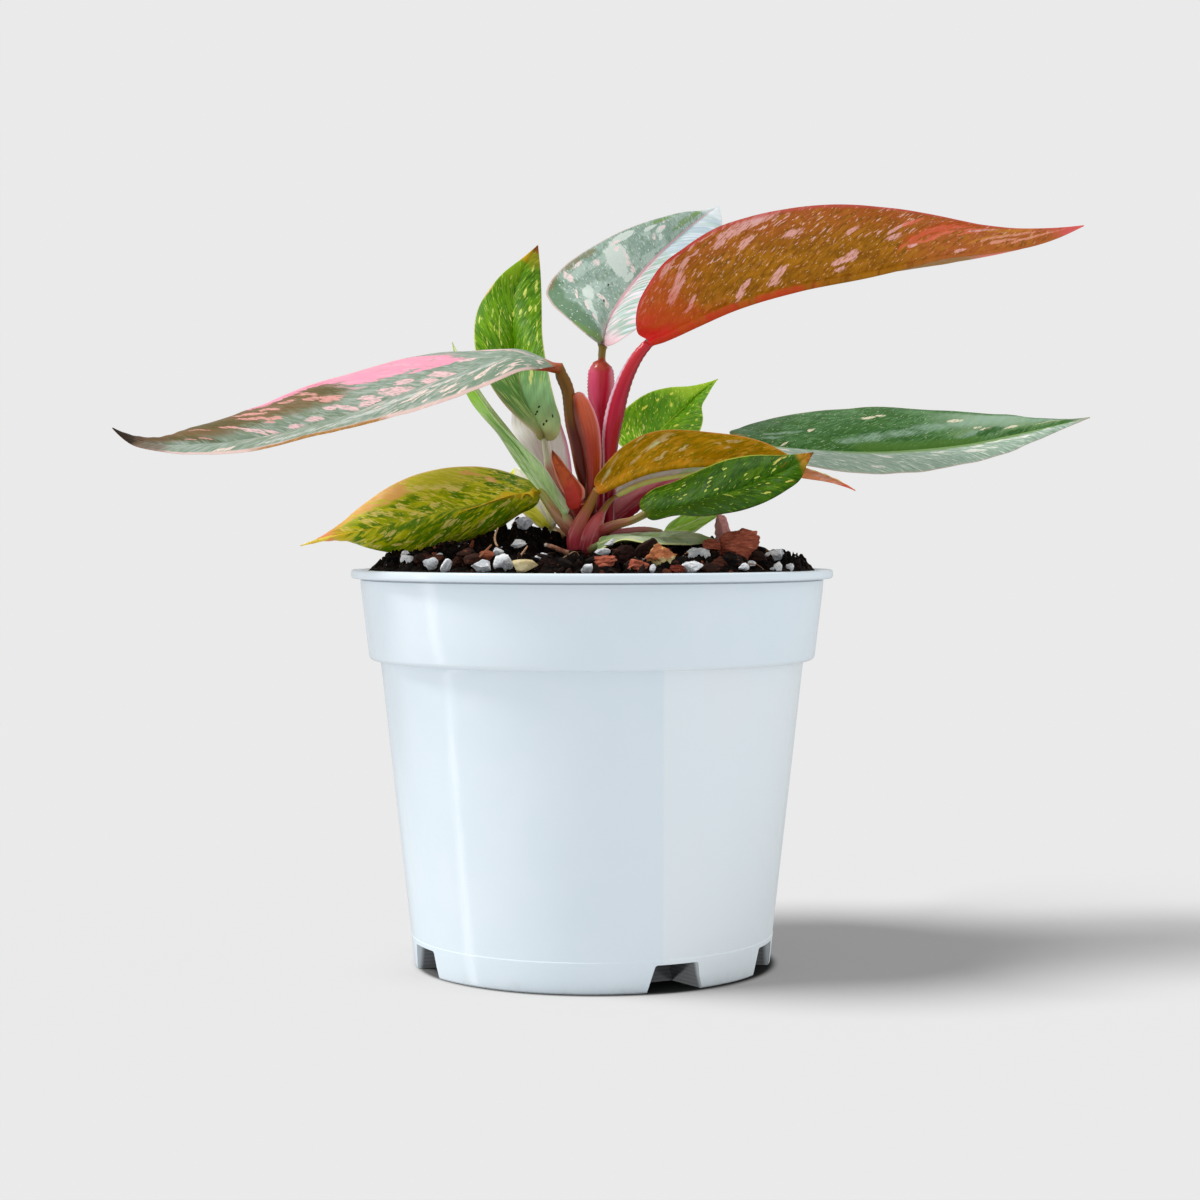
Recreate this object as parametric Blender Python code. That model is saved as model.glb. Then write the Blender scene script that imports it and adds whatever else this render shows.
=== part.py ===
"""Philodendron with variegated leaves, standing in its round plastic nursery pot.

The frame: +Z is up, the origin is the centre of the pot's foot, on the ground, and the
front of the pot is its -Y side. Lengths are in millimetres until a mesh is made.

The pot is turned from one profile, then its six drainage notches and their holes are cut.
The potting mix fills it and is heaped above the rim. Each leaf is one grown piece: a petiole
that swells into its sheath, and a folded blade lofted between a midrib and two margins.
"""

import math
import random

import bmesh
import bpy
import numpy as np

# ---------------------------------------------------------------- driving dimensions, mm
POT_HEIGHT = 122.7
RIM_R = 75.0  # outside of the rolled lip: a 150 mm pot
LIP_H = 2.7
BAND_TOP_R = 72.1  # the wide band under the lip
BAND_LOW_R = 69.5
BAND_LOW_Z = 96.5
STEP_Z = 95.0  # the ledge under the band
BODY_TOP_R = 66.0
FOOT_R = 55.6
WALL = 1.2
FLOOR = 1.5
MIX_LEVEL = 121.5  # the potting mix at the wall, a little under the rim
POT_SIDES = 72

NOTCH_AT = (26.5, 71.0, 115.5, 206.5, 251.0, 295.5)  # degrees from the front, towards +X
NOTCH_H = 8.2
NOTCH_IN_R = 40.5  # how far in towards the axis a notch runs
NOTCH_FOOT_W = 18.0  # at the outer wall, on the ground
NOTCH_ROOF_W = 14.0  # at the outer wall, under its roof
DRAIN_R = 3.2
DRAIN_AT_R = 47.5

GAP = 0.3  # between pieces that touch
LEAF_T = 0.7  # blade thickness between the veins
BLEND_TO = 0.07  # fraction of the blade over which the round petiole becomes flat

STEM_AT = (-1.5, -2.0)
STEM_SHAPE = ((97.0, 1.2), (99.0, 3.2), (108.0, 4.6), (120.0, 5.4), (128.0, 5.4), (135.0, 4.6), (140.0, 3.4), (143.0, 1.6))

# Leaves are drawn on a front elevation: (x, z) in mm on the plane through the pot's axis, as
# seen from SIGHT. A midrib or petiole point also has its depth y, and carry() takes it there
# along the line of sight. A margin point gets its depth from the blade's half width.
SIGHT = np.array((2.5, -716.0, 134.9))

LEAVES = {
    "leaf_upper_right": {
        "side": "under",
        "petiole": [(5, 134.3, -1, 1.8), (5.3, 142.7, -2, 1.8), (5.3, 150.5, -3, 1.9), (5.6, 158, -4, 2.2), (5.9, 164.2, -4.5, 2.7), (6.9, 170.1, -5, 3), (8.7, 177.3, -5, 2.7), (11.2, 183.8, -5, 2.3), (15, 190.1, -5, 1.8), (18.1, 193.5, -5, 1.5)],
        "midrib": [(18.1, 193.5, -5), (30.5, 199.1, -7), (46.4, 205.6, -9), (63.6, 210.3, -10), (87.5, 215.2, -11), (98.4, 218.3, -11), (108.4, 219.9, -12), (123.3, 221.7, -12), (138.2, 224.2, -13), (153.5, 229.8, -14)],
        "edges": [
            (28, -1, [(15.6, 194.7), (13.7, 199.1), (14.3, 205), (17.8, 211.8), (21.8, 217.4), (28.7, 222.7), (38.6, 228.9), (48.6, 232.3), (63.5, 235.2), (78.4, 236.1), (93.4, 235.1), (108.3, 232.7), (123.3, 229.6), (136.3, 228.7)]),
            (28, 1, [(23.7, 199.7), (33.7, 206.5), (49.2, 211.8), (64.8, 213.7), (80.4, 214.6), (94.4, 216.5), (108.4, 217.7), (123.3, 220.2), (138.2, 223.9)]),
        ],
    },
    "leaf_long_left": {
        "side": "upper",
        "petiole": [(-0.6, 134.3, -3, 1.9), (-0.6, 142.7, -4, 2.2), (-0.9, 152.1, -5, 3.7), (-1.6, 158, -5, 4.5), (-2.3, 163.3, -5, 5.1), (-3.4, 170.1, -5, 4.9), (-4.5, 173.9, -5, 4.3), (-5.9, 176.1, -6, 3), (-7.2, 177.9, -6, 1.9), (-8.7, 181.4, -7, 1.9), (-11.8, 184.8, -8, 1.7)],
        "midrib": [(-11.8, 184.8, -8), (-22.4, 188.5, -11), (-44.9, 182.3, -16), (-61.5, 176.1, -20), (-78.3, 168.9, -24), (-95.2, 164.8, -27), (-120.2, 161.4, -30), (-138, 162, -31), (-150.1, 167, -32)],
        "edges": [
            (26, 1, [(-15.3, 188.5), (-22.4, 191), (-30.2, 191.6), (-44.3, 190.4), (-59.9, 187.9), (-75.5, 183.8), (-91.1, 178.6), (-106.7, 172.9), (-122.3, 167.7), (-139.5, 163.6)]),
            (26, -1, [(-16.2, 182.9), (-22.5, 182), (-34.9, 179.2), (-59.9, 170.8), (-81.8, 165.2), (-97.4, 161.1), (-116.1, 158.9), (-134.9, 159.9), (-144.2, 162)]),
        ],
    },
    "leaf_top_back": {
        "side": "upper",
        "petiole": [(2.5, 135.8, 3, 1.6), (2.8, 147.4, 4, 1.5), (3.1, 158.3, 5, 1.3), (3.1, 165.5, 5, 1.5), (2.8, 170.1, 5.2, 2.4), (2.8, 173.9, 5.5, 3.6), (2.8, 177.9, 6, 4.2), (2.8, 182, 6.3, 4.2), (2.8, 184.8, 6.6, 3.8), (2.8, 186.3, 7, 2.8), (3, 187.4, 7.5, 1.5), (3.1, 189.7, 8, 1.2), (3.4, 192.2, 9, 1.4)],
        "midrib": [(3.4, 192.2, 9), (6.2, 197.8, 18), (11.8, 206.5, 33), (18.7, 215.2, 50), (24.9, 222, 66), (32.1, 228.9, 82), (39.5, 235.7, 98)],
        "edges": [
            (29, -1, [(-1.2, 195.3), (-8.1, 200.9), (-13.1, 205.9), (-14.3, 209), (-13.4, 211.5), (-10, 215.8), (-3.7, 220.8), (2.5, 224.5), (8.7, 227.6), (14.9, 230.1), (21.2, 232), (27.4, 233.5), (35.2, 234.4)]),
            (29, -1, [(7.8, 193.5), (13.1, 197.2), (19.6, 202.8), (27.4, 209), (33.6, 216.5), (38.6, 225.1), (40.5, 230.7)]),
        ],
    },
    "leaf_upright_left": {
        "side": "upper",
        "petiole": [(-3.8, 134.3, 2, 2.6), (-5.9, 139.9, 3, 2.6), (-9.7, 145.2, 5, 2.2), (-12.8, 152.4, 8, 1.7), (-14, 158.3, 11, 1.3), (-14.7, 162.7, 14, 1.2)],
        "midrib": [(-14.7, 162.7, 14), (-17.5, 168.6, 16), (-20.3, 175.4, 19), (-22.4, 186.3, 24), (-23.4, 198.8, 29), (-22.4, 210.3, 35), (-19.9, 217.7, 39), (-16.8, 223.6, 43)],
        "edges": [
            (18, -1, [(-20, 167), (-26.5, 172.9), (-32.4, 181), (-36.2, 189.4), (-36.8, 195.3), (-34.9, 205.3), (-28.6, 214), (-21.2, 219.9)]),
            (18, -1, [(-11.2, 163.6), (-9.7, 167.7), (-11.5, 175.4), (-13.4, 182.9), (-15.3, 192.9), (-15.6, 202.8), (-15.9, 212.7)]),
        ],
    },
    "leaf_narrow_left": {
        "side": "upper",
        "petiole": [(-2.2, 133.3, -6, 1.8), (-4.4, 134.9, -7, 1.8), (-6.6, 136.8, -7, 1.7), (-8.4, 139, -6, 1.5)],
        "midrib": [(-8.4, 139, -6), (-12.2, 144.9, -3), (-15.9, 150.5, 0), (-23.4, 161.1, 6), (-34.9, 176.7, 12), (-43.6, 193.5, 19)],
        "edges": [
            (9, -1, [(-11.2, 140.8), (-14.7, 144.9), (-22.8, 154.6), (-28.7, 163.6), (-39, 177), (-41.8, 184.8)]),
            (9, -1, [(-6.9, 141.8), (-9.1, 145.5), (-15.6, 155.5), (-28.7, 168), (-35.6, 177), (-40.5, 184.8)]),
        ],
    },
    "leaf_low_left": {
        "side": "upper",
        "petiole": [(-2.8, 130.2, -5, 2.2), (-6.3, 134, -6, 1.9), (-9.4, 137.4, -6, 1.7), (-12.8, 142.1, -5, 1.5), (-15.9, 146.8, -4, 1.3)],
        "midrib": [(-15.9, 146.8, -4), (-22.5, 146.1, -5), (-36.6, 142.4, -6), (-49.1, 139.9, -7), (-61.6, 136.8, -8), (-77.2, 133.7, -9), (-91.3, 129.9, -10)],
        "edges": [
            (17, 1, [(-18.4, 149.6), (-22.5, 151.4), (-30, 153.9), (-38.1, 154.7), (-49, 153.9), (-57.5, 151.4), (-65, 147.4), (-73.4, 141.5), (-79.4, 136.5)]),
            (12, 1, [(-16.9, 143.6), (-22.5, 139.9), (-30, 135.2), (-36.6, 132.4), (-46.6, 129.9), (-56.6, 128), (-63.5, 128), (-70, 129.3), (-76.9, 131.5), (-83.5, 131.8)]),
        ],
    },
    "leaf_arching_right": {
        "side": "under",
        "petiole": [(-3.8, 127.1, -9, 2.9), (-5.3, 131.5, -11, 2.7), (-3.7, 137.1, -12, 2.1), (-1.2, 141.8, -12, 1.6), (1.3, 147.1, -12, 1.3)],
        "midrib": [(1.3, 147.1, -12), (9.4, 149.9, -13), (21.9, 153.8, -14), (35.9, 154.6, -15), (46.2, 154.3, -15), (57.1, 152.7, -16), (65.9, 151.1, -16), (76.2, 149.3, -17), (82.5, 147.1, -17)],
        "edges": [
            (15, -1, [(0.6, 150.2), (2.8, 153.9), (5.9, 157.7), (10.6, 161.7), (15.6, 164.5), (21.9, 166.1), (29.7, 166.1), (37.8, 165.2), (47.4, 163.9), (60.3, 159.2), (66.5, 155.8), (73.1, 153.6)]),
            (13, 1, [(5.6, 149.3), (16.6, 155.5), (30.6, 157.7), (46.2, 157.1), (61.8, 153.9), (71.2, 151.1)]),
        ],
    },
    "leaf_low_right": {
        "side": "upper",
        "petiole": [(1.9, 131.5, -9, 2.1), (3.8, 134.6, -13, 1.9), (8.1, 136.8, -18, 1.7), (12.5, 138.3, -23, 1.6), (16.6, 139.9, -27, 1.5)],
        "midrib": [(16.6, 139.9, -27), (28.4, 142.1, -32), (41.2, 146.1, -37), (53.7, 150.5, -41), (63.4, 155.2, -44), (69.3, 159.2, -46)],
        "edges": [
            (15, 1, [(15, 144), (17.5, 146.8), (25.3, 150), (35.9, 154.7), (47.5, 158), (60.3, 158.3)]),
            (15, -1, [(18.1, 138.3), (28.4, 139.6), (34.7, 139.1), (41.2, 139.9), (47.5, 141.1), (53.7, 143.3), (60.3, 147.1), (65.3, 151.1), (66.8, 154.9)]),
        ],
    },
    "leaf_folded_right": {
        "side": "under",
        "petiole": [(-1.3, 128.3, -10, 3), (-0.6, 132.1, -12, 3.4), (1.3, 137.1, -11, 2.4), (3.4, 140.8, -9, 1.1), (6.2, 144, -6, 0.9), (8.7, 146.1, -4, 0.9)],
        "midrib": [(8.7, 146.1, -4), (18.1, 150.4, -3), (30.6, 153.3, -2), (46.2, 156.1, -1), (61.8, 157.7, 0)],
        "edges": [
            (8, -1, [(9.7, 149.3), (15, 152.1), (21.9, 153.9), (30.6, 154.7), (46.2, 156.1)]),
            (9, 1, [(15, 149.9), (30.6, 154.9), (46.2, 157.7)]),
        ],
    },
    "leaf_long_right": {
        "side": "upper",
        "petiole": [(2.8, 132.7, 4, 2.2), (6.2, 137.1, 5, 2.8), (11.2, 141.3, 7, 3.1), (19.7, 146.1, 11, 3), (30.6, 151.8, 17, 2.4), (45.6, 162.7, 24, 1.7)],
        "midrib": [(45.6, 162.7, 24), (61.2, 160.2, 26), (75.2, 159.1, 28), (87.7, 158.9, 30), (104.6, 159.9, 32), (117.1, 161.4, 34), (129.5, 163.9, 36), (142, 166.7, 38), (155.7, 170.1, 40)],
        "edges": [
            (25, 1, [(43.4, 164.5), (46.2, 166.7), (54.6, 169.2), (67.1, 171.5), (79.6, 173.1), (87.7, 173.6), (100.2, 172.8), (117, 171.5), (129.5, 170.5), (142, 169.4)]),
            (25, -1, [(47.8, 159.2), (57.1, 156.7), (69.6, 154.6), (77.1, 153.3), (83.7, 152.7), (93.7, 152.7), (104.6, 153.4), (112.7, 154.7), (125.2, 157.7), (137.7, 162.1), (148.6, 167.1)]),
        ],
    },
    "leaf_back_right": {
        "side": "upper",
        "petiole": [(1.6, 134.9, 5, 2), (5, 141.1, 8, 2), (8.7, 148, 13, 1.8), (12.5, 154.3, 18, 1.5), (15.3, 159.2, 23, 1.3)],
        "midrib": [(15.3, 159.2, 23), (18.7, 162.7, 28), (23.4, 168, 36), (30.6, 174.8, 47), (39.3, 182, 60)],
        "edges": [
            (17, -1, [(10, 160.5), (6.9, 164.5), (8.7, 170.8), (12.5, 174.5), (18.1, 177.9), (23.1, 179.2), (30.6, 179.8)]),
            (17, -1, [(21.2, 157.4), (28.1, 159.9), (32.8, 164.2), (34.6, 169.2), (34.3, 173.6), (35.9, 176.7)]),
        ],
    },
    "leaf_on_mix": {
        "side": "upper",
        "petiole": [(-0.3, 128.3, -13, 1.9), (0, 128.7, -16, 1.6), (0.6, 129.3, -19, 1.3), (2.2, 130.2, -22, 1.1)],
        "midrib": [(2.2, 130.2, -22), (7.2, 132.1, -23), (15, 132.4, -23), (22.8, 132.4, -22), (30.6, 132.4, -21), (38.8, 131.8, -20)],
        "edges": [
            (9, 1, [(2.8, 132.7), (7.2, 133.2), (15, 133.8), (22.8, 134.3), (28.4, 134.3), (34.7, 133.2)]),
            (9, -1, [(1.6, 128.3), (4.7, 129.6), (9.4, 131.5), (15.6, 130.8), (22.8, 130.2), (30.6, 130.5)]),
        ],
    },
    "leaf_young_right": {
        "side": "upper",
        "petiole": [(2.5, 130.2, -9, 1.8), (6.3, 133, -9, 1.6), (11.9, 134.3, -9, 1.4), (17.5, 134.6, -8, 1.3), (22.5, 133.7, -8, 1.1)],
        "midrib": [(22.5, 133.7, -8), (29.1, 136.1, -9), (36.9, 139.6, -9), (46.2, 143.3, -8), (57.2, 147.4, -6)],
        "edges": [
            (9, 1, [(23.7, 136.8), (29.1, 140.2), (36.9, 144.3), (46.2, 147.4)]),
            (9, -1, [(26.3, 133.3), (31.3, 134), (35, 136.5), (40, 139.6), (47.8, 143)]),
        ],
    },
    "leaf_young_left": {
        "side": "upper",
        "petiole": [(-3.1, 132.4, 2, 1.8), (-7.5, 132.7, 6, 1.7), (-10.6, 134, 10, 1.5), (-12.8, 135.5, 12, 1.3)],
        "midrib": [(-12.8, 135.5, 12), (-14.7, 140.5, 14), (-17.8, 146.1, 17), (-20.9, 150.8, 20), (-24, 154.3, 23)],
        "edges": [
            (11, -1, [(-16.6, 135.8), (-21.9, 140.5), (-26.2, 146.1), (-26.9, 150.5)]),
            (11, -1, [(-10.9, 138.3), (-12.5, 144.3), (-15, 149.6), (-18.7, 153.3)]),
        ],
    },
    "cataphyll_red": {
        "side": "under",
        "petiole": [(-3.4, 138.6, -7, 1.6), (-4.4, 143, -8, 2.7)],
        "midrib": [(-4.4, 143, -8), (-6.2, 147.4, -9), (-8.7, 152.4, -8), (-10.9, 156.4, -7), (-12.5, 159.9, -6)],
        "edges": [
            (3.6, 1, [(-6.9, 144.3), (-9.1, 146.8), (-10.9, 150.5), (-12.2, 154.6), (-12.8, 157.4)]),
            (3.6, 1, [(-2.5, 144.3), (-2.2, 147.1), (-4.7, 150.8), (-7.2, 153.6), (-9.7, 157.1)]),
        ],
    },
    "cataphyll_pale": {
        "side": "upper",
        "petiole": [(-1.3, 135.5, 8, 1.2), (-4.4, 137.4, 14, 1.6), (-8.4, 141.1, 19, 2)],
        "midrib": [(-8.4, 141.1, 19), (-12.5, 150.5, 23), (-14.7, 159.9, 25), (-15.3, 172.3, 27), (-14.3, 184.2, 29)],
        "edges": [
            (11, -1, [(-13.7, 144.3), (-18.4, 153.6), (-22.5, 161.4), (-25.3, 167.7), (-24.3, 174.2), (-19.3, 180.1)]),
            (11, -1, [(-5.9, 144.9), (-6.2, 153.6), (-7.5, 161.4), (-10, 169.2), (-12.2, 176.7), (-13.1, 181.4)]),
        ],
    },
}

# Bark, perlite and stones that lie in the top of the mix: centre on the elevation and depth,
# size in x, y and z, turn about Z in degrees, seed, material.
GRAINS = {
    "bark_chip_large": (45.5, 129.6, -6, (12.5, 7.0, 9.5), 12, 3, "bark_red"),
    "bark_chip_red": (4.5, 124.0, -56, (5.6, 4.6, 4.2), 20, 5, "bark_red"),
    "bark_chip_small": (15.2, 124.0, -59, (5.0, 4.0, 3.8), -15, 8, "bark_red"),
    "bark_chip_dark": (40.6, 125.4, -46, (9.0, 5.0, 5.6), 25, 11, "bark_brown"),
    "wood_chip": (21.4, 126.0, -49, (9.0, 4.6, 7.4), -10, 14, "wood_pale"),
    "perlite_right": (32.0, 128.0, -36, (8.0, 5.0, 4.6), 8, 17, "perlite"),
    "perlite_front": (31.5, 124.3, -60, (6.6, 4.6, 3.8), -20, 19, "perlite"),
    "perlite_left": (-34.6, 124.3, -56, (5.8, 4.6, 3.8), 15, 23, "perlite"),
    "perlite_middle": (-22.8, 130.6, -20, (5.4, 3.2, 2.8), -25, 29, "perlite"),
    "perlite_far_left": (-57.5, 125.6, -20, (5.4, 4.6, 4.0), 30, 31, "perlite"),
    "pumice_grey": (57.5, 127.2, -8, (6.8, 5.6, 4.8), 0, 37, "pumice"),
    "pumice_top": (-22.3, 136.0, 10, (6.4, 5.8, 7.6), 10, 41, "pumice"),
    "stone_cream": (-20.6, 124.2, -60, (7.6, 4.6, 4.0), -6, 43, "stone_cream"),
}

# The aerial root that leaves the stem's foot and lies on the mix: x, z on the elevation, depth, radius.
AERIAL_ROOT = ((-6.3, 127.5, -15.5, 0.9), (-9.5, 128.4, -17.5, 0.8), (-12.2, 129.6, -19, 0.7), (-14.4, 130.2, -20, 0.6))

MATERIALS = {  # colour, roughness
    "pot_white": ((0.76, 0.82, 0.88), 0.25),
    "mix_dark": ((0.030, 0.020, 0.016), 0.95),
    "stem_red": ((0.35, 0.06, 0.07), 0.45),
    "leaf_bronze": ((0.42, 0.16, 0.03), 0.38),
    "leaf_grey_green": ((0.23, 0.33, 0.24), 0.35),
    "leaf_bright_green": ((0.14, 0.35, 0.03), 0.38),
    "leaf_yellow_green": ((0.33, 0.33, 0.04), 0.38),
    "leaf_deep_green": ((0.06, 0.17, 0.07), 0.35),
    "sheath_red": ((0.50, 0.10, 0.08), 0.40),
    "sheath_pale": ((0.62, 0.46, 0.45), 0.60),
    "root_tan": ((0.60, 0.40, 0.26), 0.70),
    "bark_red": ((0.25, 0.07, 0.035), 0.90),
    "bark_brown": ((0.10, 0.045, 0.03), 0.90),
    "wood_pale": ((0.60, 0.42, 0.16), 0.80),
    "perlite": ((0.80, 0.80, 0.80), 0.90),
    "pumice": ((0.50, 0.51, 0.52), 0.90),
    "stone_cream": ((0.68, 0.58, 0.38), 0.80),
}
LEAF_MATERIAL = {
    "leaf_upper_right": "leaf_bronze",
    "leaf_arching_right": "leaf_bronze",
    "leaf_long_left": "leaf_grey_green",
    "leaf_top_back": "leaf_grey_green",
    "leaf_on_mix": "leaf_grey_green",
    "leaf_folded_right": "leaf_grey_green",
    "leaf_long_right": "leaf_deep_green",
    "leaf_low_left": "leaf_yellow_green",
    "leaf_young_left": "leaf_yellow_green",
    "cataphyll_red": "sheath_red",
    "cataphyll_pale": "sheath_pale",
}

# Where two pieces crowd together at the crown, the first gives way to those it names.
GIVES_WAY = {
    "leaf_long_left": ("main_stem",),
    "leaf_top_back": ("main_stem",),
    "leaf_low_left": ("main_stem",),
    "leaf_upright_left": ("main_stem",),
    "leaf_arching_right": ("main_stem",),
    "leaf_narrow_left": ("leaf_low_left", "main_stem"),
    "leaf_young_left": ("leaf_upright_left", "cataphyll_pale", "main_stem"),
    "leaf_folded_right": ("leaf_arching_right", "leaf_low_right"),
    "leaf_long_right": ("leaf_top_back",),
    "leaf_back_right": ("leaf_long_right", "leaf_top_back"),
    "leaf_on_mix": ("leaf_folded_right",),
    "leaf_young_right": ("leaf_folded_right", "leaf_low_right"),
    "cataphyll_red": ("leaf_long_left",),
}


MIX_GIVES_WAY = ("leaf_arching_right", "leaf_low_left", "leaf_on_mix")


# ---------------------------------------------------------------- scene and meshes
def clear_scene():
    for obj in list(bpy.data.objects):
        bpy.data.objects.remove(obj, do_unlink=True)


def material(name):
    mat = bpy.data.materials.get(name)
    if mat:
        return mat
    colour, rough = MATERIALS[name]
    mat = bpy.data.materials.new(name)
    mat.use_nodes = True
    shader = mat.node_tree.nodes["Principled BSDF"]
    shader.inputs["Base Color"].default_value = (*colour, 1.0)
    shader.inputs["Roughness"].default_value = rough
    shader.inputs["Metallic"].default_value = 0.0
    mat.diffuse_color = (*colour, 1.0)
    return mat


def add_object(name, points, faces, mat=None, cutter=False, at=(0.0, 0.0, 0.0)):
    """An object from points in mm, with its faces turned outwards and its origin at a point in mm."""
    mesh = bpy.data.meshes.new(name)
    place = np.asarray(at, float)
    mesh.from_pydata([tuple((np.asarray(p) - place) * 0.001) for p in points], [], faces)
    bm = bmesh.new()
    bm.from_mesh(mesh)
    bmesh.ops.recalc_face_normals(bm, faces=bm.faces)
    if bm.calc_volume(signed=True) < 0:
        bmesh.ops.reverse_faces(bm, faces=bm.faces)
    bm.to_mesh(mesh)
    bm.free()
    mesh.shade_smooth()
    mesh.set_sharp_from_angle(angle=math.radians(40))
    obj = bpy.data.objects.new(name, mesh)
    obj.location = place * 0.001
    bpy.context.scene.collection.objects.link(obj)
    if cutter:
        obj.hide_render = True
        obj.display_type = "WIRE"
    if mat:
        mesh.materials.append(material(mat))
    return obj


def cut(obj, tool, label, how="DIFFERENCE"):
    mod = obj.modifiers.new(label, "BOOLEAN")
    mod.operation = how
    mod.solver = "EXACT"
    mod.object = tool


def rings(sections, close_start=True, close_end=True):
    """Points and faces of a tube through closed sections that all have the same number of points."""
    count = len(sections[0])
    points = [p for ring in sections for p in ring]
    faces = []
    for i in range(len(sections) - 1):
        for j in range(count):
            k = (j + 1) % count
            faces.append((i * count + j, i * count + k, (i + 1) * count + k, (i + 1) * count + j))
    if close_start:
        faces.append(tuple(reversed(range(count))))
    if close_end:
        faces.append(tuple(range((len(sections) - 1) * count, len(sections) * count)))
    return points, faces


def turned(profile, sides):
    """A solid turned about Z: the profile's radii are never 0, and its two ends are closed by flat discs."""
    sections = []
    for r, z in profile:
        sections.append([(r * math.cos(2 * math.pi * i / sides), r * math.sin(2 * math.pi * i / sides), z) for i in range(sides)])
    return rings(sections)


# ---------------------------------------------------------------- curves
def curve(points, t):
    """A smooth curve through the points, at fractions t of their chord length."""
    p = np.asarray(points, float)
    place = p[:, :3]
    k = np.concatenate([[0.0], np.cumsum(np.linalg.norm(np.diff(place, axis=0), axis=1))])
    k /= k[-1]
    last = len(k) - 1
    slope = np.zeros_like(p)
    for i in range(1, last):
        before = (p[i] - p[i - 1]) / (k[i] - k[i - 1])
        after = (p[i + 1] - p[i]) / (k[i + 1] - k[i])
        a, b = k[i] - k[i - 1], k[i + 1] - k[i]
        slope[i] = (before * b + after * a) / (a + b)
    slope[0] = 2 * (p[1] - p[0]) / (k[1] - k[0]) - slope[1]
    slope[last] = 2 * (p[last] - p[last - 1]) / (k[last] - k[last - 1]) - slope[last - 1]
    t = np.clip(np.atleast_1d(np.asarray(t, float)), 0, 1)
    j = np.clip(np.searchsorted(k, t, side="right") - 1, 0, last - 1)
    h = (k[j + 1] - k[j])[:, None]
    s = ((t - k[j]) / (k[j + 1] - k[j]))[:, None]
    return (2 * s**3 - 3 * s**2 + 1) * p[j] + (s**3 - 2 * s**2 + s) * h * slope[j] + (3 * s**2 - 2 * s**3) * p[j + 1] + (s**3 - s**2) * h * slope[j + 1]


def carry(x, z, depth):
    """A point of the front elevation taken along its line of sight to a depth."""
    flat = np.array((x, 0.0, z))
    return SIGHT + (flat - SIGHT) * (depth - SIGHT[1]) / -SIGHT[1]


def unit(v):
    return v / max(np.linalg.norm(v), 1e-9)


# ---------------------------------------------------------------- leaves
WIDTH_AT = (0, 0.05, 0.1, 0.2, 0.3, 0.4, 0.5, 0.6, 0.7, 0.8, 0.9, 0.95, 1)
WIDTH_IS = (0, 0.45, 0.68, 0.9, 1.0, 0.99, 0.93, 0.81, 0.64, 0.44, 0.2, 0.09, 0)


def margin(half_width, side, drawn, spec, midrib):
    """A blade margin in space: each drawn point goes along its line of sight until it is the
    blade's half width from the midrib, on the near side (-1) or the far side (+1) of it."""
    (bx, bz, _), (tx, tz, _) = spec["midrib"][0], spec["midrib"][-1]
    flat = np.array([(bx, bz), *drawn, (tx, tz)], float)
    along = np.concatenate([[0.0], np.cumsum(np.linalg.norm(np.diff(flat, axis=0), axis=1))])
    along /= along[-1]
    found = []
    for (x, z), f, m in zip(flat, along, curve(midrib, along)):
        ray = np.array((x, 0.0, z)) - SIGHT
        reach = half_width * np.interp(f, WIDTH_AT, WIDTH_IS)
        a, b, c = ray @ ray, 2 * ray @ (SIGHT - m), (SIGHT - m) @ (SIGHT - m) - reach**2
        inside = b * b - 4 * a * c
        found.append(SIGHT + ray * (-b + side * math.sqrt(max(inside, 0.0))) / (2 * a))
    found[0], found[-1] = midrib[0], midrib[-1]
    return np.array(found)


def blade_of(spec):
    """Midrib, left margin and right margin, seen from above with the tip ahead."""
    midrib = np.array([carry(*p) for p in spec["midrib"]])
    one, two = (margin(*edge, spec, midrib) for edge in spec["edges"])
    t = np.array((0.3, 0.45, 0.6))
    ahead = curve(midrib, t + 0.02) - curve(midrib, t - 0.02)
    up = np.cross(curve(two, t) - curve(one, t), ahead).sum(axis=0)
    upper_shows = up[1] < 0
    return (midrib, one, two) if upper_shows == (spec["side"] == "upper") else (midrib, two, one)


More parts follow.
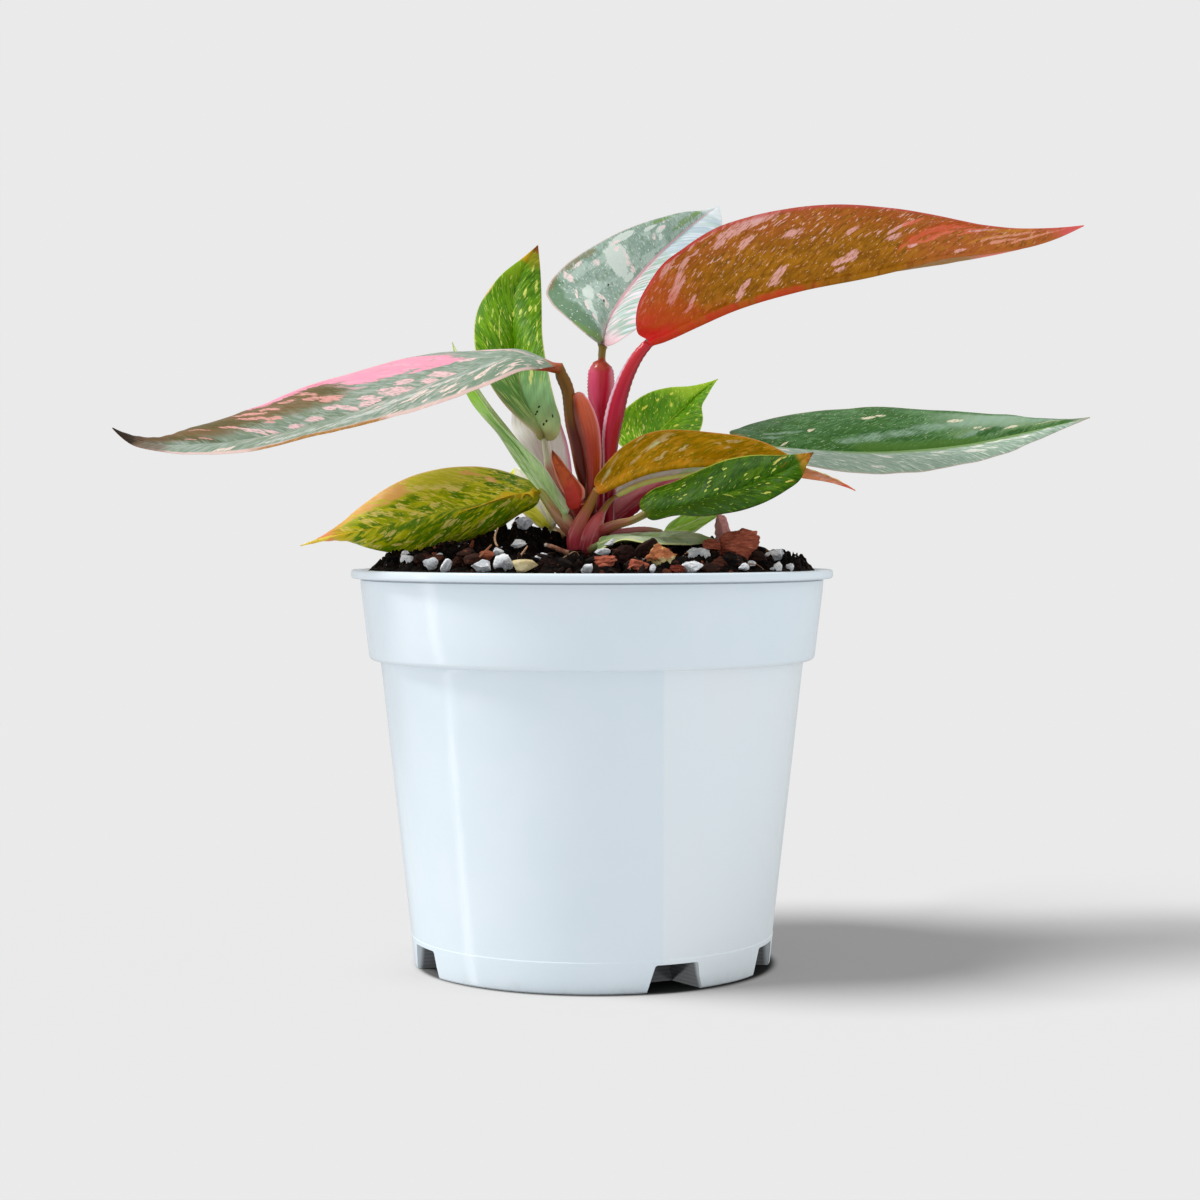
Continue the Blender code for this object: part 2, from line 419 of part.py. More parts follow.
def leaf_rings(spec, rows, cols, petiole_rows, grow=0.0):
    """Closed sections from the foot of the petiole to the tip of the blade."""
    midrib, left, right = blade_of(spec)
    petiole = np.array([(*carry(x, z, y), r) for x, z, y, r in spec["petiole"]])
    end_r = petiole[-1, 3] + grow
    s = np.linspace(0, 1, rows + 1)
    u = np.clip(0.55 * s + 0.45 * (0.5 - 0.5 * np.cos(math.pi * s)), 0.0, 0.985)
    mid, lo, ro = curve(midrib, u), curve(left, u), curve(right, u)
    span = np.linspace(-1, 1, cols + 1)
    across = np.sign(span) * np.abs(span) ** 1.25
    grid = np.zeros((rows + 1, cols + 1, 3))
    for j, v in enumerate(across):
        grid[:, j] = mid + ((lo if v < 0 else ro) - mid) * abs(v)
    along = np.gradient(grid, axis=0)
    aside = np.gradient(grid, axis=1)
    normal = np.cross(aside, along)
    size = np.linalg.norm(normal, axis=2, keepdims=True)
    normal = normal / np.maximum(size, 1e-9)
    normal[0] = normal[1]
    half = 0.5 * (np.linalg.norm(lo - mid, axis=1) + np.linalg.norm(ro - mid, axis=1))
    for j, v in enumerate(across):
        grid[:, j] += normal[:, j] * (0.32 * half * abs(v) * (1 - abs(v)))[:, None]
    # the margins run out a little where a cutter grows
    if grow:
        grid[:, 0] += np.array([unit(v) * grow for v in lo - mid])
        grid[:, -1] += np.array([unit(v) * grow for v in ro - mid])

    # sections of the blade: over the top from left to right, then back underneath. The first
    # ones turn from the petiole's round into the blade, which keeps a tapering rib below it
    turn = [math.pi - math.pi * j / cols for j in range(cols + 1)]
    sections = []
    forward = unit(mid[1] - mid[0])
    side0 = unit(grid[2, -1] - grid[2, 0])
    for i in range(rows + 1):
        n_mid = normal[i, cols // 2]
        side = unit(ro[max(i, 1)] - lo[max(i, 1)])
        round_part = max(0.0, 1 - u[i] / BLEND_TO) ** 2
        rib = end_r * (1.15 * (1 - u[i]) ** 1.3 + 0.15)
        top, under = [], []
        for j, v in enumerate(across):
            thick = 0.5 * LEAF_T * (1 - 0.35 * abs(v)) + grow
            if u[i] > 0.9:
                thick = (thick - grow) * (1 - 0.6 * (u[i] - 0.9) / 0.1) + grow
            off = abs(v) * half[i] / (1.5 * rib + 0.1)
            keel = rib * (1 - off * off) ** 1.5 if off < 1 else 0.0
            flat = 0.0 if j in (0, cols) else 1.0
            round_up = mid[i] + end_r * (side * math.cos(turn[j]) + n_mid * math.sin(turn[j]))
            round_low = mid[i] + end_r * (side * math.cos(turn[j]) - n_mid * math.sin(turn[j]))
            blade_up = grid[i, j] + normal[i, j] * (thick * flat)
            blade_low = grid[i, j] - normal[i, j] * ((thick + keel) * flat)
            top.append(blade_up * (1 - round_part) + round_up * round_part)
            under.append(blade_low * (1 - round_part) + round_low * round_part)
        ring = top + under[-2:0:-1]
        if i == rows:  # the tip keeps a little width, so that its end closes cleanly
            centre = np.mean(ring, axis=0)
            w = 0.35 + grow
            side, n = unit(ro[-2] - lo[-2]), normal[-2, cols // 2]
            ring = [centre + side * w * math.cos(a) + n * (0.18 + grow) * math.sin(a) for a in [math.pi - 2 * math.pi * j / (2 * cols) for j in range(2 * cols)]]
        sections.append(ring)

    # the petiole: round sections, turned so that they meet the blade without a twist
    t = np.linspace(0, 1, petiole_rows + 1)
    centre = curve(petiole, t)
    path = np.vstack([centre[:, :3], mid[1:3]])
    tangents = [unit(path[min(i + 1, len(path) - 1)] - path[max(i - 1, 0)]) for i in range(len(path))]
    side = unit(side0 - forward * (side0 @ forward))
    stalks = []
    for i in range(petiole_rows, -1, -1):
        side = unit(side - tangents[i] * (side @ tangents[i]))
        up = np.cross(side, tangents[i])
        r = max(centre[i, 3], 0.5) + grow
        stalks.append([centre[i, :3] + r * (side * math.cos(a) + up * math.sin(a)) for a in [math.pi - math.pi * j / cols for j in range(2 * cols)]])
    stalks.reverse()
    return stalks[:-1] + sections


def make_leaf(name, spec, cols=6, grow=0.0, mat=None, cutter=False):
    (bx, bz, _), (tx, tz, _) = spec["midrib"][0], spec["midrib"][-1]
    rows = 9 + round(math.hypot(tx - bx, tz - bz) / 22)
    stalk_rows = max(4, len(spec["petiole"]) - 1)
    points, faces = rings(leaf_rings(spec, rows, cols, stalk_rows, grow))
    foot = carry(*spec["petiole"][0][:3])
    return add_object(name, points, faces, mat, cutter, at=foot)


def tube(points, radii, sides):
    """Round sections along a path."""
    path = np.asarray(points, float)
    side = np.array((0.0, 0.0, 1.0))
    out = []
    for i, (p, r) in enumerate(zip(path, radii)):
        ahead = unit(path[min(i + 1, len(path) - 1)] - path[max(i - 1, 0)])
        side = unit(side - ahead * (side @ ahead))
        up = np.cross(ahead, side)
        out.append([p + r * (side * math.cos(a) + up * math.sin(a)) for a in [2 * math.pi * k / sides for k in range(sides)]])
    return out


# ---------------------------------------------------------------- pot
def notch_points(angle, grow=0.0):
    """A wedge under the pot: wider on the ground than under its roof, with radial side walls."""
    a = math.radians(angle)
    out_dir = np.array((math.sin(a), -math.cos(a), 0.0))
    side = np.array((math.cos(a), math.sin(a), 0.0))
    points = []
    for z, width in ((-3.0, NOTCH_FOOT_W + 2.0), (NOTCH_H + grow, NOTCH_ROOF_W)):
        for r in (NOTCH_IN_R - grow, FOOT_R + 8.0):
            w = 0.5 * width * r / FOOT_R + grow
            for s in (-1, 1):
                points.append(out_dir * r + side * (s * w) + np.array((0, 0, z)))
    faces = [(0, 1, 3, 2), (4, 6, 7, 5), (0, 4, 5, 1), (2, 3, 7, 6), (0, 2, 6, 4), (1, 5, 7, 3)]
    return points, faces


def outer_profile():
    return [
        (0.5, 0.0),
        (FOOT_R - 0.6, 0.0),
        (FOOT_R, 0.6),
        (BODY_TOP_R, STEP_Z - 1.0),
        (BODY_TOP_R + 0.5, STEP_Z),
        (BAND_LOW_R - 0.8, STEP_Z),
        (BAND_LOW_R, BAND_LOW_Z - 0.4),
        (BAND_TOP_R, POT_HEIGHT - LIP_H),
        (RIM_R - 0.7, POT_HEIGHT - LIP_H),
        (RIM_R, POT_HEIGHT - LIP_H + 0.7),
        (RIM_R, POT_HEIGHT - 0.8),
        (RIM_R - 0.8, POT_HEIGHT),
        (0.5, POT_HEIGHT),
    ]


def inner_profile(inset, top_z):
    """The pot's inside, brought in by inset on every wall."""
    foot = FOOT_R + (BODY_TOP_R - FOOT_R) * FLOOR / STEP_Z
    return [
        (0.5, FLOOR + inset),
        (foot - WALL - inset, FLOOR + inset),
        (BODY_TOP_R - WALL - inset, STEP_Z + WALL + inset),
        (BAND_LOW_R - WALL - inset, STEP_Z + WALL + inset),
        (BAND_TOP_R - WALL - inset, POT_HEIGHT - 1.0),
        (BAND_TOP_R - WALL - inset + 0.15, top_z),
    ]


def build_pot():
    points, faces = turned(outer_profile(), POT_SIDES)
    pot = add_object("nursery_pot", points, faces, "pot_white")
    points, faces = turned([*inner_profile(0.0, POT_HEIGHT + 5.0), (0.5, POT_HEIGHT + 5.0)], POT_SIDES)
    hollow = add_object("cut_hollow", points, faces, cutter=True)
    for i, angle in enumerate(NOTCH_AT):
        casing = add_object(f"cut_casing_{i}", *notch_points(angle, WALL), cutter=True)
        cut(hollow, casing, f"casing {i}")
    cut(pot, hollow, "hollow")
    for i, angle in enumerate(NOTCH_AT):
        cut(pot, add_object(f"cut_notch_{i}", *notch_points(angle), cutter=True), f"notch {i}")
        a = math.radians(angle)
        x, y = DRAIN_AT_R * math.sin(a), -DRAIN_AT_R * math.cos(a)
        hole = [[(x + DRAIN_R * math.cos(k), y + DRAIN_R * math.sin(k), z) for k in [2 * math.pi * j / 16 for j in range(16)]] for z in (NOTCH_H - 2.0, NOTCH_H + WALL + 2.0)]
        cut(pot, add_object(f"cut_drain_{i}", *rings(hole), cutter=True), f"drain {i}")
    return pot


# ---------------------------------------------------------------- potting mix
def heap_height(x, y):
    """The mix is a little under the rim at the wall and heaped inside, most on the left and least in front."""
    r = math.hypot(x, y)
    cx, cy = (x / r, y / r) if r > 1e-6 else (0.0, 0.0)
    around = 8.75 - 2.0 * cx + 2.5 * cy + 1.25 * (cx * cx - cy * cy)
    k = min(1.0, r / 22.0)
    amount = 5.4 * (1 - k) + around * k
    return MIX_LEVEL + amount * max(0.0, 1 - (r / 70.6) ** 2) ** 0.55


def build_mix():
    sides = 36
    walls = [[(r * math.cos(2 * math.pi * i / sides), r * math.sin(2 * math.pi * i / sides), z) for i in range(sides)] for r, z in inner_profile(GAP, MIX_LEVEL + 0.4)]
    tops = []
    for r in (67.5, 62.0, 55.0, 46.0, 36.0, 26.0, 17.0, 9.0, 3.0):
        ring = []
        for i in range(sides):
            a = 2 * math.pi * i / sides
            x, y = r * math.cos(a), r * math.sin(a)
            ring.append((x, y, heap_height(x, y)))
        tops.append(ring)
    points, faces = rings(walls + tops)
    mix = add_object("potting_mix", points, faces, "mix_dark")
    for i, angle in enumerate(NOTCH_AT):
        casing = add_object(f"cut_mix_casing_{i}", *notch_points(angle, WALL + GAP), cutter=True)
        cut(mix, casing, f"casing {i}")
    return mix


def stem_sections(grow=0.0):
    x, y = STEM_AT
    lowest, highest = STEM_SHAPE[0][0], STEM_SHAPE[-1][0]
    out = []
    for z, r in STEM_SHAPE:
        if z in (lowest, highest):
            z += grow if z == highest else -grow
        out.append([(x + (r + grow) * math.cos(a), y + (r + grow) * math.sin(a), z) for a in [2 * math.pi * k / 12 for k in range(12)]])
    return out


# ---------------------------------------------------------------- grains
def grain_points(spec, grow=0.0):
    x, z, depth, size, turn, seed, _ = spec
    rng = random.Random(seed)
    bm = bmesh.new()
    bmesh.ops.create_icosphere(bm, subdivisions=2, radius=1.0)
    wobble = [(rng.uniform(-1, 1), rng.uniform(-1, 1), rng.uniform(-1, 1), rng.uniform(0, 6.28)) for _ in range(4)]
    centre = carry(x, z, depth)
    c, s = math.cos(math.radians(turn)), math.sin(math.radians(turn))
    points = []
    for v in bm.verts:
        d = np.array(v.co)
        k = 1.0 + 0.10 * sum(math.sin(3.0 * (d @ np.array(w[:3])) + w[3]) for w in wobble) / 2
        # knock the ball towards a block, as broken grains are
        d = d / max(abs(d)) * 0.35 + d * 0.65
        p = d * k * (np.array(size) / 2) + unit(np.array(v.co)) * grow
        points.append(centre + np.array((c * p[0] - s * p[1], s * p[0] + c * p[1], p[2])))
    faces = [tuple(v.index for v in f.verts) for f in bm.faces]
    bm.free()
    return points, faces, centre


# ---------------------------------------------------------------- build
def main():
    clear_scene()
    build_pot()
    mix = build_mix()

    points, faces = rings(stem_sections())
    add_object("main_stem", points, faces, "stem_red", at=(*STEM_AT, STEM_SHAPE[3][0]))
    points, faces = rings(stem_sections(GAP))
    stem_cutter = add_object("cut_main_stem", points, faces, cutter=True)
    cut(mix, stem_cutter, "stem")

    leaves, cutters = {}, {"main_stem": stem_cutter}
    for name, spec in LEAVES.items():
        leaves[name] = make_leaf(name, spec, mat=LEAF_MATERIAL.get(name, "leaf_bright_green"))

    def cutter_for(name):
        if name not in cutters:
            cutters[name] = make_leaf("cut_" + name, LEAVES[name], grow=GAP, cutter=True)
        return cutters[name]

    for name, others in GIVES_WAY.items():
        for other in others:
            cut(leaves[name], cutter_for(other), "clear of " + other)
    for name in MIX_GIVES_WAY:
        cut(mix, cutter_for(name), "clear of " + name)

    for name, spec in GRAINS.items():
        points, faces, centre = grain_points(spec)
        add_object(name, points, faces, spec[6], at=centre)
        points, faces, centre = grain_points(spec, GAP + 0.15)
        cut(mix, add_object("cut_" + name, points, faces, cutter=True, at=centre), "pocket " + name)

    root = np.array([(*carry(x, z, y), r) for x, z, y, r in AERIAL_ROOT])
    fine = curve(root, np.linspace(0, 1, 9))
    points, faces = rings(tube(fine[:, :3], fine[:, 3], 8))
    add_object("aerial_root", points, faces, "root_tan", at=fine[0, :3])
    points, faces = rings(tube(fine[:, :3], fine[:, 3] + GAP, 8))
    cut(mix, add_object("cut_aerial_root", points, faces, cutter=True, at=fine[0, :3]), "root")


main()
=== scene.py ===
"""Looks of the potted philodendron: fine leaves, potting mix, pot, materials, light and camera."""

import math
import random

import bmesh
import bpy
import mathutils
import numpy as np
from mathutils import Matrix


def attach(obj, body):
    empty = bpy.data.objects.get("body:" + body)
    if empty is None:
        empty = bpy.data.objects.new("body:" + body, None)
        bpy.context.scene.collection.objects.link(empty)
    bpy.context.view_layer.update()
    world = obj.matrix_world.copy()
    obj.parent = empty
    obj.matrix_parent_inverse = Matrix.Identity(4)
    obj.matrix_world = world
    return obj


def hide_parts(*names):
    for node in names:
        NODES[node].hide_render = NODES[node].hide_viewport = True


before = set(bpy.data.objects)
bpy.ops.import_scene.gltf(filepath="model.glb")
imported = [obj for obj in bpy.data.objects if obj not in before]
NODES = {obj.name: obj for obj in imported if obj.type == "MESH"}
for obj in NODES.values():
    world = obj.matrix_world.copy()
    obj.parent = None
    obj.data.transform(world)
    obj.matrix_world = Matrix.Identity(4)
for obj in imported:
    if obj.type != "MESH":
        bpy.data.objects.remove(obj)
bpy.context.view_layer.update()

# ---------------------------------------------------------------- dimensions, mm (as in part.py)
POT_HEIGHT = 122.7
RIM_R = 75.0
LIP_H = 2.7
BAND_TOP_R = 72.1
BAND_LOW_R = 69.5
BAND_LOW_Z = 96.5
STEP_Z = 95.0
BODY_TOP_R = 66.0
FOOT_R = 55.6
WALL = 1.2
FLOOR = 1.5
MIX_LEVEL = 121.5
NOTCH_AT = (26.5, 71.0, 115.5, 206.5, 251.0, 295.5)
NOTCH_H = 8.2
NOTCH_IN_R = 40.5
NOTCH_FOOT_W = 18.0
NOTCH_ROOF_W = 14.0
DRAIN_R = 3.2
DRAIN_AT_R = 47.5
STEM_AT = (-1.5, -2.0)
SIGHT = np.array((2.5, -716.0, 134.9))


# ---------------------------------------------------------------- meshes
def unit(v):
    return v / max(np.linalg.norm(v), 1e-9)


def new_piece(name, points, faces, replaces=(), attributes=(), smooth=40.0, mat=None):
    """A piece of the object from points in mm. attributes: {name: (n, 3) array per point}."""
    mesh = bpy.data.meshes.new(name)
    points = np.asarray(points, np.float64)
    mesh.from_pydata((points * 0.001).tolist(), [], [tuple(int(i) for i in f) for f in faces])
    for key, values in dict(attributes).items():
        layer = mesh.attributes.new(key, "FLOAT_VECTOR", "POINT")
        layer.data.foreach_set("vector", np.asarray(values, np.float32).ravel())
    bm = bmesh.new()
    bm.from_mesh(mesh)
    bmesh.ops.recalc_face_normals(bm, faces=bm.faces)
    if bm.calc_volume(signed=True) < 0:
        bmesh.ops.reverse_faces(bm, faces=bm.faces)
    bm.to_mesh(mesh)
    bm.free()
    mesh.shade_smooth()
    if smooth:
        mesh.set_sharp_from_angle(angle=math.radians(smooth))
    obj = bpy.data.objects.new(name, mesh)
    bpy.context.scene.collection.objects.link(obj)
    if mat:
        mesh.materials.append(mat)
    if replaces is not None:
        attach(obj, "root")
        if replaces:
            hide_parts(*replaces)
    return obj


def strip_faces(rows, count, close=True):
    """Quads between closed rings of count points."""
    i, j = np.meshgrid(np.arange(rows - 1), np.arange(count), indexing="ij")
    k = (j + 1) % count
    faces = np.stack([i * count + j, i * count + k, (i + 1) * count + k, (i + 1) * count + j], -1).reshape(-1, 4).tolist()
    if close:
        faces.append(list(range(count))[::-1])
        faces.append([(rows - 1) * count + n for n in range(count)])
    return faces


def curve(points, t):
    """A smooth curve through the points, at fractions t of their chord length."""
    p = np.asarray(points, float)
    k = np.concatenate([[0.0], np.cumsum(np.linalg.norm(np.diff(p[:, :3], axis=0), axis=1))])
    k /= k[-1]
    last = len(k) - 1
    slope = np.zeros_like(p)
    for i in range(1, last):
        before = (p[i] - p[i - 1]) / (k[i] - k[i - 1])
        after = (p[i + 1] - p[i]) / (k[i + 1] - k[i])
        a, b = k[i] - k[i - 1], k[i + 1] - k[i]
        slope[i] = (before * b + after * a) / (a + b)
    slope[0] = 2 * (p[1] - p[0]) / (k[1] - k[0]) - slope[1]
    slope[last] = 2 * (p[last] - p[last - 1]) / (k[last] - k[last - 1]) - slope[last - 1]
    t = np.clip(np.atleast_1d(np.asarray(t, float)), 0, 1)
    j = np.clip(np.searchsorted(k, t, side="right") - 1, 0, last - 1)
    h = (k[j + 1] - k[j])[:, None]
    s = ((t - k[j]) / (k[j + 1] - k[j]))[:, None]
    return (2 * s**3 - 3 * s**2 + 1) * p[j] + (s**3 - 2 * s**2 + s) * h * slope[j] + (3 * s**2 - 2 * s**3) * p[j + 1] + (s**3 - s**2) * h * slope[j + 1]


def carry(x, z, depth):
    """A point of the front elevation taken along its line of sight to a depth."""
    flat = np.array((x, 0.0, z))
    return SIGHT + (flat - SIGHT) * (depth - SIGHT[1]) / -SIGHT[1]


# ---------------------------------------------------------------- noise on points, for shapes
def _hash(ix, iy, seed):
    h = (ix.astype(np.int64) * 374761393 + iy.astype(np.int64) * 668265263 + seed * 1442695041) & 0xFFFFFFFF
    h = ((h ^ (h >> 13)) * 1274126177) & 0xFFFFFFFF
    h = (h ^ (h >> 16)) & 0xFFFFFFFF
    return h / 4294967295.0


def noise2(x, y, seed=0):
    """Smooth value noise, -1 to 1."""
    x, y = np.asarray(x, float), np.asarray(y, float)
    ix, iy = np.floor(x), np.floor(y)
    fx, fy = x - ix, y - iy
    fx, fy = fx**3 * (fx * (6 * fx - 15) + 10), fy**3 * (fy * (6 * fy - 15) + 10)
    a, b = _hash(ix, iy, seed), _hash(ix + 1, iy, seed)
    c, d = _hash(ix, iy + 1, seed), _hash(ix + 1, iy + 1, seed)
    return 2 * ((a * (1 - fx) + b * fx) * (1 - fy) + (c * (1 - fx) + d * fx) * fy) - 1


def cells(x, y, size, seed):
    """Distance to the nearest and the second nearest of jittered points, in cell sizes, and the nearest one's number."""
    x, y = np.asarray(x, float) / size, np.asarray(y, float) / size
    ix, iy = np.floor(x), np.floor(y)
    best = np.full(x.shape, 9.0)
    second = np.full(x.shape, 9.0)
    number = np.zeros(x.shape)
    for dx in (-1, 0, 1):
        for dy in (-1, 0, 1):
            cx, cy = ix + dx, iy + dy
            px, py = cx + _hash(cx, cy, seed), cy + _hash(cx, cy, seed + 7)
            d = np.hypot(px - x, py - y)
            n = _hash(cx, cy, seed + 13)
            closer = d < best
            second = np.where(closer, best, np.minimum(second, d))
            number = np.where(closer, n, number)
            best = np.where(closer, d, best)
    return best, second, number


# ---------------------------------------------------------------- material graphs
def srgb(r, g, b):
    out = []
    for c in (r, g, b):
        c /= 255.0
        out.append(c / 12.92 if c <= 0.04045 else ((c + 0.055) / 1.055) ** 2.4)
    return (*out, 1.0)


class Graph:
    """A material with one Principled BSDF, and short names for the nodes that feed it."""

    def __init__(self, name):
        self.mat = bpy.data.materials.new(name)
        self.mat.use_nodes = True
        self.tree = self.mat.node_tree
        self.tree.nodes.clear()
        out = self.tree.nodes.new("ShaderNodeOutputMaterial")
        self.bsdf = self.tree.nodes.new("ShaderNodeBsdfPrincipled")
        self.tree.links.new(self.bsdf.outputs[0], out.inputs[0])

    def feed(self, socket, value):
        if isinstance(value, bpy.types.NodeSocket):
            self.tree.links.new(value, socket)
        elif value is not None:
            socket.default_value = value

    def set(self, **values):
        names = {"color": "Base Color", "rough": "Roughness", "coat": "Coat Weight", "coat_rough": "Coat Roughness", "spec": "Specular IOR Level", "normal": "Normal", "sheen": "Sheen Weight", "sss": "Subsurface Weight"}
        for key, value in values.items():
            self.feed(self.bsdf.inputs[names[key]], value)
        return self.mat

    def node(self, kind, **props):
        n = self.tree.nodes.new(kind)
        for key, value in props.items():
            setattr(n, key, value)
        return n

    def math(self, op, a, b=None, c=None, clamp=False):
        n = self.node("ShaderNodeMath", operation=op, use_clamp=clamp)
        for socket, value in zip(n.inputs, (a, b, c)):
            self.feed(socket, value)
        return n.outputs[0]

    def add(self, a, b):
        return self.math("ADD", a, b)

    def sub(self, a, b):
        return self.math("SUBTRACT", a, b)

    def mul(self, *values):
        out = values[0]
        for v in values[1:]:
            out = self.math("MULTIPLY", out, v)
        return out

    def step(self, x, lo, hi, to=(0.0, 1.0)):
        n = self.node("ShaderNodeMapRange", interpolation_type="SMOOTHSTEP", clamp=True)
        for socket, value in zip(n.inputs, (x, lo, hi, to[0], to[1])):
            self.feed(socket, value)
        return n.outputs[0]

    def mix(self, amount, a, b, blend="MIX"):
        n = self.node("ShaderNodeMix", data_type="RGBA", blend_type=blend, clamp_factor=True)
        self.feed(n.inputs[0], amount)
        self.feed(n.inputs[6], a)
        self.feed(n.inputs[7], b)
        return n.outputs[2]

    def attribute(self, name):
        return self.node("ShaderNodeAttribute", attribute_name=name, attribute_type="GEOMETRY").outputs["Vector"]

    def place(self):
        return self.node("ShaderNodeTexCoord").outputs["Object"]

    def split(self, v):
        n = self.node("ShaderNodeSeparateXYZ")
        self.feed(n.inputs[0], v)
        return n.outputs[0], n.outputs[1], n.outputs[2]

    def join(self, x, y, z=0.0):
        n = self.node("ShaderNodeCombineXYZ")
        for socket, value in zip(n.inputs, (x, y, z)):
            self.feed(socket, value)
        return n.outputs[0]

    def noise(self, v, scale, detail=2.0, rough=0.5, distort=0.0, out=0):
        n = self.node("ShaderNodeTexNoise", noise_dimensions="3D")
        self.feed(n.inputs["Vector"], v)
        n.inputs["Scale"].default_value = scale
        n.inputs["Detail"].default_value = detail
        n.inputs["Roughness"].default_value = rough
        n.inputs["Distortion"].default_value = distort
        return n.outputs[out]

    def voronoi(self, v, scale, feature="F1", out="Distance"):
        n = self.node("ShaderNodeTexVoronoi", feature=feature)
        self.feed(n.inputs["Vector"], v)
        n.inputs["Scale"].default_value = scale
        return n.outputs[out]

    def bump(self, height, depth_mm, normal=None, strength=1.0):
        n = self.node("ShaderNodeBump")
        n.inputs["Strength"].default_value = strength
        n.inputs["Distance"].default_value = depth_mm * 0.001
        self.feed(n.inputs["Height"], height)
        self.feed(n.inputs["Normal"], normal)
        return n.outputs[0]

# ---------------------------------------------------------------- leaves
WIDTH_AT = (0, 0.05, 0.1, 0.2, 0.3, 0.4, 0.5, 0.6, 0.7, 0.8, 0.9, 0.95, 1)
WIDTH_IS = (0, 0.45, 0.68, 0.9, 1.0, 0.99, 0.93, 0.81, 0.64, 0.44, 0.2, 0.09, 0)
BLEND_TO = 0.032


def margin(half_width, side, drawn, spec, midrib):
    """A blade margin in space: each drawn point goes along its line of sight until it is the
    blade's half width from the midrib, on the near side (-1) or the far side (+1) of it."""
    (bx, bz, _), (tx, tz, _) = spec["midrib"][0], spec["midrib"][-1]
    flat = np.array([(bx, bz), *drawn, (tx, tz)], float)
    along = np.concatenate([[0.0], np.cumsum(np.linalg.norm(np.diff(flat, axis=0), axis=1))])
    along /= along[-1]
    found = []
    for (x, z), f, m in zip(flat, along, curve(midrib, along)):
        ray = np.array((x, 0.0, z)) - SIGHT
        reach = half_width * np.interp(f, WIDTH_AT, WIDTH_IS)
        a, b, c = ray @ ray, 2 * ray @ (SIGHT - m), (SIGHT - m) @ (SIGHT - m) - reach**2
        inside = b * b - 4 * a * c
        found.append(SIGHT + ray * (-b + side * math.sqrt(max(inside, 0.0))) / (2 * a))
    found[0], found[-1] = midrib[0], midrib[-1]
    return np.array(found)


def blade_of(spec):
    """Midrib, left margin and right margin, seen from above with the tip ahead."""
    midrib = np.array([carry(*p) for p in spec["midrib"]])
    one, two = (margin(*edge, spec, midrib) for edge in spec["edges"])
    t = np.array((0.3, 0.45, 0.6))
    ahead = curve(midrib, t + 0.02) - curve(midrib, t - 0.02)
    up = np.cross(curve(two, t) - curve(one, t), ahead).sum(axis=0)
    upper_shows = up[1] < 0
    return (midrib, one, two) if upper_shows == (spec["side"] == "upper") else (midrib, two, one)


def surface_normals(grid):
    along = np.gradient(grid, axis=0)
    aside = np.gradient(grid, axis=1)
    n = np.cross(aside, along)
    n /= np.maximum(np.linalg.norm(n, axis=2, keepdims=True), 1e-9)
    n[0] = n[1]
    return n


def smooth(x, lo, hi):
    t = np.clip((x - lo) / (hi - lo), 0, 1)
    return t * t * (3 - 2 * t)


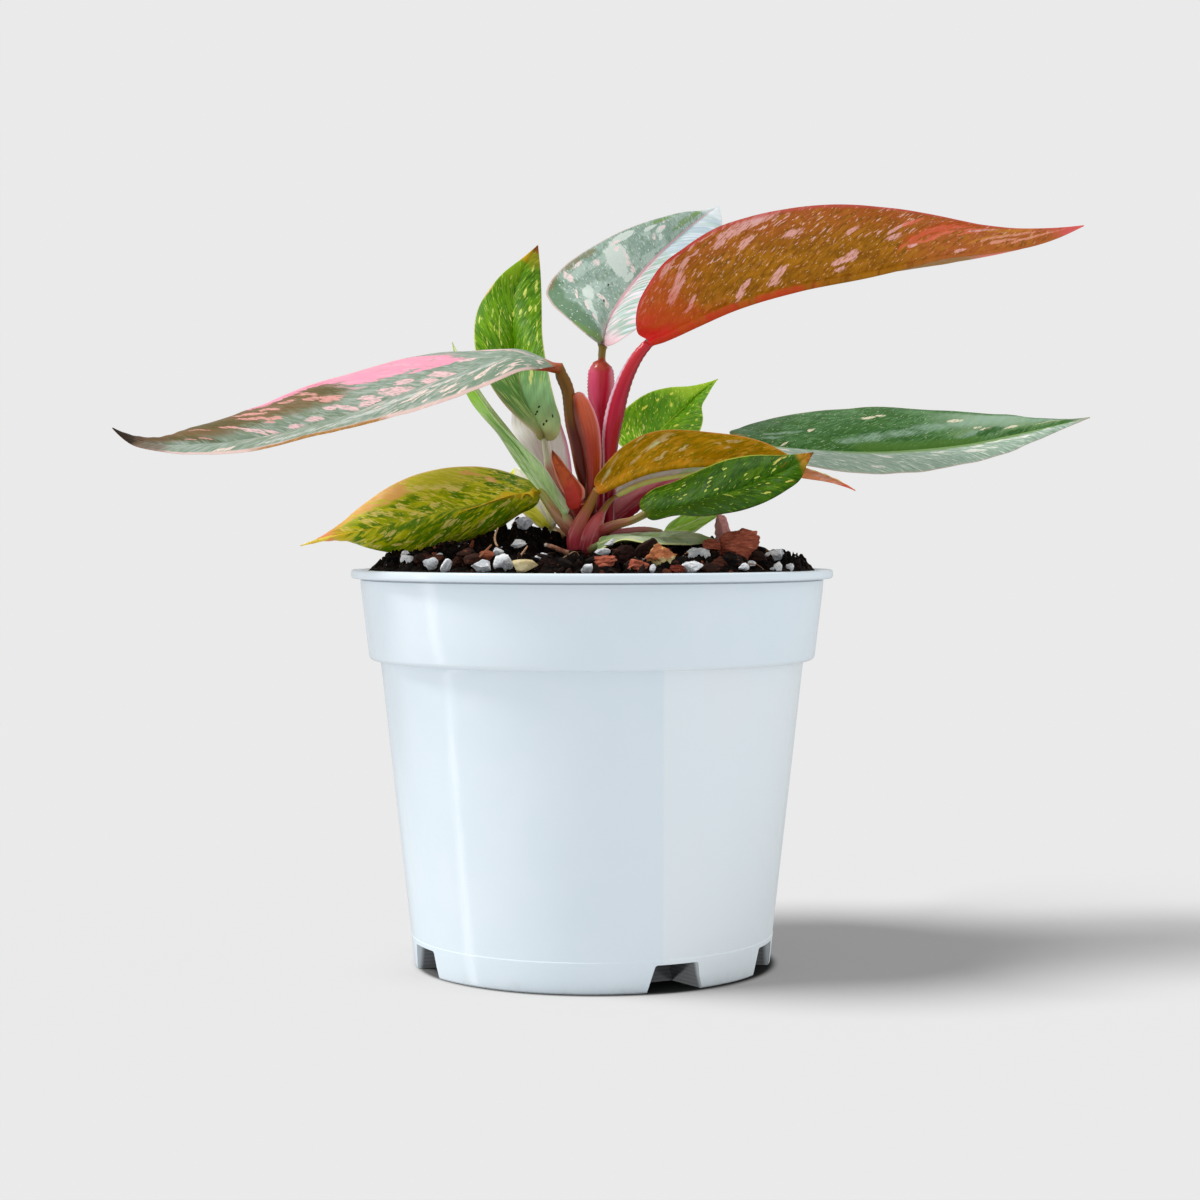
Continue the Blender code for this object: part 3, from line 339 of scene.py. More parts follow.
def leaf_mesh(spec, rows=110, half_cols=22, stalk_rows=36, wave=0.5, quilt=0.1, vein_gap=6.0, seed=1, thick=0.36, rib=1.0, tip=0.997, camber=0.32):
    """Points, faces and attributes of a whole leaf: foot of the petiole first, tip of the blade last.
    leaf: along the blade 0 to 1 (petiole: -1 to 0), across it -1 to 1, side (1 upper, -1 under).
    leaf_mm: mm from the blade's base along it and from the midrib across it."""
    midrib, left, right = blade_of(spec)
    petiole = np.array([(*carry(x, z, y), r) for x, z, y, r in spec["petiole"]])
    end_r = petiole[-1, 3]
    s = np.linspace(0, 1, rows + 1)
    u = np.clip(0.45 * s + 0.55 * (0.5 - 0.5 * np.cos(math.pi * s)), 0.0, 1.0) * tip
    mid, lo, ro = curve(midrib, u), curve(left, u), curve(right, u)
    half_v = (np.arange(half_cols + 1) / half_cols) ** 1.45 * 0.965
    half_v = np.concatenate([half_v, [0.985, 0.996, 1.0]])
    across = np.concatenate([-half_v[::-1], half_v[1:]])
    cols = len(across) - 1
    centre = cols // 2
    a = np.abs(across)[None, :, None]
    edge = np.where((across < 0)[None, :, None], lo[:, None], ro[:, None])
    grid = mid[:, None] + (edge - mid[:, None]) * a
    wl, wr = np.linalg.norm(lo - mid, axis=1), np.linalg.norm(ro - mid, axis=1)
    length = np.linalg.norm(np.diff(mid, axis=0), axis=1).sum()
    s_mm = np.concatenate([[0.0], np.cumsum(np.linalg.norm(np.diff(mid, axis=0), axis=1))])
    t_mm = across[None, :] * np.where(across[None, :] < 0, wl[:, None], wr[:, None])
    half = 0.5 * (wl + wr)
    S = np.repeat(s_mm[:, None], cols + 1, 1)
    q = S - 0.9 * np.abs(t_mm)
    av = np.abs(across)[None, :]
    fade = smooth(u, 0.0, 0.08)[:, None] * (1 - smooth(u, 0.93, 1.0))[:, None]
    n = surface_normals(grid)
    off = camber * half[:, None] * av * (1 - av)
    off = off - quilt * np.cos(2 * math.pi * (q / vein_gap + 0.25 * np.sign(across)[None, :])) * smooth(av, 0.05, 0.3) * (1 - smooth(av, 0.85, 1.0)) * fade
    off = off + wave * fade * av * noise2(S / 17 + 5 * np.sign(across)[None, :], av * 1.6, seed)
    off = off + 0.35 * wave * fade * av**2 * noise2(S / 6 + 9 * np.sign(across)[None, :], av * 2.0, seed + 3)
    off = off - 0.22 * np.exp(-((t_mm / 0.8) ** 2)) * fade
    grid = grid + n * off[:, :, None]
    n = surface_normals(grid)
    body = thick * (1 - 0.35 * av) * np.sqrt(np.clip(1 - av**14, 0, 1)) * (1 - 0.5 * smooth(u, 0.85, 1.0))[:, None]
    rib_r = end_r * rib * (1.1 * (1 - u) ** 1.4 + 0.10)
    o = np.abs(t_mm) / (1.5 * rib_r[:, None] + 0.1)
    keel = rib_r[:, None] * np.clip(1 - o * o, 0, 1) ** 1.5 * (1 - smooth(u, 0.9, 1.0))[:, None]
    top = grid + n * body[:, :, None]
    low = grid - n * (body + keel)[:, :, None]
    turn = math.pi - math.pi * np.arange(cols + 1) / cols
    side = ro - lo
    side[0] = side[1]
    side /= np.maximum(np.linalg.norm(side, axis=1, keepdims=True), 1e-9)
    n_mid = n[:, centre]
    part = (np.clip(1 - u / BLEND_TO, 0, 1) ** 2)[:, None, None]
    c, sn = np.cos(turn)[None, :, None], np.sin(turn)[None, :, None]
    round_up = mid[:, None] + end_r * (side[:, None] * c + n_mid[:, None] * sn)
    round_low = mid[:, None] + end_r * (side[:, None] * c - n_mid[:, None] * sn)
    top = top * (1 - part) + round_up * part
    low = low * (1 - part) + round_low * part
    rings = np.concatenate([top, low[:, -2:0:-1]], axis=1)
    U = np.repeat(u[:, None], cols + 1, 1)
    V = np.repeat(across[None, :], rows + 1, 0)
    up_side, low_side = np.ones_like(U), -np.ones_like(U)
    up_side[:, 0] = up_side[:, -1] = 0
    leaf = np.concatenate([np.stack([U, V, up_side], -1), np.stack([U, V, low_side], -1)[:, -2:0:-1]], axis=1)
    mm = np.stack([S, t_mm, U * 0], -1)
    leaf_mm = np.concatenate([mm, mm[:, -2:0:-1]], axis=1)

    # petiole
    t = np.linspace(0, 1, stalk_rows + 1)
    stalk = curve(petiole, t)
    path = np.vstack([stalk[:, :3], mid[2:5:2]])
    tangents = [unit(path[min(i + 1, len(path) - 1)] - path[max(i - 1, 0)]) for i in range(len(path))]
    forward = unit(mid[2] - mid[0])
    mean_side = rings[3, cols] - rings[3, 0]
    sd = unit(mean_side - forward * (mean_side @ forward))
    K = rings.shape[1]
    angle = math.pi - math.pi * np.arange(K) / cols
    stalk_len = np.linalg.norm(np.diff(stalk[:, :3], axis=0), axis=1).sum()
    out, out_leaf, out_mm = [], [], []
    for i in range(stalk_rows, -1, -1):
        sd = unit(sd - tangents[i] * (sd @ tangents[i]))
        up = np.cross(sd, tangents[i])
        r = max(stalk[i, 3], 0.5)
        wobble = 1 + 0.03 * math.sin(3.1 * i + seed)
        out.append(stalk[i, :3] + r * wobble * (np.cos(angle)[:, None] * sd + np.sin(angle)[:, None] * up))
        out_leaf.append(np.stack([np.full(K, t[i] - 1), np.cos(angle), np.sign(np.sin(angle) + 1e-9)], -1))
        out_mm.append(np.stack([np.full(K, -(1 - t[i]) * stalk_len), r * angle, np.ones(K)], -1))
    out, out_leaf, out_mm = np.array(out[::-1]), np.array(out_leaf[::-1]), np.array(out_mm[::-1])
    points = np.concatenate([out[:-1], rings]).reshape(-1, 3)
    leaf = np.concatenate([out_leaf[:-1], leaf]).reshape(-1, 3)
    leaf_mm = np.concatenate([out_mm[:-1], leaf_mm]).reshape(-1, 3)
    return points, strip_faces(stalk_rows + rows + 1, K), {"leaf": leaf, "leaf_mm": leaf_mm}


def tube(path, sides, rows=None, squash=1.0, up=(0.0, 0.0, 1.0), ends=True):
    """A round tube through (x, y, z, r) points, with domed ends, and its attributes."""
    path = np.asarray(path, float)
    if rows:
        path = curve(path, np.linspace(0, 1, rows))
    pts, rad = path[:, :3], path[:, 3]
    if ends:
        a, b = unit(pts[0] - pts[1]), unit(pts[-1] - pts[-2])
        caps0 = [(pts[0] + a * rad[0] * math.sin(x), rad[0] * math.cos(x)) for x in (1.35, 1.0, 0.6, 0.3)]
        caps1 = [(pts[-1] + b * rad[-1] * math.sin(x), rad[-1] * math.cos(x)) for x in (0.3, 0.6, 1.0, 1.35)]
        pts = np.vstack([[c[0] for c in caps0], pts, [c[0] for c in caps1]])
        rad = np.concatenate([[c[1] for c in caps0], rad, [c[1] for c in caps1]])
    side = np.array(up, float)
    angle = 2 * math.pi * np.arange(sides) / sides
    rings, leaf = [], []
    total = max(len(pts) - 1, 1)
    for i, (p, r) in enumerate(zip(pts, rad)):
        ahead = unit(pts[min(i + 1, len(pts) - 1)] - pts[max(i - 1, 0)])
        side = unit(side - ahead * (side @ ahead))
        other = np.cross(ahead, side)
        rings.append(p + r * (np.cos(angle)[:, None] * side + squash * np.sin(angle)[:, None] * other))
        leaf.append(np.stack([np.full(sides, i / total), np.cos(angle), np.sin(angle)], -1))
    return np.array(rings).reshape(-1, 3), strip_faces(len(pts), sides), {"leaf": np.array(leaf).reshape(-1, 3)}

# ---------------------------------------------------------------- pot
def turned(profile, angles):
    rings = []
    a = np.asarray(angles)
    for p in profile:
        r, z = p[0], p[1]
        extra = p[2] if len(p) > 2 else 0.0
        k = r + extra * panel(a)
        rings.append(np.stack([k * np.cos(a), k * np.sin(a), np.full(a.shape, z)], -1))
    return np.array(rings).reshape(-1, 3), strip_faces(len(profile), len(a))


CREASES = (18.5, 58.0, -58.0, 138.0, 198.0, 258.0)  # parting lines of the mould, degrees from the front


def panel(a):
    """How far the wall stands out near a parting line: it falls away evenly on both sides."""
    out = np.zeros_like(a)
    for c in CREASES:
        at = math.radians(c - 90)
        d = np.abs((a - at + math.pi) % (2 * math.pi) - math.pi)
        out = np.maximum(out, 1 - d / math.radians(11))
    return np.clip(out, 0, 1)


def pot_angles(count):
    a = list(2 * math.pi * np.arange(count) / count)
    for c in CREASES:
        a.append(math.radians(c - 90) % (2 * math.pi))
    return sorted(a)


def rounded(profile, radius, steps=4):
    """The profile with each corner that has a radius turned into an arc. radius: {index: r}."""
    out = []
    for i, p in enumerate(profile):
        r = radius.get(i)
        if not r:
            out.append(tuple(p))
            continue
        p0, p1, p2 = (np.array(profile[k][:2], float) for k in (i - 1, i, i + 1))
        a, b = unit(p0 - p1), unit(p2 - p1)
        half = 0.5 * math.acos(np.clip(a @ b, -1, 1))
        reach = r / math.tan(half)
        c = p1 + unit(a + b) * r / math.sin(half)
        s, e = p1 + a * reach, p1 + b * reach
        a0, a1 = math.atan2(*(s - c)[::-1]), math.atan2(*(e - c)[::-1])
        d = (a1 - a0 + math.pi) % (2 * math.pi) - math.pi
        for k in range(steps + 1):
            t = a0 + d * k / steps
            out.append((c[0] + r * math.cos(t), c[1] + r * math.sin(t), *p[2:]))
    return out


def plain_object(name, points, faces):
    mesh = bpy.data.meshes.new(name)
    mesh.from_pydata((np.asarray(points) * 0.001).tolist(), [], [tuple(f) for f in faces])
    bm = bmesh.new()
    bm.from_mesh(mesh)
    bmesh.ops.recalc_face_normals(bm, faces=bm.faces)
    if bm.calc_volume(signed=True) < 0:
        bmesh.ops.reverse_faces(bm, faces=bm.faces)
    bm.to_mesh(mesh)
    bm.free()
    obj = bpy.data.objects.new(name, mesh)
    bpy.context.scene.collection.objects.link(obj)
    return obj


def notch_solid(angle, grow=0.0, round_r=0.0):
    """The space of one drainage notch: radial side walls, and a roof with rounded corners."""
    a = math.radians(angle)
    out_dir = np.array((math.sin(a), -math.cos(a), 0.0))
    side = np.array((math.cos(a), math.sin(a), 0.0))
    rings = []
    top = NOTCH_H + grow
    for r in (NOTCH_IN_R - grow, FOOT_R + 8.0):
        foot, roof = 0.5 * (NOTCH_FOOT_W + 2) * r / FOOT_R + grow, 0.5 * NOTCH_ROOF_W * r / FOOT_R + grow
        outline = [(-foot, -3.0), (foot, -3.0), (roof, top), (-roof, top)]
        if round_r:
            closed = [outline[-1], *outline, outline[0]]
            fine = rounded(closed, {3: round_r, 4: round_r}, 4)[1:-1]
            outline = fine
        rings.append([out_dir * r + side * w + np.array((0, 0, z)) for w, z in outline])
    count = len(rings[0])
    return np.array(rings).reshape(-1, 3), strip_faces(2, count)


def cut_from(obj, tool):
    mod = obj.modifiers.new("cut", "BOOLEAN")
    mod.operation, mod.solver, mod.object = "DIFFERENCE", "EXACT", tool


def build_pot(mat):
    angles = pot_angles(288)
    outer = rounded(
        [
            (0.5, 0.0), (FOOT_R, 0.0), (FOOT_R + 1.06, 9.4), (FOOT_R + 0.92, 9.7), (BODY_TOP_R - 4, STEP_Z - 36, 0.25),
            (BODY_TOP_R - 0.3, STEP_Z - 2.0, 0.25), (BODY_TOP_R + 0.2, STEP_Z - 0.3, 0.1), (BAND_LOW_R - 0.2, STEP_Z - 0.1),
            (BAND_LOW_R + 0.75, STEP_Z + 8, 0.12), (BAND_TOP_R - 0.3, POT_HEIGHT - LIP_H - 4, 0.12), (BAND_TOP_R - 0.05, POT_HEIGHT - LIP_H - 0.55), (BAND_TOP_R - 0.4, POT_HEIGHT - LIP_H - 0.3), (BAND_TOP_R - 0.4, POT_HEIGHT - LIP_H), (RIM_R, POT_HEIGHT - LIP_H), (RIM_R, POT_HEIGHT), (0.5, POT_HEIGHT),
        ],
        {1: 0.7, 6: 0.6, 7: 1.6, 13: 0.9, 14: 0.8},
    )
    pot = plain_object("nursery_pot_fine", *turned(outer, angles))
    foot = FOOT_R + (BODY_TOP_R - FOOT_R) * FLOOR / STEP_Z
    inner = [
        (0.5, FLOOR), (foot - WALL, FLOOR), (BODY_TOP_R - WALL, STEP_Z + WALL), (BAND_LOW_R - WALL, STEP_Z + WALL),
        (BAND_TOP_R - WALL, POT_HEIGHT - 2.0), (BAND_TOP_R - WALL + 0.5, POT_HEIGHT - 0.7), (BAND_TOP_R - WALL + 1.6, POT_HEIGHT + 0.3),
        (BAND_TOP_R - WALL + 1.6, POT_HEIGHT + 5.0), (0.5, POT_HEIGHT + 5.0),
    ]
    hollow = plain_object("tool_hollow", *turned(inner, angles))
    tools = [hollow]
    for i, angle in enumerate(NOTCH_AT):
        casing = plain_object(f"tool_casing_{i}", *notch_solid(angle, WALL))
        cut_from(hollow, casing)
        tools.append(casing)
    cut_from(pot, hollow)
    for i, angle in enumerate(NOTCH_AT):
        notch = plain_object(f"tool_notch_{i}", *notch_solid(angle, 0.0, 1.0))
        a = math.radians(angle)
        x, y = DRAIN_AT_R * math.sin(a), -DRAIN_AT_R * math.cos(a)
        k = 2 * math.pi * np.arange(32) / 32
        rings = [np.stack([x + DRAIN_R * np.cos(k), y + DRAIN_R * np.sin(k), np.full(32, z)], -1) for z in (NOTCH_H - 2, NOTCH_H + WALL + 2)]
        hole = plain_object(f"tool_drain_{i}", np.array(rings).reshape(-1, 3), strip_faces(2, 32))
        for tool in (notch, hole):
            cut_from(pot, tool)
            tools.append(tool)
    bpy.context.view_layer.update()
    done = bpy.data.meshes.new_from_object(pot.evaluated_get(bpy.context.evaluated_depsgraph_get()))
    for tool in tools:
        bpy.data.objects.remove(tool, do_unlink=True)
    pot.modifiers.clear()
    pot.data = done
    done.materials.clear()
    done.materials.append(mat)
    done.shade_smooth()
    done.set_sharp_from_angle(angle=math.radians(28))
    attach(pot, "root")
    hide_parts("nursery_pot")
    return pot

# ---------------------------------------------------------------- potting mix
def heap(x, y):
    """The mix is a little under the rim at the wall and heaped inside, most on the left and least in front."""
    x, y = np.asarray(x, float), np.asarray(y, float)
    r = np.hypot(x, y)
    safe = np.maximum(r, 1e-6)
    cx, cy = x / safe, y / safe
    around = 7.8 - 0.3 * cx + 3.2 * cy + 1.3 * (cx * cx - cy * cy)
    k = np.minimum(1.0, r / 22.0)
    amount = 4.8 * (1 - k) + around * k
    mound = 5.4 * np.exp(-(((x + 23.0) / 8.5) ** 2 + ((y + 1.0) / 11.0) ** 2)) + 2.2 * np.exp(-(((x + 10.0) / 7.0) ** 2 + ((y - 5.0) / 8.0) ** 2))
    return MIX_LEVEL - 0.2 + amount * np.clip(1 - (r / 70.6) ** 2, 0, 1) ** 0.62 + mound


def crumbs(x, y):
    """The lumps of the surface, in three sizes."""
    out = 0
    for size, deep, seed in ((8.2, 3.9, 3), (4.2, 3.0, 5), (1.9, 1.5, 9)):
        d, e, n = cells(x + 0.5 * noise2(x / 2.5, y / 2.5, seed), y + 0.5 * noise2(x / 2.5, y / 2.5, seed + 1), size, seed)
        out = out + deep * (0.25 + 0.75 * n) * (smooth(e - d, 0.0, 0.35) - 0.45)
    return out


def surface(x, y):
    r = np.hypot(x, y)
    front = smooth(-y / np.maximum(r, 1e-6), 0.35, 0.8)
    return heap(x, y) + crumbs(x, y) * (1 - smooth(r, 66.0 - 9.0 * front, 70.2 - 2.0 * front))


def build_mix(mat):
    count = 420
    a = 2 * math.pi * np.arange(count) / count
    foot = FOOT_R + (BODY_TOP_R - FOOT_R) * FLOOR / STEP_Z
    walls = [(40.0, FLOOR + 10.0), (foot + 0.6 - WALL - 0.3, FLOOR + 10.0), (BODY_TOP_R - WALL - 0.3, STEP_Z + 1.5), (BAND_LOW_R - WALL - 0.3, STEP_Z + 1.5), (BAND_TOP_R - WALL - 0.35, MIX_LEVEL - 1.8)]
    rings = [np.stack([r * np.cos(a), r * np.sin(a), np.full(count, z)], -1) for r, z in walls]
    radii = np.concatenate([[70.55], np.linspace(70.2, 0.7, 120)])
    for r in radii:
        x, y = r * np.cos(a), r * np.sin(a)
        rings.append(np.stack([x, y, surface(x, y)], -1))
    points = np.array(rings).reshape(-1, 3)
    return new_piece("potting_mix_fine", points, strip_faces(len(rings), count), ("potting_mix",), smooth=0, mat=mat)


ICO = {}


def ico(level):
    if level not in ICO:
        bm = bmesh.new()
        bmesh.ops.create_icosphere(bm, subdivisions=level, radius=1.0)
        ICO[level] = (np.array([v.co[:] for v in bm.verts]), [tuple(v.index for v in f.verts) for f in bm.faces])
        bm.free()
    return ICO[level]


def turn_about(axis, angle):
    x, y, z = axis / np.linalg.norm(axis)
    c, s = math.cos(angle), math.sin(angle)
    return np.array(
        [
            [c + x * x * (1 - c), x * y * (1 - c) - z * s, x * z * (1 - c) + y * s],
            [y * x * (1 - c) + z * s, c + y * y * (1 - c), y * z * (1 - c) - x * s],
            [z * x * (1 - c) - y * s, z * y * (1 - c) + x * s, c + z * z * (1 - c)],
        ]
    )


def broken_block(rng, level, planes=9, rough=0.06):
    """A unit grain broken along flat faces: a ball cut back to random planes, then roughened."""
    d, faces = ico(level)
    reach = np.full(len(d), 1.0)
    for _ in range(planes):
        n = unit(np.array([rng.gauss(0, 1) for _ in range(3)]))
        far = rng.uniform(0.5, 0.85)
        c = d @ n
        reach = np.minimum(reach, np.where(c > 0.05, far / np.maximum(c, 0.05), 9.0))
    p = d * reach[:, None]
    k = rng.uniform(0, 50)
    bumps = noise2(p[:, 0] * 3 + k, p[:, 1] * 3 + p[:, 2] * 2, 1) + 0.5 * noise2(p[:, 1] * 7 + k, p[:, 2] * 7 - p[:, 0] * 5, 2)
    return p * (1 + rough * bumps)[:, None], faces


def grain(name, spec, mat, slot, kind, stands_for=None):
    x, z, depth, size, turn, seed = spec[:6]
    rng = random.Random(seed)
    level = 5
    if kind == "perlite":
        p, faces = broken_block(rng, level, planes=10, rough=0.05)
        k = seed * 3.7
        lumps = noise2(p[:, 0] * 5 + k, p[:, 1] * 5 - p[:, 2] * 4, 5) * 0.05 + noise2(p[:, 1] * 13 + k, p[:, 2] * 13 + p[:, 0] * 9, 6) * 0.025
        p = p * (1 + lumps)[:, None]
    elif kind == "bark":
        p, faces = broken_block(rng, level, planes=12, rough=0.07)
        layers = 0.05 * np.sin(p[:, 2] * 16 + 4 * noise2(p[:, 0] * 2, p[:, 1] * 2, seed)) + 0.03 * noise2(p[:, 0] * 12, p[:, 2] * 22, seed)
        p = p * (1 + layers)[:, None]
    else:
        p, faces = broken_block(rng, level, planes=7, rough=0.02)
    low, high = p.min(0), p.max(0)
    p = (p - (low + high) / 2) / (high - low) * np.array(size)
    c, s = math.cos(math.radians(turn)), math.sin(math.radians(turn))
    centre = carry(x, z, depth)
    points = np.stack([c * p[:, 0] - s * p[:, 1], s * p[:, 0] + c * p[:, 1], p[:, 2]], -1) + centre
    tint = np.tile([rng.random(), rng.random(), rng.random()], (len(points), 1))
    return new_piece(name + "_fine", points, faces, (name,) if stands_for is None else stands_for, {"grain": tint}, smooth=30 if kind != "perlite" else 24, mat=mat)


GRAINS = {
    "bark_chip_large": (45.4, 129.6, -31, (12.6, 8.0, 11.4), 12, 3, "bark_red", "bark"),
    "bark_chip_red": (4.8, 124.0, -58, (7.6, 5.0, 5.6), 20, 5, "bark_red", "bark"),
    "bark_chip_small": (14.4, 123.4, -61, (6.8, 4.4, 4.6), -15, 8, "bark_red", "bark"),
    "bark_chip_dark": (40.6, 123.9, -46, (9.0, 5.0, 5.6), 25, 11, "bark_brown", "bark"),
    "wood_chip": (21.4, 126.4, -53, (9.6, 5.0, 8.4), -10, 14, "wood_pale", "bark"),
    "perlite_right": (32.6, 126.7, -36, (8.2, 5.0, 5.2), 8, 17, "perlite", "perlite"),
    "perlite_front": (31.3, 123.3, -61, (6.6, 4.6, 3.8), -20, 19, "perlite", "perlite"),
    "perlite_left": (-34.6, 123.7, -58, (5.8, 4.6, 3.8), 15, 23, "perlite", "perlite"),
    "perlite_middle": (-22.8, 130.6, -20, (5.4, 3.2, 2.8), -25, 29, "perlite", "perlite"),
    "perlite_far_left": (-57.5, 125.0, -27, (5.4, 4.6, 4.0), 30, 31, "perlite", "perlite"),
    "pumice_grey": (57.4, 126.4, -22, (6.4, 5.6, 5.0), 0, 37, "pumice", "perlite"),
    "pumice_top": (-21.6, 136.4, -4, (6.8, 5.4, 5.4), 10, 41, "pumice", "perlite"),
    "stone_cream": (-20.8, 123.6, -61, (7.6, 4.6, 4.0), -6, 43, "stone_cream", "stone"),
}

# chips beside those of the CAD
MORE_GRAINS = {
    "bark_neck": (41.0, 134.8, -24, (5.6, 4.4, 10.0), 6, 53, "bark_pink", "bark"),
    "bark_spur": (37.4, 130.4, -34, (6.0, 3.4, 3.6), -24, 59, "bark_red", "bark"),
    "bark_slab_centre": (10.0, 126.0, -50, (7.4, 4.2, 8.2), 24, 61, "bark_brown", "bark"),
    "bark_chip_front": (26.6, 122.3, -61, (5.2, 3.4, 3.4), -8, 67, "bark_red", "bark"),
    "bark_chip_left": (-41.0, 124.7, -44, (6.4, 3.6, 4.6), 32, 71, "bark_brown", "bark"),
    "bark_chip_far_left": (-51.5, 125.1, -30, (6.8, 4.0, 4.6), -18, 73, "bark_brown", "bark"),
    "bark_chip_mid_left": (-14.0, 124.1, -55, (6.0, 3.6, 4.2), 12, 79, "bark_brown", "bark"),
}

# smaller grains, listed: x and z on the elevation, depth, size, kind
SMALL_GRAINS = (
    (-1.6, 122.9, -65, 3.8, "perlite"), (3.2, 128.3, -38, 2.6, "perlite"), (5.6, 130.9, -30, 2.2, "perlite"),
    (47.4, 123.2, -50, 3.2, "perlite"), (57.8, 123.2, -36, 3.2, "perlite"), (-27.6, 124.6, -57, 4.6, "perlite"),
    (-15.8, 126.5, -52, 2.8, "perlite"), (-29.3, 128.1, -40, 3.4, "perlite"), (-45.7, 123.7, -50, 4.2, "stone"),
    (-50.4, 124.4, -46, 4.4, "stone"), (-58.2, 127.4, -16, 2.8, "perlite"), (50.2, 124.5, -43, 2.2, "perlite"), (61.6, 123.1, -30, 2.8, "perlite"), (19.1, 122.8, -63, 2.6, "perlite"),
    (44.0, 125.2, -46, 5.0, "bark"), (-39.5, 127.6, -46, 4.6, "bark"), (-33.0, 126.6, -50, 3.6, "bark"), (-8.5, 124.6, -58, 3.4, "bark"), (17.0, 129.4, -42, 6.0, "bark"),
    (-54.0, 125.6, -36, 3.6, "bark"), (9.0, 126.5, -46, 5.4, "bark"), (12.5, 123.6, -58, 5.0, "bark"),
    (36.0, 123.0, -56, 4.2, "bark"), (62.5, 124.1, -18, 4.4, "bark"), (-36.5, 125.1, -50, 4.4, "bark"),
    (2.0, 125.0, -52, 5.2, "bark"), (27.0, 125.2, -44, 4.6, "bark"), (52.0, 125.4, -34, 5.0, "bark"),
)


def scattered(name, seed, count, sizes, kinds, mat, slot, level=2, sink=0.12, hand=()):
    """Many loose grains on the mix in one piece, each a closed body of its own."""
    rng = random.Random(seed)
    all_points, all_faces, tints, base = [], [], [], 0
    spots = []
    for x, z, depth, size, kind in hand:
        if kind in kinds:
            p = carry(x, z, depth)
            spots.append((p[0], p[1], p[2], size, True))
    while len(spots) < count:
        r, a = 69.0 * math.sqrt(rng.random()), rng.uniform(0, 2 * math.pi)
        x, y = r * math.cos(a), r * math.sin(a)
        size = sizes[0] + (sizes[1] - sizes[0]) * rng.random() ** 2.2
        if math.hypot(x - STEM_AT[0], y - STEM_AT[1]) < 7 + size or r + size / 2 > 69.6:
            continue
        spots.append((x, y, None, size, False))
    for x, y, z, size, placed in spots:
        flat = "bark" in kinds and not placed
        p, faces = broken_block(rng, level + (1 if placed or size > 3.0 else 0), planes=8, rough=0.10)
        stretch = np.array([rng.uniform(0.8, 1.5), rng.uniform(0.55, 1.0), rng.uniform(0.3, 0.75) if flat else rng.uniform(0.6, 0.9)])
        rot = turn_about(np.array([rng.gauss(0, 1) for _ in range(3)]), rng.uniform(0, 3.1))
        p = (p * stretch * 0.5 * size * (1.25 if placed else 1.0)) @ rot.T
        if z is None:
            z = float(surface(np.array([x]), np.array([y]))[0]) + size * sink
        all_points.append(p + np.array((x, y, z)))
        all_faces.extend([tuple(i + base for i in f) for f in faces])
        base += len(p)
        tints.append(np.tile([rng.random(), rng.random(), rng.random()], (len(p), 1)))
    return new_piece(name, np.vstack(all_points), all_faces, None if slot is None else (), {"grain": np.vstack(tints)}, smooth=30, mat=mat)


def fibres(name, seed, count, mat, hand=()):
    """Thin threads of coir that lie on the mix and stand out of it a little."""
    rng = random.Random(seed)
    all_points, all_faces, tints, base = [], [], [], 0
    paths = [np.array([(*carry(x, z, y), r) for x, z, y, r in h]) for h in hand]
    while len(paths) < count + len(hand):
        r, a = 66.0 * math.sqrt(rng.random()), rng.uniform(0, 2 * math.pi)
        x, y = r * math.cos(a), r * math.sin(a)
        if math.hypot(x - STEM_AT[0], y - STEM_AT[1]) < 10:
            continue
        way, length, bend, rise = rng.uniform(0, 2 * math.pi), rng.uniform(4, 11), rng.uniform(-0.25, 0.25), rng.uniform(-0.3, 2.2)
        path = []
        for k in range(7):
            f = k / 6
            d = way + bend * k
            x, y = x + math.cos(d) * length / 6, y + math.sin(d) * length / 6
            if math.hypot(x, y) > 69:
                break
            z = float(surface(np.array([x]), np.array([y]))[0]) + 0.35 + rise * math.sin(math.pi * min(1.0, f * 0.9))
            path.append((x, y, z, rng.uniform(0.10, 0.24) * (1 - 0.4 * f)))
        if len(path) == 7:
            paths.append(np.array(path))
    for path in paths:
        pts, faces, _ = tube(path, 7, rows=16, up=(0.1, 0.2, 1.0))
        all_points.append(pts)
        all_faces.extend([tuple(i + base for i in f) for f in faces])
        base += len(pts)
        tints.append(np.tile([rng.random(), rng.random(), rng.random()], (len(pts), 1)))
    return new_piece(name, np.vstack(all_points), all_faces, (), {"grain": np.vstack(tints)}, smooth=60, mat=mat)

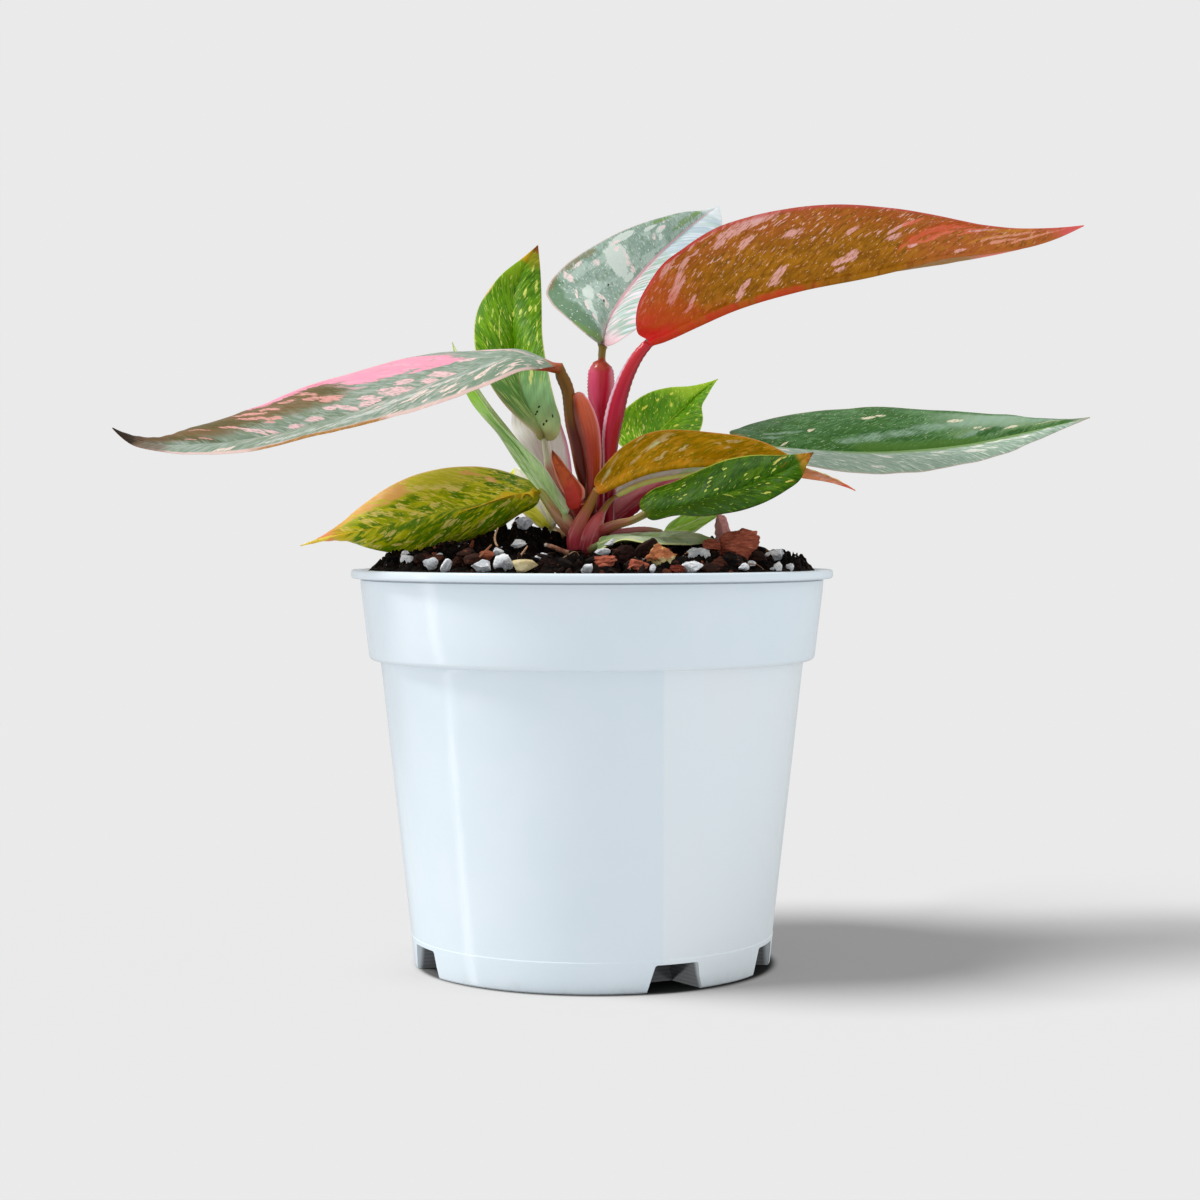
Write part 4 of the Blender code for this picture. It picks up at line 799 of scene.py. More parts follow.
# ---------------------------------------------------------------- materials
def pot_material():
    g = Graph("pot_plastic")
    p = g.place()
    x, y, z = g.split(p)
    cloud = g.noise(p, 26.0, 3.0, 0.55)
    col = g.mix(g.step(cloud, 0.35, 0.65), srgb(231, 243, 251), srgb(234, 244, 252))
    # Painted sheen: a lighter panel on the front right of the body, right of the parting line at 18.5 degrees.
    front = g.mul(g.step(x, 0.0204, 0.0214), g.step(y, 0.0, -0.01), g.step(z, 0.096, 0.0945))
    col = g.mix(g.mul(front, 0.55), col, srgb(246, 252, 255))
    speck = g.step(g.noise(p, 900.0, 2.0, 0.6), 0.72, 0.78)
    col = g.mix(g.mul(speck, 0.06), col, srgb(150, 150, 150))
    # A patchy darker tone over the lowest 4.5 mm of the wall.
    lower_wall_darkening = g.mul(g.step(z, 0.0045, 0.0005), g.step(g.noise(p, 160.0, 4.0, 0.7), 0.45, 0.75), 0.22)
    col = g.mix(lower_wall_darkening, col, srgb(176, 172, 166))
    # Painted shade: inside the foot below 9 mm (the notches and the underside), dark grey with fine horizontal stripes.
    reach = g.math("SQRT", g.add(g.mul(x, x), g.mul(y, y)))
    notch_painted_shade = g.mul(g.step(reach, 0.0553, 0.0536), g.step(z, 0.0092, 0.0086), 0.88)
    notch_shade_stripes = g.step(g.math("SINE", g.mul(z, 5200.0)), -0.4, 0.6)
    col = g.mix(notch_painted_shade, col, g.mix(notch_shade_stripes, srgb(66, 64, 64), srgb(88, 87, 88)))
    # Painted shade: a thin grey line at the underside of the lip.
    lip_shade_z = (POT_HEIGHT - LIP_H) / 1000
    col = g.mix(g.mul(g.step(z, lip_shade_z - 0.0007, lip_shade_z - 0.0003), g.step(z, lip_shade_z + 0.0003, lip_shade_z), 0.55), col, srgb(168, 172, 178))
    rough = g.step(g.noise(p, 60.0, 4.0, 0.6), 0.3, 0.75, (0.12, 0.20))
    ripple = g.noise(g.join(g.math("MULTIPLY", x, 1.0), y, g.mul(z, 0.4)), 70.0, 2.0, 0.5)
    grain = g.noise(p, 2600.0, 2.0, 0.5)
    n = g.bump(ripple, 0.25)
    n = g.bump(grain, 0.012, n)
    return g.set(color=col, rough=rough, normal=n, spec=0.5)


def mix_material():
    g = Graph("mix_earth")
    p = g.place()
    big = g.noise(p, 170.0, 5.0, 0.62)
    fine = g.noise(p, 900.0, 4.0, 0.65)
    col = g.mix(g.step(big, 0.42, 0.68), srgb(7, 5, 4), srgb(24, 14, 10))
    col = g.mix(g.mul(g.step(fine, 0.58, 0.74), 0.6), col, srgb(78, 44, 32))
    col = g.mix(g.mul(g.step(g.noise(p, 420.0, 3.0, 0.6), 0.66, 0.72), 0.7), col, srgb(128, 72, 48))
    fleck = g.voronoi(p, 620.0, "F1")
    col = g.mix(g.mul(g.step(fleck, 0.16, 0.10), g.step(g.noise(p, 210.0, 1.0), 0.58, 0.62)), col, srgb(150, 132, 112))
    n = g.bump(big, 1.6)
    n = g.bump(fine, 0.6, n)
    return g.set(color=col, rough=g.step(fine, 0.3, 0.7, (0.95, 0.6)), normal=n, spec=0.06)


def chip_material(name, dark, mid, light, rough=0.85, bands=1.0):
    """Bark and wood: each grain has its own tone between dark and light, with fibres along it."""
    g = Graph(name)
    p = g.place()
    a, b, c = g.split(g.attribute("grain"))
    tone = g.mix(g.step(a, 0.0, 0.75), dark, mid)
    tone = g.mix(g.step(b, 0.72, 1.0), tone, light)
    layer = g.noise(g.join(g.mul(g.split(p)[0], 0.5), g.mul(g.split(p)[1], 0.5), g.mul(g.split(p)[2], 2.2)), 700.0, 4.0, 0.6)
    tone = g.mix(g.mul(g.step(layer, 0.40, 0.66), 0.55 * bands), tone, dark)
    tone = g.mix(g.mul(g.step(layer, 0.42, 0.30), 0.45 * bands), tone, light)
    n = g.bump(layer, 0.5)
    n = g.bump(g.noise(p, 2500.0, 3.0, 0.6), 0.12, n)
    return g.set(color=tone, rough=rough, normal=n, spec=0.12)


def wood_chip_material():
    g = Graph("wood_chip_two_tone")
    p = g.place()
    x, y, z = g.split(p)
    edge = g.add(z, g.mul(g.sub(g.noise(p, 330.0, 3.0, 0.6), 0.5), 0.006))
    edge = g.sub(edge, g.mul(g.sub(x, 0.0214), 0.25))
    col = g.mix(g.step(edge, 0.1256, 0.1268), srgb(226, 212, 150), srgb(190, 112, 66))
    fib = g.noise(g.join(x, y, g.mul(z, 3.0)), 900.0, 4.0, 0.6)
    col = g.mix(g.mul(g.step(fib, 0.45, 0.7), 0.5), col, srgb(134, 74, 44))
    col = g.mix(g.mul(g.step(g.noise(p, 520.0, 2.0), 0.60, 0.66), 0.5), col, srgb(236, 206, 120))
    n = g.bump(fib, 0.5)
    return g.set(color=col, rough=0.7, normal=n, spec=0.35)


def perlite_material(name="perlite_white", light=(250, 250, 250), shade=(206, 208, 212)):
    g = Graph(name)
    p = g.place()
    pits = g.voronoi(p, 1500.0)
    cloud = g.noise(p, 380.0, 4.0, 0.6)
    col = g.mix(g.step(cloud, 0.38, 0.66), srgb(*light), srgb(*shade))
    col = g.mix(g.mul(g.step(g.noise(p, 1100.0, 3.0, 0.6), 0.60, 0.72), 0.5), col, srgb(140, 128, 116))
    n = g.bump(g.noise(p, 900.0, 5.0, 0.65), 0.5)
    n = g.bump(pits, 0.18, n)
    return g.set(color=col, rough=0.9, normal=n, spec=0.3)


def stone_material():
    g = Graph("stone_cream_smooth")
    p = g.place()
    cloud = g.noise(p, 260.0, 4.0, 0.6)
    col = g.mix(g.step(cloud, 0.35, 0.65), srgb(226, 210, 164), srgb(196, 172, 120))
    col = g.mix(g.mul(g.step(g.noise(p, 1200.0, 3.0), 0.6, 0.7), 0.5), col, srgb(150, 116, 76))
    return g.set(color=col, rough=0.6, normal=g.bump(g.noise(p, 1400.0, 4.0), 0.12), spec=0.4)


def root_material():
    g = Graph("root_bark")
    p = g.place()
    u, c, s = g.split(g.attribute("leaf"))
    col = g.mix(g.step(g.noise(p, 600.0, 4.0, 0.6), 0.4, 0.66), srgb(214, 160, 130), srgb(150, 86, 62))
    col = g.mix(g.step(u, 0.86, 0.97), col, srgb(240, 228, 214))
    return g.set(color=col, rough=0.65, normal=g.bump(g.noise(p, 2200.0, 3.0), 0.12), spec=0.4)


def fibre_material():
    g = Graph("coir_thread")
    a, b, c = g.split(g.attribute("grain"))
    p = g.place()
    col = g.mix(g.step(a, 0.2, 0.9), srgb(150, 96, 64), srgb(206, 166, 126))
    col = g.mix(g.mul(g.step(g.noise(p, 1500.0, 2.0), 0.45, 0.65), 0.5), col, srgb(96, 56, 38))
    return g.set(color=col, rough=0.8, normal=g.bump(g.noise(p, 3000.0, 2.0), 0.05), spec=0.3)


class Leaf:
    """The colour pattern of one leaf, laid along its midrib and its side veins."""

    def __init__(self, name, seed=1.0, slope=0.9, vein_gap=5.0):
        self.g = g = Graph(name)
        self.seed = seed
        self.u, self.v, self.side = g.split(g.attribute("leaf"))
        self.s, self.t, self.stalk = g.split(g.attribute("leaf_mm"))
        self.r = g.math("ABSOLUTE", self.t)
        self.hand = g.math("SIGN", self.t)
        self.av = g.math("ABSOLUTE", self.v)
        self.q = g.sub(self.s, g.mul(self.r, slope))
        self.jitter = g.sub(g.noise(g.join(g.mul(self.s, 0.12), g.mul(self.t, 0.12), seed), 1.0, 2.0), 0.5)
        self.gap = vein_gap

    def field(self, a, l, seed, detail=1.5, rough=0.5, distort=0.0):
        """Noise stretched along the side veins: a mm across them and l mm along them."""
        g = self.g
        return g.noise(g.join(g.mul(self.q, 1 / a), g.add(g.mul(self.r, 1 / l), g.mul(self.hand, 7.3)), self.seed * 3.1 + seed), 1.0, detail, rough, distort)

    def long_field(self, a, l, seed, detail=1.5, rough=0.5):
        """Noise stretched along the midrib: a mm across it and l mm along it."""
        g = self.g
        return g.noise(g.join(g.mul(self.s, 1 / l), g.mul(self.t, 1 / a), self.seed * 3.1 + seed), 1.0, detail, rough)

    def spot(self, u, v, du, dv, rag=0.5, seed=0.0, soft=0.12, tilt=0.0):
        """A patch about (u, v) with a ragged edge. tilt leans it along the veins."""
        g = self.g
        x = g.mul(g.sub(g.sub(self.u, u), g.mul(g.sub(self.v, v), tilt)), 1 / du)
        y = g.mul(g.sub(self.v, v), 1 / dv)
        d = g.math("SQRT", g.add(g.mul(x, x), g.mul(y, y)))
        d = g.add(d, g.mul(g.sub(self.field(3.0, 8.0, 20 + seed, 3.0, 0.6), 0.5), rag * 4))
        return g.step(d, 1 + soft, 1 - soft)

    def streaks(self, th, a=1.2, l=6.0, seed=5.0, soft=0.025, detail=1.5, along=False):
        f = self.long_field(a, l, seed, detail) if along else self.field(a, l, seed, detail)
        return self.g.step(f, th - soft, th + soft)

    def veins(self, width=0.10, seed=0.0):
        """Fine lines along the side veins."""
        g = self.g
        x = g.math("FRACT", g.add(g.mul(self.q, 1 / self.gap), g.add(g.mul(self.jitter, 1.1), g.mul(self.hand, 0.27))))
        d = g.math("ABSOLUTE", g.sub(x, 0.5))
        return g.mul(g.step(d, width, width * 0.3), g.step(self.av, 0.03, 0.12), g.step(self.av, 1.0, 0.8))

    def midrib(self, width):
        g = self.g
        w = g.add(g.mul(g.sub(1.0, self.u), width * 0.75), width * 0.25)
        return g.step(g.math("DIVIDE", self.r, w), 1.0, 0.55)

    def rim(self, width=0.035):
        return self.g.step(self.av, 1 - width, 1 - width * 0.45)

    def finish(self, upper, under, stalk, rough=(0.40, 0.52), stalk_rough=0.24, spec=0.18, stalk_spec=0.32, vein_depth=0.045, grain=0.015):
        g = self.g
        below = g.step(self.side, 0.2, -0.2)
        blade = g.mix(below, upper, under)
        on_stalk = g.step(self.u, 0.012, -0.012)
        col = g.mix(on_stalk, blade, stalk)
        v = self.veins(0.16)
        fine = self.long_field(0.5, 0.5, 40.0, 3.0, 0.6)
        streak = self.field(0.5, 5.0, 41.0, 2.0)
        r = g.step(self.long_field(4, 6, 42.0, 3.0), 0.35, 0.65, rough)
        r = g.step(self.u, 0.012, -0.012, (r, stalk_rough))
        shine = g.step(self.u, 0.012, -0.012, (spec, stalk_spec))
        h = g.add(g.mul(v, -vein_depth), g.add(g.mul(fine, grain), g.mul(streak, grain * 1.6)))
        h = g.mul(h, g.sub(1.0, on_stalk))
        ridge = g.mul(g.noise(g.join(g.mul(self.s, 0.05), g.mul(self.t, 2.2), self.seed), 1.0, 2.0), on_stalk, 0.07)
        n = g.bump(g.add(h, ridge), 1.0)
        return g.set(color=col, rough=r, normal=n, spec=shine)

    def facing(self, x, y, z, lo, hi):
        """How far the surface turns towards a fixed way of the plant's own frame, for painting highlight, shade and
        tint on one side of a stalk.
        """
        g = self.g
        dot = g.node("ShaderNodeVectorMath", operation="DOT_PRODUCT")
        g.feed(dot.inputs[0], g.node("ShaderNodeTexCoord").outputs["Normal"])
        dot.inputs[1].default_value = (x, y, z)
        return g.step(dot.outputs["Value"], lo, hi)

    def stalk_colour(self, foot, middle, top, light=None, light_amount=0.5, m0=-0.8, m1=-0.35, m2=-0.08, lit_shaded_and_tinted_sides=()):
        g = self.g
        col = g.mix(g.step(self.u, m0, m1), foot, middle)
        col = g.mix(g.step(self.u, m1, m2), col, top)
        # Each entry paints a colour on the side of the stalk that faces a given way: painted highlights on sides
        # towards the lamps, painted shade on a side away from them, and on some stalks a tint of their own.
        for colour, amount, way, lo, hi, u0, u1 in lit_shaded_and_tinted_sides:
            mask = g.mul(self.facing(*way, lo, hi), g.step(self.u, u0, u0 + 0.06), g.step(self.u, u1 + 0.06, u1))
            col = g.mix(g.mul(mask, amount), col, srgb(*colour))
        lines = g.noise(g.join(g.mul(self.s, 0.06), g.mul(self.t, 1.1), self.seed + 9), 1.0, 3.0, 0.6)
        col = g.mix(g.mul(g.step(lines, 0.45, 0.75), 0.35), col, foot)
        if light:
            col = g.mix(g.mul(g.step(lines, 0.5, 0.30), light_amount), col, light)
        return col

# ---------------------------------------------------------------- leaf colours
# Painted light: each leaf's colours are scaled up where the leaf sits in shade and down where it catches much light, to
# even out how lit the leaves look.
PAINTED_LIGHT_GAIN = {
    "leaf_upper_right": (1.26, 1.29, 1.79),
    "leaf_long_left": (1.11, 0.97, 0.99),
    "leaf_top_back": (1.32, 1.18, 1.21),
    "leaf_upright_left": (1.30, 1.20, 0.95),
    "leaf_low_left": (2.62, 2.57, 0.88),
    "leaf_arching_right": (2.44, 2.09, 2.09),
    "leaf_low_right": (0.58, 0.62, 0.13),
    "leaf_long_right": (1.14, 1.07, 1.03),
    "leaf_back_right": (1.90, 1.70, 0.85),
    "leaf_on_mix": (1.30, 1.22, 0.97),
    "leaf_young_right": (3.38, 2.87, 5.31),
    "leaf_young_left": (2.94, 2.88, 3.73),
    "cataphyll_red": (1.2, 1.15, 0.95),
    "cataphyll_pale": (1.98, 2.22, 2.39),
    "leaf_folded_right": (3.64, 4.32, 5.22),
    "leaf_narrow_left": (1.68, 1.58, 1.54),
}


class Painter(Leaf):
    """Lays flecks, streaks and patches over a leaf. Each layer is (colour, amount, mark, mark, ...)."""

    def __init__(self, name, seed, slope=1.1, tilt=0.25, vein_gap=5.0):
        super().__init__(name, seed, slope, vein_gap)
        g = self.g
        self.name = name.removesuffix("_look")
        self.flat = g.join(g.sub(self.u, g.mul(self.av, tilt)), self.v, 0.0)
        self.tilt = tilt
        self.rag = g.add(g.mul(g.sub(self.field(1.7, 4.2, 20.0, 3.0, 0.62), 0.5), 0.9), g.mul(g.sub(self.field(0.6, 1.5, 26.0, 2.0, 0.6), 0.5), 0.5))
        self.holes = g.step(self.field(0.8, 1.3, 33.0, 3.0, 0.6), 0.36, 0.54, (0.30, 1.0))
        self.wander = g.mul(g.sub(self.long_field(9.0, 9.0, 31.0, 3.0, 0.6), 0.5), 0.12)

    def spots(self, rag, soft, places):
        g = self.g
        d = None
        for u, v, du, dv in places:
            n = g.node("ShaderNodeVectorMath", operation="MULTIPLY_ADD")
            g.feed(n.inputs[0], self.flat)
            n.inputs[1].default_value = (1 / du, 1 / dv, 0)
            n.inputs[2].default_value = (-(u - self.tilt * abs(v)) / du, -v / dv, 0)
            m = g.node("ShaderNodeVectorMath", operation="LENGTH")
            g.feed(m.inputs[0], n.outputs[0])
            d = m.outputs["Value"] if d is None else g.math("MINIMUM", d, m.outputs["Value"])
        found = g.step(g.add(d, g.mul(self.rag, rag * 4)), 1 + soft, 1 - soft)
        return g.mul(found, self.holes) if rag >= 0.3 else found

    def mark(self, kind, *a):
        g = self.g
        if kind == "u":
            return g.step(g.add(self.u, self.wander), *a)
        if kind == "v":
            return g.step(g.add(self.v, self.wander), *a)
        if kind == "edge":
            return g.step(self.av, *a)
        if kind == "fleck":
            th, across, along, seed, soft = a
            return g.step(self.field(across * 1.05, along * (0.55 if along < 6.5 else 0.7), seed, 1.8, 0.5), th + 0.012 - soft, th + 0.012 + soft)
        if kind == "dash":
            th, across, along, seed, soft = a
            return g.step(self.long_field(across, along, seed, 2.0), th - soft, th + soft)
        if kind == "spots":
            return self.spots(*a)
        if kind == "rib":
            return self.midrib(a[0])
        if kind == "veins":
            return self.veins(*a)
        raise ValueError(kind)

    def tone(self, colour):
        """The colour times the leaf's gain, which evens out how much light each leaf catches."""
        return (*[min(1.0, c * k) for c, k in zip(srgb(*colour), PAINTED_LIGHT_GAIN.get(self.name, (1, 1, 1)))], 1.0)

    def paint(self, base, layers):
        g = self.g
        tone = self.long_field(7, 13, 1.0, 3.0, 0.6)
        col = g.mix(g.step(tone, 0.38, 0.6), self.tone(base[0]), self.tone(base[1]))
        if len(base) > 2:
            col = g.mix(g.mul(g.step(self.field(1.9, 2.8, 2.0, 3.0, 0.6), 0.46, 0.66), 0.8), col, self.tone(base[2]))
        for colour, amount, *marks in layers:
            mask = self.mark(*marks[0])
            for m in marks[1:]:
                mask = g.mul(mask, self.mark(*m))
            col = g.mix(g.mul(mask, amount), col, self.tone(colour))
        return col


def leaf_look(name, seed, base, layers, under, stalk, slope=1.1, tilt=0.25, gap=5.0, under_layers=(), **finish):
    p = Painter(name, seed, slope, tilt, gap)
    upper = p.paint(base, layers)
    low = p.paint(under, under_layers)
    stem = p.stalk_colour(*[srgb(*c) for c in stalk[:3]], light=srgb(*stalk[3]) if len(stalk) > 3 else None, **(stalk[4] if len(stalk) > 4 else {}))
    return p.finish(upper, low, stem, **finish)


LOOKS = {
    "leaf_upper_right": dict(
        seed=1.0, slope=1.5, tilt=0.25, gap=4.6, spec=0.15,
        base=((112, 136, 108), (132, 152, 126), (92, 118, 84)),
        layers=[
            ((206, 190, 176), 0.7, ("fleck", 0.60, 2.0, 9.0, 3, 0.05)),
            ((232, 170, 176), 0.9, ("fleck", 0.66, 2.6, 9.0, 4, 0.02)),
            ((186, 70, 52), 0.8, ("edge", 0.95, 0.99)),
            ((190, 84, 66), 0.9, ("u", 0.90, 0.97)),
        ],
        under=((150, 94, 2), (166, 106, 6), (126, 72, 0)),
        under_layers=[
            ((176, 88, 34), 0.75, ("v", 0.38, 0.95)),
            ((184, 94, 42), 0.65, ("u", 0.56, 0.72)),
            ((120, 78, 2), 0.6, ("fleck", 0.57, 1.6, 4.0, 4, 0.06), ("v", 0.00, 0.05)),
            ((184, 122, 24), 0.5, ("fleck", 0.59, 2.0, 5.0, 7, 0.06), ("v", 0.00, 0.05)),
            ((216, 138, 76), 0.75, ("fleck", 0.655, 0.9, 3.0, 9, 0.02), ("v", 0.00, 0.05)),
            ((238, 176, 142), 0.85, ("fleck", 0.64, 1.2, 3.8, 5, 0.02), ("v", 0.30, 0.6)),
            ((244, 186, 130), 0.9, ("fleck", 0.675, 0.7, 2.0, 6, 0.012), ("v", 0.00, 0.05)),
            ((240, 170, 140), 0.85, ("fleck", 0.61, 1.8, 3.4, 12, 0.02), ("v", 0.72, 0.88), ("u", 0.5, 0.42)),
            ((240, 168, 138), 0.92, ("spots", 0.60, 0.16, [
                (0.24, 0.13, 0.010, 0.10), (0.265, 0.20, 0.008, 0.05), (0.335, 0.20, 0.013, 0.10), (0.31, 0.12, 0.012, 0.03), (0.13, 0.26, 0.014, 0.03), (0.155, 0.34, 0.008, 0.06),
                (0.15, 0.60, 0.020, 0.10), (0.175, 0.70, 0.012, 0.08), (0.48, 0.22, 0.020, 0.05), (0.50, 0.28, 0.012, 0.05), (0.33, 0.70, 0.014, 0.06), (0.42, 0.67, 0.018, 0.05), (0.46, 0.12, 0.012, 0.03),
                (0.33, 0.89, 0.030, 0.08), (0.38, 0.94, 0.030, 0.06), (0.18, 0.92, 0.020, 0.05), (0.21, 0.83, 0.012, 0.05), (0.29, 0.80, 0.010, 0.04), (0.60, 0.44, 0.012, 0.05), (0.53, 0.60, 0.008, 0.06), (0.72, 0.08, 0.012, 0.04), (0.62, 0.60, 0.008, 0.10)])),
            ((234, 116, 78), 0.9, ("spots", 0.6, 0.14, [
                (0.635, 0.30, 0.022, 0.05), (0.655, 0.44, 0.012, 0.18), (0.695, 0.44, 0.012, 0.14), (0.70, 0.60, 0.012, 0.18), (0.73, 0.66, 0.012, 0.16), (0.655, 0.72, 0.008, 0.12), (0.785, 0.74, 0.010, 0.14), (0.76, 0.56, 0.008, 0.12)])),
            ((200, 76, 20), 0.6, ("spots", 0.6, 0.3, [(0.68, 0.52, 0.03, 0.24), (0.76, 0.84, 0.03, 0.18)])),
            ((238, 156, 112), 0.85, ("spots", 0.6, 0.2, [(0.835, 0.54, 0.014, 0.22), (0.90, 0.44, 0.018, 0.26), (0.87, 0.62, 0.010, 0.14), (0.825, 0.32, 0.018, 0.10), (0.865, 0.30, 0.010, 0.08)])),
            ((206, 134, 44), 0.7, ("spots", 0.4, 0.3, [(0.85, 0.84, 0.03, 0.16), (0.81, 0.5, 0.008, 0.3)])),
            ((248, 176, 150), 0.9, ("spots", 0.3, 0.2, [(0.80, 0.76, 0.006, 0.12), (0.78, 0.66, 0.006, 0.08), (0.63, 0.27, 0.012, 0.025), (0.365, 0.93, 0.02, 0.03)])),
            ((196, 60, 20), 0.85, ("u", 0.22, 0.05)),
            ((212, 40, 32), 0.9, ("u", 0.09, 0.02)),
            ((222, 92, 80), 0.85, ("u", 0.905, 0.96)),
            ((206, 84, 70), 0.65, ("edge", 0.93, 0.985)),
            ((204, 44, 38), 0.8, ("edge", 0.96, 0.99), ("u", 0.34, 0.2)),
            ((150, 98, 10), 0.9, ("v", 0.01, -0.05)),
            ((160, 112, 14), 0.9, ("v", -0.10, -0.25), ("u", 0.62, 0.52)),
            ((196, 52, 26), 0.85, ("v", 0.035, -0.01), ("u", 0.46, 0.30)),
            ((164, 118, 56), 0.8, ("v", -0.10, -0.25), ("u", 0.54, 0.64)),
            ((228, 112, 84), 0.85, ("v", -0.10, -0.25), ("u", 0.75, 0.80)),
        ],
        # Stalk: painted highlight, pale lilac, down the left side, and painted shade, dark red, down the right side.
        stalk=((160, 8, 38), (184, 14, 50), (200, 44, 52), (214, 60, 90), dict(light_amount=0.2, lit_shaded_and_tinted_sides=[((240, 208, 228), 0.9, (-0.92, -0.35, 0.15), 0.84, 0.97, -0.86, -0.06), ((110, 8, 26), 0.6, (0.95, -0.2, -0.2), 0.6, 0.95, -1.0, 0.0)])),
    ),
    "leaf_long_left": dict(
        seed=2.0, slope=1.5, tilt=0.24, gap=5.2, spec=0.22,
        base=((132, 156, 138), (152, 172, 156), (110, 140, 114)),
        layers=[
            ((172, 190, 176), 0.7, ("fleck", 0.56, 1.6, 6.0, 3, 0.04)),
            ((108, 138, 110), 0.7, ("fleck", 0.58, 1.2, 4.0, 8, 0.03)),
            ((104, 138, 108), 0.6, ("v", -0.40, -0.62), ("u", 0.34, 0.2)),
            # Painted highlight: a pale line along a ridge of the near half.
            ((200, 212, 202), 0.8, ("spots", 0.5, 0.25, [(0.19, -0.46, 0.05, 0.05), (0.28, -0.47, 0.05, 0.05), (0.38, -0.56, 0.05, 0.05), (0.46, -0.68, 0.05, 0.06), (0.54, -0.79, 0.05, 0.05), (0.63, -0.82, 0.05, 0.04)])),
            ((230, 214, 202), 0.9, ("fleck", 0.595, 1.4, 4.6, 5, 0.02), ("v", -0.36, -0.5), ("u", 0.50, 0.40)),
            ((214, 196, 192), 0.7, ("spots", 0.4, 0.3, [(0.59, -0.42, 0.008, 0.3), (0.645, -0.38, 0.008, 0.3), (0.42, -0.3, 0.012, 0.16), (0.30, -0.25, 0.012, 0.16)])),
            ((236, 222, 208), 0.9, ("spots", 0.5, 0.14, [(0.195, -0.62, 0.012, 0.12), (0.16, -0.86, 0.014, 0.06), (0.29, -0.72, 0.02, 0.05), (0.35, -0.62, 0.012, 0.10), (0.27, -0.90, 0.012, 0.05), (0.75, -0.86, 0.02, 0.06)])),
            ((110, 90, 44), 0.95, ("v", 0.24, 0.46), ("u", 0.46, 0.56)),
            ((132, 120, 88), 0.5, ("fleck", 0.50, 1.3, 5.0, 15, 0.05), ("v", 0.24, 0.46), ("u", 0.46, 0.56)),
            ((112, 92, 50), 0.8, ("u", 0.70, 0.76), ("v", 0.05, 0.30)),
            ((84, 84, 36), 0.8, ("spots", 0.6, 0.3, [(0.78, 0.66, 0.04, 0.4), (0.86, 0.36, 0.03, 0.3), (0.54, 0.64, 0.03, 0.14)])),
            ((120, 142, 108), 0.8, ("fleck", 0.54, 1.2, 4.0, 18, 0.03), ("u", 0.44, 0.54), ("u", 0.80, 0.70), ("v", 0.5, 0.36)),
            ((240, 204, 204), 0.95, ("spots", 0.55, 0.10, [
                (0.27, 0.09, 0.020, 0.10), (0.30, 0.05, 0.014, 0.06), (0.375, 0.08, 0.024, 0.12), (0.36, 0.20, 0.020, 0.06), (0.435, 0.09, 0.024, 0.05), (0.445, 0.18, 0.014, 0.06), (0.49, 0.15, 0.008, 0.14), (0.53, 0.25, 0.012, 0.04), (0.565, 0.14, 0.014, 0.05),
                (0.605, 0.09, 0.014, 0.05), (0.655, 0.08, 0.008, 0.10), (0.69, 0.17, 0.010, 0.10), (0.72, 0.30, 0.006, 0.10), (0.22, 0.29, 0.018, 0.06), (0.10, 0.24, 0.008, 0.14), (0.14, 0.44, 0.010, 0.2), (0.19, 0.66, 0.012, 0.2)])),
            ((228, 168, 158), 0.9, ("spots", 0.5, 0.10, [
                (0.525, 0.41, 0.020, 0.07), (0.54, 0.48, 0.012, 0.05), (0.57, 0.54, 0.012, 0.06), (0.655, 0.36, 0.013, 0.06), (0.66, 0.29, 0.008, 0.04), (0.70, 0.52, 0.010, 0.14), (0.625, 0.66, 0.014, 0.06), (0.58, 0.69, 0.009, 0.10), (0.665, 0.63, 0.010, 0.10), (0.71, 0.70, 0.012, 0.14),
                (0.755, 0.45, 0.008, 0.08), (0.815, 0.56, 0.004, 0.12), (0.80, 0.20, 0.004, 0.06), (0.83, 0.22, 0.004, 0.06)])),
            ((236, 160, 182), 1.0, ("spots", 0.26, 0.04, [
                (0.31, 0.50, 0.062, 0.16), (0.36, 0.70, 0.075, 0.36), (0.42, 0.62, 0.07, 0.22), (0.45, 0.86, 0.10, 0.22), (0.30, 0.34, 0.05, 0.04), (0.56, 0.95, 0.09, 0.12), (0.66, 0.94, 0.055, 0.13)])),
            ((246, 182, 198), 0.5, ("fleck", 0.55, 3.0, 8.0, 12, 0.05), ("v", 0.36, 0.46), ("u", 0.56, 0.48), ("u", 0.24, 0.3)),
            ((214, 132, 148), 0.8, ("spots", 0.6, 0.14, [(0.565, 0.90, 0.02, 0.05), (0.62, 0.86, 0.014, 0.06), (0.68, 0.84, 0.014, 0.08)])),
            ((140, 152, 116), 0.9, ("fleck", 0.665, 1.1, 3.0, 14, 0.02), ("v", 0.0, 0.2), ("u", 0.5, 0.4)),
            ((226, 200, 190), 0.8, ("edge", 0.90, 0.95), ("v", 0.0, -0.1), ("u", 0.06, 0.12)),
            ((148, 104, 26), 0.95, ("v", -0.915, -0.955), ("u", 0.42, 0.46), ("u", 0.73, 0.67)),
            ((206, 160, 60), 0.8, ("v", -0.915, -0.955), ("u", 0.42, 0.46), ("u", 0.73, 0.67), ("fleck", 0.58, 0.7, 1.6, 16, 0.03)),
            ((226, 190, 170), 0.8, ("edge", 0.955, 0.985), ("v", 0.1, 0.3), ("u", 0.04, 0.1)),
            ((176, 86, 48), 0.95, ("u", 0.055, 0.020)),
            ((92, 62, 32), 0.85, ("u", 0.84, 0.93)),
            ((46, 34, 16), 1.0, ("u", 0.925, 0.955)),
            ((150, 70, 70), 0.6, ("edge", 0.975, 0.992), ("v", -0.1, 0.1), ("u", 0.5, 0.7)),
        ],
        under=((126, 84, 22), (146, 98, 32), (112, 72, 14)),
        under_layers=[
            ((196, 132, 84), 0.8, ("fleck", 0.66, 1.2, 5, 5, 0.02)),
